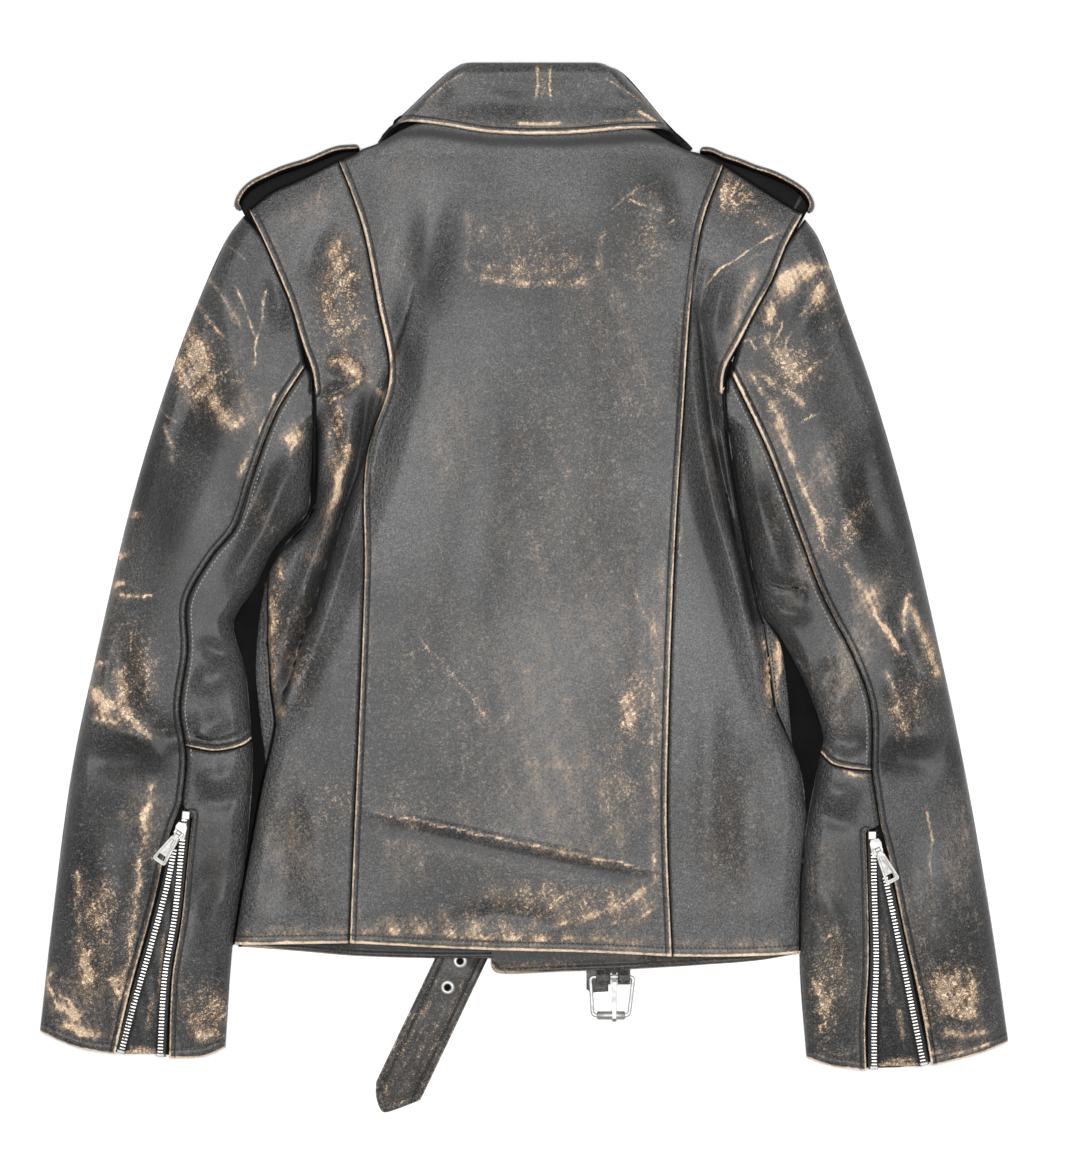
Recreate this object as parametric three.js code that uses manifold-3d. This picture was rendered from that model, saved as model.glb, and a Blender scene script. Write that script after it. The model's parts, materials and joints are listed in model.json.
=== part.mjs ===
// Worn leather motorcycle jacket, laid flat on its front with its back up.
// Millimetres. +Z up, z = 0 is the surface it lies on, +Y towards the collar, +X to the wearer's right.
// Every sewn piece is a thin closed wall. Seams are shared curves, and each piece stops short of them.

import * as THREE from 'three';
import Module from 'manifold-3d';

const wasm = await Module();
wasm.setup();

// ---------------------------------------------------------------- driving dimensions

const LEATHER = 1.6;            // wall of one layer
const DOUBLE_LEATHER = 2.6;     // collar leaf and belt, two layers sewn together
const TAPE = 1.0;               // zip tape
const SEAM_INSET = 0.22;        // each piece stops this far from a shared seam
const ARMHOLE_INSET = 0.35;     // the same at the armholes, whose pieces have different steps
const EDGE_Z = 5.6;             // height of the outer face at a folded side edge
const ROLL = 14;                // how far in from a folded edge the cloth reaches its full height
const STEEPEST = 2;             // most that a slope may thicken a wall, measured straight down
const LIFT_OVER_LAPEL = 2.2;    // the fronts lie on the lapels
const LIFT_OVER_BELT = 3.4;     // the fronts lie on the belt
const LAYER = 3.0;              // one wall and its clearance, for panels that lie on each other

// ---------------------------------------------------------------- numbers

const clamp = (value, low, high) => Math.min(Math.max(value, low), high);

const mix = (a, b, t) => a + (b - a) * t;

function smooth(low, high, value) {
  const t = clamp((value - low) / (high - low), 0, 1);
  return t * t * (3 - 2 * t);
}

// A quarter round: 0 at an edge, 1 from `reach` inwards.
function roundIn(distance, reach) {
  const t = clamp(distance / reach, 0, 1);
  return Math.sqrt(t * (2 - t));
}

// Reads a list of [key, value] pairs, sorted by key, with straight lines between them.
function along(pairs, key) {
  if (key <= pairs[0][0]) return pairs[0][1];
  for (let i = 1; i < pairs.length; i += 1) {
    const [k0, v0] = pairs[i - 1];
    const [k1, v1] = pairs[i];
    if (key <= k1) return mix(v0, v1, (key - k0) / (k1 - k0));
  }
  return pairs[pairs.length - 1][1];
}

// ---------------------------------------------------------------- curves in plan

// A curve through [x, y] points, read by its share of the length. `rounded` bends it at the points.
function curve(points, rounded = true) {
  const vectors = points.map(([x, y]) => new THREE.Vector3(x, y, 0));
  const stepsPerSpan = 10;
  const line = rounded
    ? new THREE.CatmullRomCurve3(vectors, false, 'centripetal').getPoints(stepsPerSpan * (points.length - 1))
    : vectors;
  const lengths = [0];
  for (let i = 1; i < line.length; i += 1) lengths.push(lengths[i - 1] + line[i].distanceTo(line[i - 1]));
  const total = lengths[lengths.length - 1];
  return (share) => {
    const wanted = clamp(share, 0, 1) * total;
    let i = 1;
    while (i < line.length - 1 && lengths[i] < wanted) i += 1;
    const t = (wanted - lengths[i - 1]) / (lengths[i] - lengths[i - 1]);
    return [mix(line[i - 1].x, line[i].x, t), mix(line[i - 1].y, line[i].y, t)];
  };
}

// Points of a curve at equal steps, or at the given shares.
function steps(of, count) {
  return Array.from({ length: count + 1 }, (_, i) => of(i / count));
}

const at = (of, shares) => shares.map(of);

// The straight edge between two points, at the given shares.
const edge = (a, b, shares) => shares.map((t) => [mix(a[0], b[0], t), mix(a[1], b[1], t)]);

const even = (count) => Array.from({ length: count + 1 }, (_, i) => i / count);

// The x of an upright outline at a height y.
const outlineX = (points) => {
  const pairs = points.map(([x, y]) => [y, x]).sort((a, b) => a[0] - b[0]);
  return (y) => along(pairs, y);
};

// Fills four edges with a grid of [x, y] points. Rows run from bottom to top, columns from left to right.
function patch(left, right, bottom, top, shares) {
  const rows = left.length - 1;
  return left.map((_, i) => shares.map((u, j) => {
    const v = i / rows;
    return [0, 1].map((k) => (1 - u) * left[i][k] + u * right[i][k] + (1 - v) * bottom[j][k] + v * top[j][k]
      - (1 - u) * (1 - v) * bottom[0][k] - u * (1 - v) * bottom[shares.length - 1][k]
      - (1 - u) * v * top[0][k] - u * v * top[shares.length - 1][k]);
  }));
}

// Draws the outer rows and columns of a grid in from its seams.
function inset(grid, gaps) {
  const { left = SEAM_INSET, right = SEAM_INSET, bottom = 0, top = 0 } = gaps;
  const rows = grid.length - 1;
  const columns = grid[0].length - 1;
  const moved = grid.map((row) => row.map((p) => [...p]));
  const towards = (i, j, i2, j2, gap) => {
    const from = grid[i][j];
    const to = grid[i2][j2];
    const length = Math.hypot(to[0] - from[0], to[1] - from[1]);
    moved[i][j][0] += gap * (to[0] - from[0]) / length;
    moved[i][j][1] += gap * (to[1] - from[1]) / length;
  };
  for (let i = 0; i <= rows; i += 1) {
    if (left) towards(i, 0, i, 1, left);
    if (right) towards(i, columns, i, columns - 1, right);
  }
  for (let j = 0; j <= columns; j += 1) {
    if (bottom) towards(0, j, 1, j, bottom);
    if (top) towards(rows, j, rows - 1, j, top);
  }
  return moved;
}

// ---------------------------------------------------------------- walls

// One closed wall between two grids of [x, y, z] points that have the same rows and columns.
function wallGeometry(outer, inner) {
  const rows = outer.length;
  const columns = outer[0].length;
  const positions = [...outer.flat(), ...inner.flat()].flat();
  const indices = [];
  const quad = (a, b, c, d) => indices.push(a, b, c, a, c, d);
  const out = (i, j) => i * columns + j;
  const inn = (i, j) => rows * columns + i * columns + j;
  for (let i = 0; i < rows - 1; i += 1) {
    for (let j = 0; j < columns - 1; j += 1) {
      quad(out(i, j), out(i, j + 1), out(i + 1, j + 1), out(i + 1, j));
      quad(inn(i, j), inn(i + 1, j), inn(i + 1, j + 1), inn(i, j + 1));
    }
  }
  for (let i = 0; i < rows - 1; i += 1) {
    quad(out(i, 0), out(i + 1, 0), inn(i + 1, 0), inn(i, 0));
    quad(out(i + 1, columns - 1), out(i, columns - 1), inn(i, columns - 1), inn(i + 1, columns - 1));
  }
  for (let j = 0; j < columns - 1; j += 1) {
    quad(out(0, j + 1), out(0, j), inn(0, j), inn(0, j + 1));
    quad(out(rows - 1, j), out(rows - 1, j + 1), inn(rows - 1, j + 1), inn(rows - 1, j));
  }
  if (signedVolume(positions, indices) < 0) indices.reverse();
  const geometry = new THREE.BufferGeometry();
  geometry.setAttribute('position', new THREE.Float32BufferAttribute(positions, 3));
  geometry.setIndex(indices);
  geometry.computeVertexNormals();
  return geometry;
}

function signedVolume(positions, indices) {
  const corner = (k) => new THREE.Vector3().fromArray(positions, 3 * indices[k]);
  let volume = 0;
  for (let k = 0; k < indices.length; k += 3) {
    volume += corner(k).dot(corner(k + 1).cross(corner(k + 2))) / 6;
  }
  return volume;
}

// A wall on a grid of [x, y] points whose outer face is the height function, thickened straight down.
function draped(grid, height, thickness) {
  const d = 0.5;
  const outer = grid.map((row) => row.map(([x, y]) => [x, y, height(x, y)]));
  const inner = grid.map((row) => row.map(([x, y]) => {
    const slopeX = (height(x + d, y) - height(x - d, y)) / (2 * d);
    const slopeY = (height(x, y + d) - height(x, y - d)) / (2 * d);
    const steep = Math.min(Math.hypot(1, slopeX, slopeY), STEEPEST);
    return [x, y, height(x, y) - thickness * steep];
  }));
  return wallGeometry(outer, inner);
}

// A wall with a flat outline, `base` above the surface.
function flatPiece(points, base, thickness, holes = []) {
  const shape = new THREE.Shape(points.map(([x, y]) => new THREE.Vector2(x, y)));
  shape.holes = holes.map(([x, y, radius]) => new THREE.Path().absarc(x, y, radius, 0, 2 * Math.PI));
  const geometry = new THREE.ExtrudeGeometry(shape, { depth: thickness, bevelEnabled: false, curveSegments: 12 });
  return geometry.translate(0, 0, base);
}

// ---------------------------------------------------------------- folds

// A soft ridge, or a trough where `height` is below 0, along a path. It fades out at both ends.
function foldHeight(folds, x, y) {
  let sum = 0;
  for (const { path, height, width } of folds) {
    let nearest = Infinity;
    let place = 0;
    for (let i = 1; i < path.length; i += 1) {
      const [ax, ay] = path[i - 1];
      const [bx, by] = path[i];
      const length2 = (bx - ax) ** 2 + (by - ay) ** 2;
      const t = clamp(((x - ax) * (bx - ax) + (y - ay) * (by - ay)) / length2, 0, 1);
      const distance = Math.hypot(x - mix(ax, bx, t), y - mix(ay, by, t));
      if (distance < nearest) {
        nearest = distance;
        place = (i - 1 + t) / (path.length - 1);
      }
    }
    const fade = smooth(0, 0.2, place) * smooth(1, 0.8, place);
    sum += height * fade * Math.exp(-((nearest / width) ** 2));
  }
  return sum;
}

const BODY_FOLDS = [
  // the slack of the centre panel over the left seam, and the deep valley beside it
  { path: [[-76, 290], [-88, 212], [-102, 160], [-117, 100], [-138, 40], [-158, -30], [-180, -90]], height: 4, width: 12 },
  { path: [[-122, 175], [-127, 129], [-133, 90], [-146, 45], [-162, -2], [-178, -50], [-194, -100]], height: -6, width: 7 },
  { path: [[-130, 150], [-141, 104], [-150, 66], [-163, 28], [-180, -16], [-190, -60]], height: 2.5, width: 7 },
  // the same on the right
  { path: [[124, 220], [131, 174], [139, 113], [150, 62], [166, 10], [180, -54], [196, -130]], height: 4, width: 10 },
  { path: [[140, 215], [143, 180], [149, 129], [157, 88], [169, 38], [181, -20]], height: -5, width: 6 },
  // slack across the shoulder blades and above the hem
  { path: [[-120, -172], [-85, -180], [-4, -198], [56, -210], [107, -221]], height: 1.5, width: 8 },
  { path: [[-40, 235], [-30, 120], [-46, -20], [-60, -150]], height: -1.8, width: 26 },
  { path: [[30, 300], [42, 180], [36, 40], [20, -120]], height: 1.5, width: 30 },
  { path: [[-165, 300], [-150, 250], [-140, 200]], height: 1.8, width: 14 },
];

const SLEEVE_FOLDS = {
  left: [
    { path: [[-205, 240], [-222, 160], [-246, 90], [-272, 30], [-296, -40]], height: 3, width: 22 },
    { path: [[-182, 110], [-193, 78], [-207, 44], [-226, 12]], height: 3.5, width: 9 },
    { path: [[-300, -100], [-280, -118], [-252, -112], [-225, -96]], height: -3, width: 10 },
    { path: [[-352, -131], [-320, -136], [-285, -131]], height: -3, width: 12 },
    { path: [[-228, -60], [-248, -72], [-262, -66]], height: 2.5, width: 10 },
    { path: [[-222, -140], [-240, -150], [-262, -148]], height: 2.2, width: 9 },
    { path: [[-345, -170], [-330, -240], [-340, -320]], height: 2.5, width: 24 },
  ],
  right: [
    { path: [[215, 240], [230, 150], [252, 70], [277, -5], [303, -70], [318, -120]], height: 3, width: 20 },
    { path: [[182, 90], [192, 50], [200, 22], [208, -10]], height: 3, width: 12 },
    { path: [[184, 4], [203, -1], [226, -4]], height: -3, width: 8 },
    { path: [[236, -112], [256, -122], [274, -118]], height: -3, width: 9 },
    { path: [[282, -120], [300, -132], [330, -136]], height: -2.5, width: 12 },
    { path: [[226, -150], [243, -160], [268, -166]], height: 2.4, width: 9 },
    { path: [[340, -180], [330, -250], [346, -320]], height: 2.5, width: 24 },
  ],
};

// ---------------------------------------------------------------- body outlines, [x, y] seen from above

const PRINCESS = {
  left: [[-138, -279.5], [-134, -184], [-130, -95], [-126, 13], [-124, 106], [-106, 167], [-116, 229],
    [-127, 285], [-138, 318], [-147, 340]],
  right: [[117, -290], [113, -188], [114, -112], [119, 30], [125, 129], [132, 229], [141, 290], [158, 337]],
};
// from the hem up to the armpit, and on up the armhole to the shoulder tip
const SIDE = {
  left: [[-230, -281], [-223, -239], [-207, -153], [-197, -107], [-200, -81], [-203, -41], [-202, 15],
    [-193, 30], [-177, 47], [-166.5, 63], [-164, 90], [-164, 129], [-165, 157]],
  right: [[218, -288], [219, -229], [224, -178], [218, -137], [204, -107], [198, -92], [190, -29], [186, -19],
    [181, 1], [174, 38], [168, 71], [165, 88], [158, 136], [157, 157]],
};
const ARMHOLE = {
  left: [[-165, 157], [-167, 172], [-175, 195], [-184, 225], [-195, 252], [-207, 279], [-218, 301]],
  right: [[157, 157], [159, 174], [172, 199], [183, 221], [196, 245], [207, 272], [221, 298]],
};
// the seam line of each shoulder, from the shoulder tip to the princess seam
const SHOULDER = {
  left: [[-218, 301], [-200, 315], [-180, 324], [-147, 340]],
  right: [[221, 298], [205, 307], [180, 323], [158, 337]],
};
const NECK = [[-147, 340], [-132, 344], [-121, 347.5], [-110, 355], [-100, 362], [-90, 367], [-78, 371], [0, 373],
  [80, 371], [92, 367], [104, 361], [117, 353.5], [132, 342.5], [146, 341], [158, 337]];
const HEM = {
  left: [[-230, -281], [-138, -279.5]],
  centre: [[-138, -279.5], [-26, -285], [54, -287], [117, -290]],
  right: [[117, -290], [171, -290], [218, -288]],
};

const BODY_ROWS = 24;
const ARMPIT_ROW = 18;          // the row of the side panels where the armhole begins
const ARMPIT_Y = 157;
const SHOULDER_DROOP = 0.4;     // share of its height that the cloth loses at the shoulder seam

// The height of the calm cloth, by y. Body and sleeve have the same heights along the armhole.
const BODY_HEIGHT = [[-290, 15.2], [-255, 16.4], [-100, 17.5], [160, 18.5], [300, 17], [345, 16]];
const SLEEVE_HEIGHT = [[-382, 15], [-330, 17], [-200, 19.5], [-120, 21], [0, 22], [110, 21], [170, 18.5], [300, 17]];

const sideX = { left: outlineX(SIDE.left), right: outlineX(SIDE.right) };
const shoulderY = (x) => {
  const points = x < 0 ? SHOULDER.left : SHOULDER.right;
  const pairs = points.map(([px, py]) => [px, py]).sort((a, b) => a[0] - b[0]);
  return along(pairs, x);
};

// Above the armpit the sides are sewn to the sleeves and no longer rolled.
const fadeAtArmpit = (y) => Math.max(0, y - (ARMPIT_Y - 30));

function bodyHeight(x, y) {
  const fromLeft = Math.max(0, x - sideX.left(y)) + fadeAtArmpit(y);
  const fromRight = Math.max(0, sideX.right(y) - x) + fadeAtArmpit(y);
  const sides = roundIn(fromLeft, ROLL) * roundIn(fromRight, ROLL);
  const droop = SHOULDER_DROOP * smooth(130, 175, Math.abs(x));
  const shoulder = mix(1 - droop, 1, roundIn(Math.max(0, shoulderY(x) - y), 24));
  const full = along(BODY_HEIGHT, y) + foldHeight(BODY_FOLDS, x, y);
  return EDGE_Z + (full - EDGE_Z) * sides * shoulder;
}

// ---------------------------------------------------------------- back panels

function backPanels() {
  const sideColumns = [0, 0.02, 0.08, 0.2, 0.36, 0.55, 0.78, 1];
  const mirrored = sideColumns.map((u) => 1 - u).reverse();
  const centreColumns = [0, 0.05, 0.12, 0.22, 0.35, 0.5, 0.65, 0.8, 0.9, 1];
  const seams = {
    left: steps(curve(PRINCESS.left), BODY_ROWS),
    right: steps(curve(PRINCESS.right), BODY_ROWS),
  };
  const outside = (side) => [
    ...steps(curve(SIDE[side]), ARMPIT_ROW).slice(0, -1),
    ...steps(curve(ARMHOLE[side]), BODY_ROWS - ARMPIT_ROW),
  ];
  const centre = patch(seams.left, seams.right, at(curve(HEM.centre), centreColumns),
    at(curve(NECK, false), centreColumns), centreColumns);
  const left = patch(outside('left'), seams.left, at(curve(HEM.left), sideColumns),
    at(curve(SHOULDER.left), sideColumns), sideColumns);
  const right = patch(seams.right, outside('right'), at(curve(HEM.right), mirrored),
    at(curve([...SHOULDER.right].reverse()), mirrored), mirrored);
  const outer = ARMHOLE_INSET;
  return {
    back_center: draped(inset(centre, {}), bodyHeight, LEATHER),
    back_side_left: draped(inset(left, { left: outer }), bodyHeight, LEATHER),
    back_side_right: draped(inset(right, { right: outer }), bodyHeight, LEATHER),
  };
}

// ---------------------------------------------------------------- fronts, hidden but for their edges

const FRONT_SIDE = {
  left: [[-227, -283], [-205.5, -143], [-209, -107], [-213, -60], [-206, 0], [-193, 30], [-176, 47],
    [-166.5, 63], [-165, 90], [-165, 129], [-166, 157]],
  right: [[216, -289], [220, -178], [213, -123], [209, -80], [203, -42], [189, -19], [184, 1],
    [177, 38], [170, 71], [167, 88], [160, 136], [159, 157]],
};
const LEFT_FRONT_EDGE = 48;     // the left front runs under the right one as far as this x
const RIGHT_FRONT_EDGE = -26;

function frontLift(x, y) {
  const lapel = LIFT_OVER_LAPEL * smooth(45, 75, y) * smooth(172, 148, Math.abs(x));
  const belt = LIFT_OVER_BELT * smooth(-205, -235, y) * smooth(-170, -130, x) * smooth(150, 105, x);
  return lapel + belt;
}

const leftFrontHeight = (x, y) => LEATHER + frontLift(x, y);
const rightFrontHeight = (x, y) => LEATHER + frontLift(x, y) + LAYER * smooth(112, 90, x);

function frontPanels() {
  const columns = [0, 0.06, 0.14, 0.24, 0.4, 0.6, 0.8, 1];
  const rightColumns = [0, 0.18, 0.36, 0.42, 0.5, 0.7, 0.86, 1];
  const rows = 12;
  const armpitRow = 8;
  const outside = (side) => [
    ...steps(curve(FRONT_SIDE[side]), armpitRow).slice(0, -1),
    ...steps(curve([FRONT_SIDE[side].at(-1), ...ARMHOLE[side].slice(1)]), rows - armpitRow),
  ];
  const leftTop = curve([[-218, 301], [-190, 328], [-150, 345], [-118, 347], [LEFT_FRONT_EDGE, 345]]);
  const rightTop = curve([[RIGHT_FRONT_EDGE, 345], [118, 345], [150, 343], [195, 322], [221, 298]]);
  const leftHem = curve([[-227, -283], [-189, -286], [-137, -290], [-72, -292], [LEFT_FRONT_EDGE, -292]]);
  const rightHem = curve([[RIGHT_FRONT_EDGE, -301.5], [-20, -304], [27, -302.5], [136.5, -298], [188, -294],
    [216, -289]]);
  const left = patch(outside('left'), edge([LEFT_FRONT_EDGE, -292], [LEFT_FRONT_EDGE, 345], even(rows)),
    at(leftHem, columns), at(leftTop, columns), columns);
  const right = patch(edge([RIGHT_FRONT_EDGE, -301.5], [RIGHT_FRONT_EDGE, 345], even(rows)), outside('right'),
    at(rightHem, rightColumns), at(rightTop, rightColumns), rightColumns);
  return {
    front_left: draped(inset(left, { left: ARMHOLE_INSET }), leftFrontHeight, LEATHER),
    front_right: draped(inset(right, { right: ARMHOLE_INSET }), rightFrontHeight, LEATHER),
  };
}

function frontTrim() {
  const lapel = (side) => [[side * 4, 86], [side * 84, 205], [side * 96, 255], [side * 70, 284], [side * 12, 240]];
  const zipWidth = 12;
  const zip = [[RIGHT_FRONT_EDGE - 0.4 - zipWidth, -270], [RIGHT_FRONT_EDGE - 0.4, -270],
    [RIGHT_FRONT_EDGE - 0.4, 40], [RIGHT_FRONT_EDGE - 0.4 - zipWidth, 40]];
  const zipColumns = [0, 1];
  const zipRows = even(8);
  const zipGrid = patch(edge(zip[0], zip[3], zipRows), edge(zip[1], zip[2], zipRows),
    edge(zip[0], zip[1], zipColumns), edge(zip[3], zip[2], zipColumns), zipColumns);
  return {
    lapel_left: flatPiece(lapel(-1), 0, 1.5),
    lapel_right: flatPiece(lapel(1).reverse(), 0, 1.5),
    front_zip: draped(zipGrid, (x, y) => leftFrontHeight(x, y) + 1.1 + TAPE, TAPE),
  };
}

// ---------------------------------------------------------------- collar

const COLLAR_TOP = 415;
const COLLAR = {
  left: [[-118, 352.5], [-112, 362], [-87, 385], [-60, 410], [-52, COLLAR_TOP]],
  right: [[136, 347.5], [122, 360], [100, 385], [77, 410], [66, COLLAR_TOP]],
  lower: [[-118, 352.5], [-108, 363.5], [-97, 368.5], [-75, 368], [-25, 360.5], [30, 359.5], [90, 364],
    [112, 363], [124, 358.5], [136, 347.5]],
};

const collarX = { left: outlineX(COLLAR.left), right: outlineX(COLLAR.right) };

function collarHeight(x, y) {
  const sideReach = 12;
  const foldReach = 9;
  const sides = roundIn(x - collarX.left(y), sideReach) * roundIn(collarX.right(y) - x, sideReach);
  const rise = mix(23.5, 32, smooth(352, 408, y));
  const fold = mix(1, 0.84, 1 - roundIn(COLLAR_TOP - y, foldReach));
  return EDGE_Z + 1 + (rise - EDGE_Z - 1) * sides * fold;
}

const STAND_GAP = 0.5;
const standHeight = (x, y) => {
  const underLeaf = collarHeight(x, y) - DOUBLE_LEATHER * STEEPEST * 0.7 - STAND_GAP;
  return mix(Math.min(underLeaf, 18.6), underLeaf, smooth(374, 400, y));
};

function collarPieces() {
  const columns = [0, 0.03, 0.09, 0.2, 0.35, 0.5, 0.65, 0.8, 0.91, 0.97, 1];
  const rows = 6;
  const left = steps(curve(COLLAR.left), rows);
  const right = steps(curve(COLLAR.right), rows);
  const top = edge([-52, COLLAR_TOP], [66, COLLAR_TOP], columns);
  const leaf = patch(left, right, at(curve(COLLAR.lower), columns), top, columns);
  const standColumns = [0, 0.15, 0.35, 0.5, 0.65, 0.85, 1];
  const standRows = even(4);
  const stand = patch(edge([-78, 373.6], [-48, 400], standRows), edge([86, 373.6], [62, 400], standRows),
    edge([-78, 373.6], [86, 373.6], standColumns), edge([-48, 400], [62, 400], standColumns), standColumns);
  const frontLeaf = (side, shift) => [[side * 3 + shift, 412], [side * 58 + shift, 412], [side * 118 + shift, 352],
    [side * 124 + shift, 326], [side * 82 + shift, 296], [side * 20 + shift, 330], [side * 3 + shift, 350]];
  return {
    collar_leaf: draped(leaf, collarHeight, DOUBLE_LEATHER),
    collar_stand: draped(stand, standHeight, LEATHER),
    collar_front_left: flatPiece(frontLeaf(-1, 6), 0, 1.5),
    collar_front_right: flatPiece(frontLeaf(1, 10).reverse(), 0, 1.5),
  };
}

// ---------------------------------------------------------------- sleeves

// Each sleeve: the outer fold, the inner edge, the seam between outer and under panel, and the cuff.
// The seam runs up from the cuff: along the zip, on to the elbow seam, then to the armhole.
const SLEEVES = {
  left: {
    outer: [[-384, -350], [-374, -260], [-358, -140], [-339, -50], [-311, 70], [-284, 160], [-262, 220],
      [-235, 280], [-222, 297]],
    innerLower: [[-237, -363], [-231, -280], [-221, -213], [-215, -138], [-216, -118]],
    innerUpper: [[-216, -118], [-221, -64], [-230, -25], [-213, 2], [-199, 31], [-182, 50], [-171, 63],
      [-169.5, 84], [-167.8, 129], [-167.8, 157]],
    zipEdge: [[-323, -367], [-311, -316], [-293, -250], [-280, -194], [-270.5, -169]],
    seamLower: [[-270.5, -169], [-267, -135], [-268, -123]],
    seamUpper: [[-268, -123], [-272, -94], [-266, -48], [-266, -9], [-247, 26], [-228, 50], [-214, 92],
      [-195, 142], [-173, 177]],
    piping: [[-281, -370.5], [-278, -304], [-271, -263], [-266, -215], [-262, -177]],
    elbow: [[-268, -123], [-243, -127], [-221, -122], [-216, -118]],
    cuffOuter: [[-323, -367], [-350, -363], [-384, -350]],
    cuffUnder: [[-281, -370.5], [-253, -369], [-237, -363]],
    cuffBelow: [[-384, -350], [-350, -361], [-300, -367], [-253, -367], [-239, -361]],
    armholeTop: [[-173, 177], [-184, 225], [-195, 252], [-207, 279], [-222, 297]],
    armholeUnder: [[-173, 177], [-168.8, 171], [-167.8, 157]],
    armholeBelow: [[-222, 297], [-209.5, 278], [-197.5, 251], [-186.5, 224], [-176, 190], [-170, 160]],
    chainOuter: [[-277, -204], [-283, -234], [-298, -289], [-308, -323], [-319.5, -366]],
    chainInner: [[-267, -178], [-269, -199], [-275, -257], [-283, -305], [-287, -369]],
  },
  right: {
    outer: [[384, -358], [370, -260], [349, -140], [330, -50], [302, 70], [276, 160], [255, 220],
      [233, 280], [223, 294]],
    innerLower: [[224, -371], [218.5, -290], [222, -203], [233, -139], [235, -129]],
    innerUpper: [[235, -129], [237.5, -118], [225, -79], [203, -37], [190, -19], [185, 1], [178, 38], [171.5, 71],
      [169, 88], [161.5, 136], [160.2, 157]],
    zipEdge: [[322, -376.5], [314, -331], [300, -268], [288, -210], [281.5, -185]],
    seamLower: [[281.5, -185], [276, -150], [275, -142.5]],
    seamUpper: [[275, -142.5], [274, -92], [261, -54], [236, -4], [214, 54], [192, 112], [164, 171]],
    piping: [[271, -380.5], [270, -344], [272.5, -295], [271.5, -231], [270, -191]],
    elbow: [[275, -142.5], [255, -140.5], [243, -137], [235, -129]],
    cuffOuter: [[322, -376.5], [356, -368], [384, -358]],
    cuffUnder: [[271, -380.5], [245, -377], [224, -371]],
    cuffBelow: [[384, -358], [356, -366], [300, -378], [245, -375], [226, -369]],
    armholeTop: [[164, 171], [172, 199], [183, 221], [196, 245], [207, 272], [223, 294]],
    armholeUnder: [[164, 171], [161, 166], [160.2, 157]],
    armholeBelow: [[223, 294], [209.5, 271], [198.5, 244], [185.5, 220], [169, 188], [163, 160]],
    chainOuter: [[286, -226], [293.5, -260], [301.5, -300], [308, -332], [317, -375.5]],
    chainInner: [[275, -194], [275.6, -231], [277.4, -295], [276, -335], [276, -379]],
  },
};

const ZIP_ROWS = 6;
const LOWER_ROWS = 3;
const UPPER_ROWS = 12;
const TAPE_HALF = 3.0;          // half of a zip tape's width
const TAPE_DROP = 0.9;          // the tapes and gusset lie this far under the leather's outer face
const GUSSET_DROP = 2.4;
const UNDERSIDE_ROLL = 5.5;     // the lower half of the outer fold, down to the surface

function sleeveHeightOf(side) {
  const data = SLEEVES[side];
  const sign = side === 'left' ? 1 : -1;
  const outerX = outlineX(data.outer);
  const innerX = outlineX([...data.innerLower, ...data.innerUpper.slice(1)]);
  return (x, y) => {
    const fromOuter = Math.max(0, sign * (x - outerX(y)));
    const fromInner = Math.max(0, sign * (innerX(y) - x)) + fadeAtArmpit(y);
    const width = Math.abs(innerX(y) - outerX(y));
    const across = clamp(fromOuter / width, 0, 1);
    const crown = 1 - 0.12 * (2 * across - 1) ** 2 * smooth(170, 110, y);
    const full = along(SLEEVE_HEIGHT, y) * crown + foldHeight(SLEEVE_FOLDS[side], x, y);
    return EDGE_Z + (full - EDGE_Z) * roundIn(fromOuter, ROLL) * roundIn(fromInner, ROLL);
  };
}

// The outer panel: from the seam over the outer fold and back under the whole sleeve.
function outerSleeve(side) {
  const data = SLEEVES[side];
  const height = sleeveHeightOf(side);
  const topColumns = [0, 0.22, 0.45, 0.65, 0.8, 0.9, 0.965, 1];
  const bottomColumns = [0.006, 0.03, 0.3, 0.6, 1];
  const seam = [
    ...steps(curve(data.zipEdge), ZIP_ROWS).slice(0, -1),
    ...steps(curve(data.seamLower), LOWER_ROWS).slice(0, -1),
    ...steps(curve(data.seamUpper), UPPER_ROWS),
  ];
  const rows = seam.length - 1;
  const fold = steps(curve(data.outer), rows);
  const inner = steps(curve([...data.innerLower, ...data.innerUpper.slice(1)]), rows);
  const top = inset(patch(seam, fold, at(curve(data.cuffOuter), topColumns),
    at(curve(data.armholeTop), topColumns), topColumns), { right: 0, top: ARMHOLE_INSET });
  const allColumns = [0, ...bottomColumns];
  const below = inset(patch(fold, inner, at(curve(data.cuffBelow), allColumns),
    at(curve(data.armholeBelow), allColumns), allColumns), { left: 0, right: 1.5, top: ARMHOLE_INSET });
  const outerFace = top.map((row, i) => {
    const width = Math.hypot(inner[i][0] - fold[i][0], inner[i][1] - fold[i][1]);
    const upper = row.map(([x, y]) => [x, y, height(x, y)]);
    const lower = below[i].slice(1).map(([x, y], j) => {
      const fromFold = bottomColumns[j] * width;
      return [x, y, EDGE_Z * (1 - roundIn(fromFold, UNDERSIDE_ROLL))];
    });
    return [...upper, ...lower];
  });
  return wallGeometry(outerFace, offsetInwards(outerFace, side === 'left' ? 1 : -1));
}

// The inner face of a wall that turns over: each point moves along the normal of its section.
function offsetInwards(face, turn) {
  const last = face[0].length - 1;
  return face.map((row) => row.map((point, j) => {
    const [x, y, z] = point;
    if (j === 0) return [x, y, z - LEATHER];
    if (j === last) return [x, y, z + LEATHER];
    const before = row[j - 1];
    const after = row[j + 1];
    const along1 = new THREE.Vector2(x - before[0], z - before[2]).normalize();
    const along2 = new THREE.Vector2(after[0] - x, after[2] - z).normalize();
    const direction = along1.add(along2).normalize();
    return [x - turn * direction.y * LEATHER, y, z + turn * direction.x * LEATHER];
  }));
}

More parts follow.
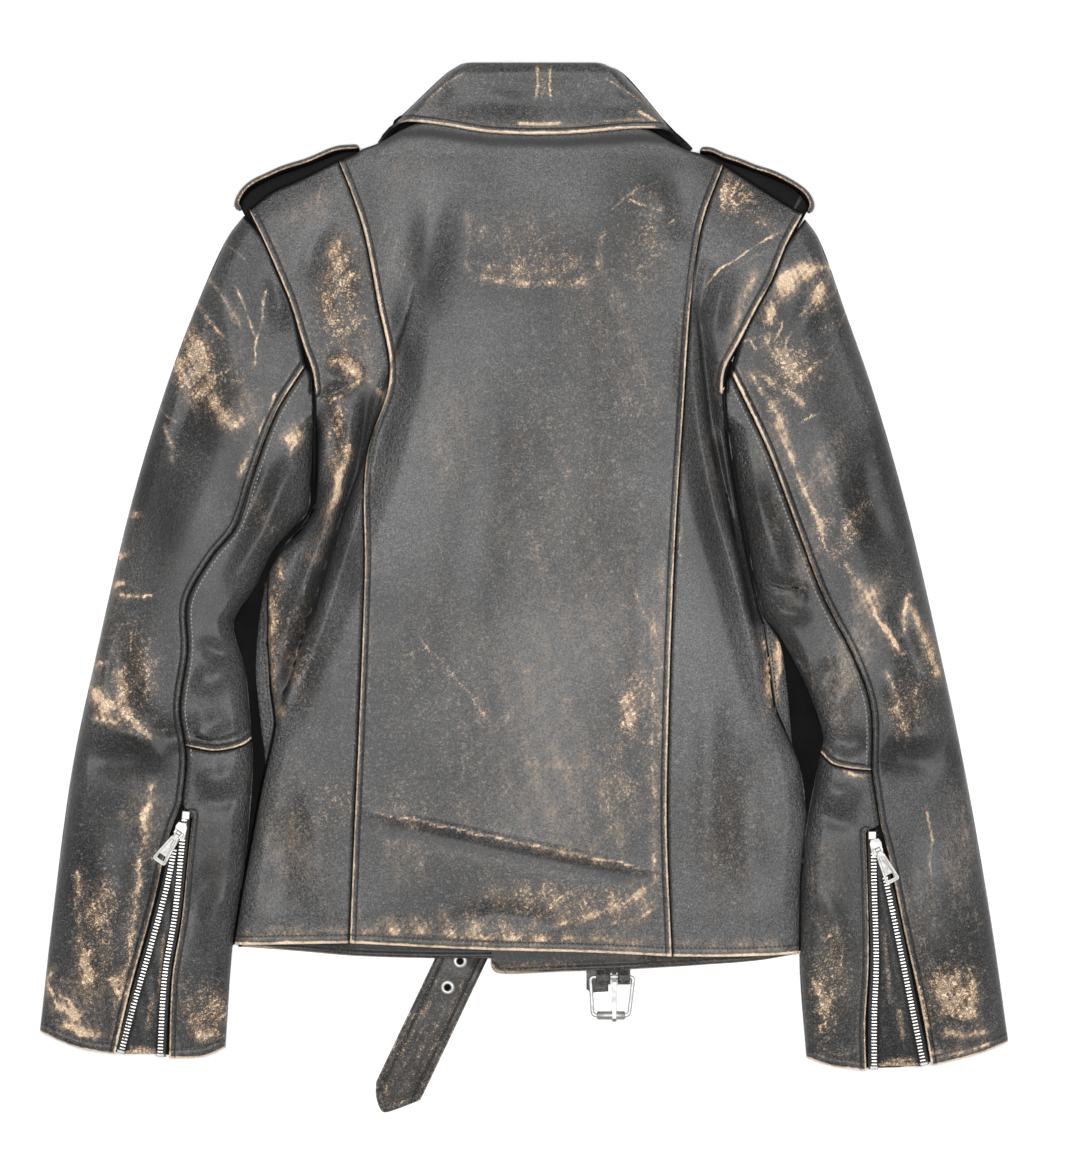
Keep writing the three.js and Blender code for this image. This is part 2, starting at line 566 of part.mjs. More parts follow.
function underSleeve(side) {
  const data = SLEEVES[side];
  const height = sleeveHeightOf(side);
  const columns = [0, 0.25, 0.5, 0.72, 0.88, 0.97, 1];
  const upper = patch(steps(curve(data.seamUpper), UPPER_ROWS), steps(curve(data.innerUpper), UPPER_ROWS),
    at(curve(data.elbow), columns), at(curve(data.armholeUnder, false), columns), columns);
  const seam = [...steps(curve(data.piping), ZIP_ROWS), ...steps(curve(data.seamLower), LOWER_ROWS)];
  const lower = patch(seam, steps(curve(data.innerLower), seam.length - 1),
    at(curve(data.cuffUnder), columns), at(curve(data.elbow), columns), columns);
  return {
    [`sleeve_under_upper_${side}`]: draped(
      inset(upper, { bottom: SEAM_INSET, top: ARMHOLE_INSET, right: 0 }), height, LEATHER),
    [`sleeve_under_lower_${side}`]: draped(inset(lower, { top: SEAM_INSET, right: 0 }), height, LEATHER),
  };
}

function cuffZip(side) {
  const data = SLEEVES[side];
  const height = sleeveHeightOf(side);
  const rows = 8;
  const shifted = (points, dx) => points.map(([x, y]) => [x + dx, y]);
  const strip = (line, drop, thickness) => {
    const centre = steps(curve(line), rows);
    const left = shifted(centre, -TAPE_HALF);
    const right = shifted(centre, TAPE_HALF);
    const ends = [0, 0.5, 1];
    const grid = patch(left, right, edge(left[0], right[0], ends), edge(left[rows], right[rows], ends), ends);
    return draped(grid, (x, y) => height(x, y) - drop, thickness);
  };
  // the gusset opens between the two tapes where they have parted
  const sign = side === 'left' ? 1 : -1;
  const from = 0.16;
  const gap = TAPE_HALF + 0.35;
  const outerLine = curve(shifted(data.chainOuter, sign * gap));
  const innerLine = curve(shifted(data.chainInner, -sign * gap));
  const start = (line, y) => {
    let share = 0;
    while (line(share)[1] > y) share += 0.002;
    return share;
  };
  const outerStart = start(outerLine, outerLine(from)[1]);
  const innerStart = start(innerLine, outerLine(from)[1]);
  const outerSide = even(rows).map((t) => outerLine(mix(outerStart, 1, t)));
  const innerSide = even(rows).map((t) => innerLine(mix(innerStart, 1, t)));
  const columns = [0, 0.33, 0.67, 1];
  const grid = patch(outerSide, innerSide, edge(outerSide[0], innerSide[0], columns),
    edge(outerSide[rows], innerSide[rows], columns), columns);
  return {
    [`cuff_zip_tape_outer_${side}`]: strip(data.chainOuter, TAPE_DROP, TAPE),
    [`cuff_zip_tape_inner_${side}`]: strip(data.chainInner, TAPE_DROP, TAPE),
    [`cuff_gusset_${side}`]: draped(grid, (x, y) => height(x, y) - GUSSET_DROP, LEATHER),
  };
}

// ---------------------------------------------------------------- cuff sliders and pull tabs

const SLIDER = { length: 13, width: 9, thickness: 3.2, gap: 0.4 };
const BAIL = { rod: 0.8, postWidth: 1.6, inside: 4.4, rise: 2.5 };
const TAB = { length: 29, near: 7, far: 12, thickness: 1.5, behind: 1.8, eye: 3.4, eyeRing: 1.1 };
const PULLS = {
  left: { place: [-271, -190], chain: [-0.23, -0.97], tab: [-0.583, -0.812] },
  right: { place: [278, -203], chain: [0.2, -0.98], tab: [0.444, -0.896] },
};

// The slider's floor is set from the highest cloth under it.
function pullFrame(side) {
  const { place, chain, tab } = PULLS[side];
  const height = sleeveHeightOf(side);
  const reach = [-7, 0, 7];
  const floor = Math.max(...reach.flatMap((dx) => reach.map((dy) => height(place[0] + dx, place[1] + dy))));
  const base = floor - TAPE_DROP + SLIDER.gap;
  const pivotZ = base + SLIDER.thickness + BAIL.rise;
  const pivot = [place[0] + tab[0] * 2, place[1] + tab[1] * 2, pivotZ];
  return { place, chain, tab, base, pivot };
}

const headingOf = ([dx, dy]) => Math.atan2(dy, dx) + Math.PI / 2;

function slider(side) {
  const { place, chain, tab, base, pivot } = pullFrame(side);
  const half = SLIDER.width / 2;
  const end = SLIDER.length / 2;
  const outline = new THREE.Shape([
    new THREE.Vector2(-half + 1.5, end), new THREE.Vector2(-half, end - 3), new THREE.Vector2(-half, -end),
    new THREE.Vector2(half, -end), new THREE.Vector2(half, end - 3), new THREE.Vector2(half - 1.5, end),
  ]);
  const body = new THREE.ExtrudeGeometry(outline, { depth: SLIDER.thickness, bevelEnabled: false });
  body.rotateZ(headingOf(chain)).translate(place[0], place[1], base);
  const postHeight = BAIL.rise + 1.6;
  const sideways = BAIL.inside / 2 + BAIL.postWidth / 2;
  const post = (s) => new THREE.BoxGeometry(BAIL.postWidth, 3, postHeight)
    .translate(s * sideways, 0, -0.4)
    .rotateZ(headingOf(tab)).translate(pivot[0], pivot[1], pivot[2] - 0.4);
  const rod = new THREE.CylinderGeometry(BAIL.rod, BAIL.rod, BAIL.inside + BAIL.postWidth, 10)
    .rotateZ(Math.PI / 2).rotateZ(headingOf(tab)).translate(...pivot);
  return joined([body, post(-1), post(1), rod]);
}

// The tab lies on the sleeve beside the zip: its far end drops by the slope of the cloth.
function pullTab(side) {
  const { tab, pivot } = pullFrame(side);
  const height = sleeveHeightOf(side);
  const shares = [0.3, 0.5, 0.7, 0.85, 1];
  const slope = Math.max(...shares.flatMap((t) => [-0.45, 0, 0.45].map((s) => {
    const reach = TAB.length * t;
    const x = pivot[0] + tab[0] * reach - tab[1] * TAB.far * s;
    const y = pivot[1] + tab[1] * reach + tab[0] * TAB.far * s;
    return (height(x, y) + 0.5 + TAB.thickness / 2 - pivot[2]) / reach;
  })));
  const tilt = Math.atan(slope);
  const outline = new THREE.Shape();
  const near = TAB.near / 2;
  const far = TAB.far / 2;
  outline.moveTo(-BAIL.inside / 2 + 0.4, TAB.behind);
  outline.lineTo(-BAIL.inside / 2 + 0.4, -2.4);
  outline.lineTo(-near, -5);
  outline.lineTo(-far, -TAB.length + 2);
  outline.lineTo(-far + 2, -TAB.length);
  outline.lineTo(far - 2, -TAB.length);
  outline.lineTo(far, -TAB.length + 2);
  outline.lineTo(near, -5);
  outline.lineTo(BAIL.inside / 2 - 0.4, -2.4);
  outline.lineTo(BAIL.inside / 2 - 0.4, TAB.behind);
  outline.closePath();
  const slot = (half, top, bottom) => new THREE.Path([
    new THREE.Vector2(-half, top), new THREE.Vector2(half, top),
    new THREE.Vector2(half, bottom), new THREE.Vector2(-half, bottom)]);
  outline.holes = [slot(3.4, -TAB.length + 7.2, -TAB.length + 2.8)];
  const plate = new THREE.ExtrudeGeometry(outline, { depth: TAB.thickness, bevelEnabled: false })
    .translate(0, 0, -TAB.thickness / 2);
  const eyeShape = new THREE.Shape().absarc(0, 0, BAIL.rod + TAB.eyeRing, 0, 2 * Math.PI);
  const eye = new THREE.ExtrudeGeometry(eyeShape, { depth: TAB.eye, bevelEnabled: false, curveSegments: 8 })
    .translate(0, 0, -TAB.eye / 2).rotateY(Math.PI / 2);
  const bore = new THREE.CylinderGeometry(BAIL.rod + 0.4, BAIL.rod + 0.4, 12, 12).rotateZ(Math.PI / 2);
  return cut(joined([plate, eye]), bore)
    .rotateX(-tilt).rotateZ(headingOf(tab)).translate(...pivot);
}

// ---------------------------------------------------------------- joins and cuts

function toManifold(geometry) {
  const positions = geometry.getAttribute('position');
  const index = geometry.getIndex();
  const count = index ? index.count : positions.count;
  const found = new Map();
  const vertices = [];
  const triangles = [];
  for (let k = 0; k < count; k += 1) {
    const i = index ? index.getX(k) : k;
    const point = [positions.getX(i), positions.getY(i), positions.getZ(i)];
    const key = point.map((value) => Math.round(value * 1e4)).join();
    if (!found.has(key)) {
      found.set(key, vertices.length / 3);
      vertices.push(...point);
    }
    triangles.push(found.get(key));
  }
  const kept = [];
  for (let k = 0; k < triangles.length; k += 3) {
    const [a, b, c] = triangles.slice(k, k + 3);
    if (a !== b && b !== c && a !== c) kept.push(a, b, c);
  }
  return new wasm.Manifold(new wasm.Mesh({
    numProp: 3, vertProperties: new Float32Array(vertices), triVerts: new Uint32Array(kept),
  }));
}

function fromManifold(solid) {
  const { vertProperties, triVerts } = solid.getMesh();
  const geometry = new THREE.BufferGeometry();
  geometry.setAttribute('position', new THREE.BufferAttribute(new Float32Array(vertProperties), 3));
  geometry.setIndex(new THREE.BufferAttribute(new Uint32Array(triVerts), 1));
  geometry.computeVertexNormals();
  return geometry;
}

const joined = (geometries) => fromManifold(geometries.map(toManifold).reduce((a, b) => a.add(b)));
const cut = (geometry, tool) => fromManifold(toManifold(geometry).subtract(toManifold(tool)));

// ---------------------------------------------------------------- epaulettes

const EPAULETTE = { thickness: 3, base: 4.5, top: 29 };
const EPAULETTE_LINE = {
  left: [[-130.5, 349.2], [-145, 348.2], [-160, 342.5], [-180, 335.2], [-200, 328], [-214, 320.5], [-223.2, 311.5],
    [-226.3, 304.5], [-224.5, 301.6]],
  right: [[139.5, 346.8], [148, 346.4], [160, 340.9], [180, 334], [200, 326.4], [213, 320], [222.5, 311.5],
    [226.5, 303.5], [225.2, 299.4]],
};

// A strap that stands on its long edge along the shoulder.
function epaulette(side) {
  const centre = steps(curve(EPAULETTE_LINE[side]), 14);
  const half = EPAULETTE.thickness / 2;
  const offset = (s) => centre.map(([x, y], i) => {
    const [ax, ay] = centre[Math.max(0, i - 1)];
    const [bx, by] = centre[Math.min(centre.length - 1, i + 1)];
    const length = Math.hypot(bx - ax, by - ay);
    return [x - s * half * (by - ay) / length, y + s * half * (bx - ax) / length];
  });
  return flatPiece([...offset(1), ...offset(-1).reverse()], EPAULETTE.base, EPAULETTE.top - EPAULETTE.base);
}

// ---------------------------------------------------------------- belt

const BELT = {
  width: 38, thickness: 2.0, visible: 117, tip: 137, hidden: 34,
  start: [-50, -293], direction: [-0.43, -0.903],
};
const EYELET = { outer: 6, hole: 2.5, barrel: 3.0, flange: 0.6 };
const EYELET_PLACES = { belt_eyelet_1: 25, belt_eyelet_2: 2 };  // distance from the hem along the belt

const beltPoint = (down, sideways) => [
  BELT.start[0] + BELT.direction[0] * down - BELT.direction[1] * sideways,
  BELT.start[1] + BELT.direction[1] * down + BELT.direction[0] * sideways,
];

function beltTongue() {
  const half = BELT.width / 2;
  const outline = [beltPoint(-BELT.hidden, -half), beltPoint(BELT.visible, -half),
    beltPoint(BELT.tip, -4), beltPoint(BELT.visible - 2, half), beltPoint(-BELT.hidden, half)];
  const holes = Object.values(EYELET_PLACES).map((down) => [...beltPoint(down, 0), EYELET.barrel + 0.3]);
  return flatPiece(outline, 0, BELT.thickness, holes);
}

function eyelet(down) {
  const low = 0.3;
  const top = BELT.thickness + 0.3 + EYELET.flange;
  const profile = [[EYELET.hole, low], [EYELET.barrel, low], [EYELET.barrel, BELT.thickness + 0.3],
    [EYELET.outer, BELT.thickness + 0.3], [EYELET.outer - 1, top], [EYELET.hole, top], [EYELET.hole, low]];
  const [x, y] = beltPoint(down, 0);
  return new THREE.LatheGeometry(profile.map(([r, z]) => new THREE.Vector2(r, z)), 24)
    .rotateX(Math.PI / 2).translate(x, y, 0);
}

// ---------------------------------------------------------------- buckle

const BUCKLE = {
  barY: -307.2, rollerY: -337.6, z: 4.5, thickness: 2.6, bar: 2.8,
  top: [51.2, 88.3], bottom: [53, 84.6], high: -305.8, low: -339.0,
};
const ROLLER = { inner: 2.45, outer: 3.3, from: 58, to: 80 };
const PRONG = { x: 71.5, width: 3.2, inner: 2.5, outer: 3.6, thickness: 1.7 };
const STRAP = { from: 57, to: 84.2, wall: 1.3, loop: 3.3, slot: 6.4 };

// The strap folds round the top bar; its section is drawn in y and z and runs across the strap.
function buckleStrap() {
  const { barY, z } = BUCKLE;
  const section = new THREE.Shape();
  const low = z - STRAP.loop;
  section.moveTo(-262, low);
  section.lineTo(barY - 2.6, low);
  section.absarc(barY - 2.6, z, STRAP.loop, -Math.PI / 2, Math.PI / 2, true);
  section.lineTo(-304.2, z + STRAP.loop);
  section.lineTo(-302.3, low + 2 * STRAP.wall);
  section.lineTo(-262, low + 2 * STRAP.wall);
  section.closePath();
  const inner = STRAP.loop - STRAP.wall;
  const hollow = new THREE.Path();
  hollow.moveTo(-304.2, low + STRAP.wall);
  hollow.lineTo(-305, z + inner);
  hollow.lineTo(barY - 2.6, z + inner);
  hollow.absarc(barY - 2.6, z, inner, Math.PI / 2, -Math.PI / 2, false);
  hollow.closePath();
  section.holes = [hollow];
  const strap = new THREE.ExtrudeGeometry(section, { depth: STRAP.to - STRAP.from, bevelEnabled: false, curveSegments: 8 })
    .applyMatrix4(new THREE.Matrix4().set(0, 0, 1, STRAP.from, 1, 0, 0, 0, 0, 1, 0, 0, 0, 0, 0, 1));
  const slot = new THREE.BoxGeometry(STRAP.slot, 13, 20).translate(PRONG.x, barY - 1.8, z);
  return cut(strap, slot);
}

function buckleKeeper() {
  return flatPiece([[49.5, -300], [49.5, -317], [53, -320], [67, -319], [67, -300]], 0, 0.8);
}

function buckleFrame() {
  const { top, bottom, high, low, bar, thickness, z } = BUCKLE;
  const ring = (shrink, round) => {
    const corners = [[top[0] + shrink, high - shrink], [bottom[0] + shrink, low + shrink],
      [bottom[1] - shrink, low + shrink], [top[1] - shrink, high - shrink]];
    const path = new THREE.Shape();
    corners.forEach(([x, y], i) => {
      const [px, py] = corners[(i + 3) % 4];
      const [nx, ny] = corners[(i + 1) % 4];
      const before = round / Math.hypot(px - x, py - y);
      const after = round / Math.hypot(nx - x, ny - y);
      const start = [mix(x, px, before), mix(y, py, before)];
      if (i === 0) path.moveTo(...start);
      else path.lineTo(...start);
      path.quadraticCurveTo(x, y, mix(x, nx, after), mix(y, ny, after));
    });
    path.closePath();
    return path;
  };
  const shape = ring(0, 4);
  shape.holes = [ring(bar, 1.2)];
  return new THREE.ExtrudeGeometry(shape, { depth: thickness, bevelEnabled: false, curveSegments: 5 })
    .translate(0, 0, z - thickness / 2);
}

function roller() {
  const { inner, outer, from, to } = ROLLER;
  const profile = [[inner, from], [outer, from], [outer, to], [inner, to], [inner, from]];
  return new THREE.LatheGeometry(profile.map(([r, x]) => new THREE.Vector2(r, x)), 20)
    .rotateZ(-Math.PI / 2).translate(0, BUCKLE.rollerY, BUCKLE.z);
}

// The prong: an eye round the top bar and a tongue that lies on the roller.
function prong() {
  const { barY, rollerY, z } = BUCKLE;
  const { inner, outer, thickness, width, x } = PRONG;
  const rest = z + ROLLER.outer + 0.35;
  const tongue = new THREE.Shape([[barY, z + inner - 0.2], [barY - 4, rest], [rollerY - 2, rest],
    [rollerY - 4.6, rest - 1.6], [rollerY - 4.4, rest + 0.3], [rollerY - 2, rest + thickness],
    [barY - 3.4, rest + thickness], [barY, z + outer]].map(([y, h]) => new THREE.Vector2(y, h)));
  const eye = new THREE.Shape().absarc(barY, z, outer, 0, 2 * Math.PI);
  eye.holes = [new THREE.Path().absarc(barY, z, inner, 0, 2 * Math.PI)];
  const across = new THREE.Matrix4().set(0, 0, 1, x - width / 2, 1, 0, 0, 0, 0, 1, 0, 0, 0, 0, 0, 1);
  const make = (shape) => new THREE.ExtrudeGeometry(shape, { depth: width, bevelEnabled: false, curveSegments: 10 })
    .applyMatrix4(across);
  return joined([make(eye), make(tongue)]);
}

// ---------------------------------------------------------------- materials and assembly

const leather = () => new THREE.MeshStandardMaterial({ color: 0x464646, roughness: 0.5, metalness: 0 });
const tape = () => new THREE.MeshStandardMaterial({ color: 0x141414, roughness: 0.9, metalness: 0 });
const nickel = () => new THREE.MeshStandardMaterial({ color: 0xd8d8d6, roughness: 0.25, metalness: 1 });

const jacket = new THREE.Group();

function add(name, geometry, material) {
  const mesh = new THREE.Mesh(geometry, material);
  mesh.name = name;
  jacket.add(mesh);
}

const addAll = (pieces, material) => {
  for (const [name, geometry] of Object.entries(pieces)) add(name, geometry, material());
};

addAll(backPanels(), leather);
addAll(frontPanels(), leather);
addAll(frontTrim(), leather);
addAll(collarPieces(), leather);
for (const side of ['left', 'right']) {
  add(`sleeve_outer_${side}`, outerSleeve(side), leather());
  addAll(underSleeve(side), leather);
  addAll(cuffZip(side), tape);
  add(`cuff_slider_${side}`, slider(side), nickel());
  add(`cuff_pull_tab_${side}`, pullTab(side), nickel());
  add(`epaulette_${side}`, epaulette(side), leather());
}
add('belt_tongue', beltTongue(), leather());
for (const [name, down] of Object.entries(EYELET_PLACES)) add(name, eyelet(down), nickel());
add('buckle_strap', buckleStrap(), leather());
add('buckle_keeper', buckleKeeper(), leather());
add('buckle_frame', buckleFrame(), nickel());
add('buckle_roller', roller(), nickel());
add('buckle_prong', prong(), nickel());

export default jacket;
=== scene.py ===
"""Worn leather motorcycle jacket, laid flat on its front with its back up.

Everything below is in millimetres, like the part's own source, and becomes metres in add_mesh.
+Z is up, z = 0 is the floor, +Y is towards the collar. "left" is the wearer's left, at -X.
"""

import json
import math
import random

import bpy
import numpy as np
from mathutils import Matrix, Vector


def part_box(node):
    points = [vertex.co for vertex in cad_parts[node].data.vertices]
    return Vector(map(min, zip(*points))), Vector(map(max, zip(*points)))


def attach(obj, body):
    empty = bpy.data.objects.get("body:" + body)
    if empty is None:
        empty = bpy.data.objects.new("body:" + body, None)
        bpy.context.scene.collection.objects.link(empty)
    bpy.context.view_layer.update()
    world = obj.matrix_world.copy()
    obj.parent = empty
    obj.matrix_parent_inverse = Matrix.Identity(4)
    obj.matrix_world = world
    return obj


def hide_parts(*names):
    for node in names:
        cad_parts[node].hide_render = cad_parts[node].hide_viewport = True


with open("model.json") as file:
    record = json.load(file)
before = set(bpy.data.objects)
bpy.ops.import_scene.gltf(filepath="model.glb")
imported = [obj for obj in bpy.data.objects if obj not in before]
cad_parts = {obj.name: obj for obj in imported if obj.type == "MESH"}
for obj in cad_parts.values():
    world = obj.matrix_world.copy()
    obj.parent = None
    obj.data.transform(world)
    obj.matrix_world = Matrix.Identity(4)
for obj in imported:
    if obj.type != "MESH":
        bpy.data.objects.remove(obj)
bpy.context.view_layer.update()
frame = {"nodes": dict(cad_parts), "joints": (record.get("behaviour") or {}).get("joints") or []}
MM = 0.001
SIDES = ("left", "right")

# ------------------------------------------------------------------ numbers


def mix(a, b, t):
    return a + (b - a) * t


def smooth(low, high, value):
    t = np.clip((value - low) / (high - low), 0.0, 1.0)
    return t * t * (3.0 - 2.0 * t)


def round_in(distance, reach):
    """A quarter round: 0 at an edge, 1 from reach inwards."""
    t = np.clip(distance / reach, 0.0, 1.0)
    return np.sqrt(t * (2.0 - t))


def read(pairs, key):
    """Reads [key, value] pairs with straight lines between them."""
    pairs = sorted(pairs)
    return np.interp(key, [p[0] for p in pairs], [p[1] for p in pairs])


def outline_x(points):
    """The x of an upright outline at a height y."""
    pairs = sorted((y, x) for x, y in points)
    return lambda y: np.interp(y, [p[0] for p in pairs], [p[1] for p in pairs])


def unit(vectors):
    """The same directions with a length of 1."""
    return vectors / np.maximum(np.linalg.norm(vectors, axis=-1, keepdims=True), 1e-9)


def over(grid, height):
    """Grid points in plan, with a height that is an array or a function of x and y."""
    z = height(grid[..., 0], grid[..., 1]) if callable(height) else height
    return np.concatenate([grid, z[..., None]], axis=-1)

# ------------------------------------------------------------------ curves in plan

SPAN_STEPS = 16
NUDGE = 0.8             # a line's direction is read this far to each side of a place


def polyline(points, rounded=True):
    """A centripetal Catmull-Rom curve through the points, as a dense line."""
    p = np.asarray(points, float)
    if not rounded or len(p) < 3:
        return p
    ends = np.vstack([2 * p[0] - p[1], p, 2 * p[-1] - p[-2]])
    line = [p[0]]
    for i in range(len(p) - 1):
        a, b, c, d = ends[i:i + 4]
        ta = max(np.linalg.norm(b - a) ** 0.5, 1e-4)
        tb = max(np.linalg.norm(c - b) ** 0.5, 1e-4)
        tc = max(np.linalg.norm(d - c) ** 0.5, 1e-4)
        start = ((b - a) / ta - (c - a) / (ta + tb) + (c - b) / tb) * tb
        stop = ((c - b) / tb - (d - b) / (tb + tc) + (d - c) / tc) * tb
        for k in range(1, SPAN_STEPS + 1):
            t = k / SPAN_STEPS
            line.append(b + start * t + (3 * (c - b) - 2 * start - stop) * t ** 2
                        + (2 * (b - c) + start + stop) * t ** 3)
    return np.array(line)


def lengths_of(line):
    return np.concatenate([[0.0], np.cumsum(np.linalg.norm(np.diff(line, axis=0), axis=1))])


def at_share(line, share):
    """Points of a line at shares of its length."""
    run = lengths_of(line)
    wanted = np.clip(share, 0.0, 1.0) * run[-1]
    return np.stack([np.interp(wanted, run, line[:, k]) for k in range(line.shape[1])], axis=-1)


def nearest(line, x, y, reach):
    """The distance from points to a line, and the share of its points there. It stops at reach."""
    line = np.asarray(line, float)
    x = np.asarray(x, float)
    y = np.asarray(y, float)
    best = np.full(x.shape, float(reach))
    place = np.zeros(x.shape)
    low = line.min(axis=0) - reach
    high = line.max(axis=0) + reach
    inside = (x > low[0]) & (x < high[0]) & (y > low[1]) & (y < high[1])
    if not inside.any():
        return best, place
    px = x[inside]
    py = y[inside]
    found = np.full(px.shape, float(reach))
    where = np.zeros(px.shape)
    last = len(line) - 1
    for i in range(last):
        (ax, ay), (bx, by) = line[i], line[i + 1]
        close = ((px > min(ax, bx) - reach) & (px < max(ax, bx) + reach)
                 & (py > min(ay, by) - reach) & (py < max(ay, by) + reach))
        if not close.any():
            continue
        qx = px[close]
        qy = py[close]
        size = max((bx - ax) ** 2 + (by - ay) ** 2, 1e-9)
        t = np.clip(((qx - ax) * (bx - ax) + (qy - ay) * (by - ay)) / size, 0.0, 1.0)
        far = np.hypot(qx - mix(ax, bx, t), qy - mix(ay, by, t))
        old = found[close]
        better = far < old
        found[close] = np.where(better, far, old)
        where[close] = np.where(better, (i + t) / last, where[close])
    best[inside] = found
    place[inside] = where
    return best, place

# ------------------------------------------------------------------ folds and marks

FOLD_REACH = 3.2        # a fold ends this many widths from its line


def fold_height(folds, x, y):
    """Soft ridges, and troughs where the height is below 0, along paths that fade out at both ends."""
    total = np.zeros(np.shape(x))
    for height, width, path in folds:
        far, place = nearest(path, x, y, FOLD_REACH * width)
        fade = smooth(0, 0.38, place) * smooth(1, 0.62, place)
        total += height * fade * np.exp(-((far / width) ** 2)) * (far < FOLD_REACH * width)
    return total


def strokes(marks, x, y):
    """Worn strokes: (strength, width, path). The strongest one counts."""
    total = np.zeros(np.shape(x))
    for strength, width, path in marks:
        far, place = nearest(path, x, y, 3 * width)
        fade = 0.35 + 0.65 * smooth(0, 0.12, place) * smooth(1, 0.88, place)
        total = np.maximum(total, strength * fade * np.exp(-((far / width) ** 3)) * (far < 3 * width))
    return total


def fields(marks, x, y):
    """Worn fields: (strength, x, y, half width, half height, turn in degrees)."""
    total = np.zeros(np.shape(x))
    for strength, cx, cy, rx, ry, turn in marks:
        c, s = math.cos(math.radians(turn)), math.sin(math.radians(turn))
        u = ((x - cx) * c + (y - cy) * s) / rx
        v = (-(x - cx) * s + (y - cy) * c) / ry
        total = np.maximum(total, strength * np.exp(-((u * u + v * v) ** 1.3)))
    return total

# ------------------------------------------------------------------ driving dimensions

LEATHER = 1.6           # wall of one layer
DOUBLE = 2.6            # collar leaf
EDGE_Z = 5.6            # height of the outer face at a folded side edge
ROLL = 14               # how far in from a folded edge the cloth reaches its full height
ARMPIT_Y = 157
SHOULDER_DROOP = 0.4
SEAM_GAP = 0.25         # two panels stop this far from their shared seam line
GRID = 1.7              # spacing of the cloth mesh
HIDDEN_GRID = 7.0       # the same on panels that lie underneath
STITCH_IN = 4.6         # a stitch row from its edge
HEM_STITCH_IN = 7.0

# distances of the mesh lines beside a sewn edge, and beside an edge that rolls under
SEWN = (0, 0.3, 0.7, 1.2, 1.9, 2.7, 3.6, 4.6, 5.6, 6.8)
ROLLED = (0, 0.12, 0.4, 0.9, 1.6, 2.5, 3.6, 5.0, 6.6, 8.4, 10.4, 12.6)
PLAIN = (0, 0.8, 1.8)

PRINCESS = {
    "left": [(-138, -279.5), (-134, -184), (-130, -95), (-126, 13), (-124, 106), (-106, 167), (-116, 229),
             (-127, 285), (-138, 318), (-147, 340)],
    "right": [(117, -290), (113, -188), (114, -112), (119, 30), (125, 129), (132, 229), (141, 290),
              (158, 337)],
}
SIDE = {
    "left": [(-230, -281), (-223, -239), (-207, -153), (-197, -107), (-200, -81), (-203, -41), (-202, 15),
             (-193, 30), (-177, 47), (-166.5, 63), (-164, 90), (-164, 129), (-165, 157)],
    "right": [(218, -288), (219, -229), (224, -178), (218, -137), (204, -107), (198, -92), (190, -29),
              (186, -19), (181, 1), (174, 38), (168, 71), (165, 88), (158, 136), (157, 157)],
}
ARMHOLE = {
    "left": [(-165, 157), (-167, 172), (-175, 195), (-184, 225), (-195, 252), (-207, 279), (-218, 301)],
    "right": [(157, 157), (159, 174), (172, 199), (183, 221), (196, 245), (207, 272), (221, 298)],
}
SHOULDER = {
    "left": [(-218, 301), (-200, 315), (-180, 324), (-147, 340)],
    "right": [(221, 298), (205, 307), (180, 323), (158, 337)],
}
NECK = [(-147, 340), (-133, 344.6), (-128, 348.6), (-118, 352), (-110, 356), (-100, 362), (-90, 367),
        (-78, 371), (0, 373), (80, 371), (92, 367), (104, 361), (117, 353.5), (131, 347), (138, 345.6),
        (146, 342.4), (158, 337)]
HEM = {
    "left": [(-230, -281), (-138, -279.5)],
    "centre": [(-138, -279.5), (-26, -285), (54, -287), (117, -290)],
    "right": [(117, -290), (171, -290), (218, -288)],
}
FRONT_SIDE = {
    "left": [(-227, -283), (-205.5, -143), (-209, -107), (-213, -60), (-206, 0), (-193, 30), (-176, 47),
             (-166.5, 63), (-165, 90), (-165, 129), (-166, 157)],
    "right": [(216, -289), (220, -178), (213, -123), (209, -80), (203, -42), (189, -19), (184, 1),
              (177, 38), (170, 71), (167, 88), (160, 136), (159, 157)],
}
BODY_HEIGHT = [(-290, 15.2), (-255, 16.4), (-100, 17.5), (160, 18.5), (300, 17), (345, 16)]
SLEEVE_HEIGHT = [(-382, 15), (-330, 17), (-200, 19.5), (-120, 21), (0, 22), (110, 21), (170, 18.5), (300, 17)]

FOLD_DEPTH = 1.7        # the back's folds are this much deeper than in their list

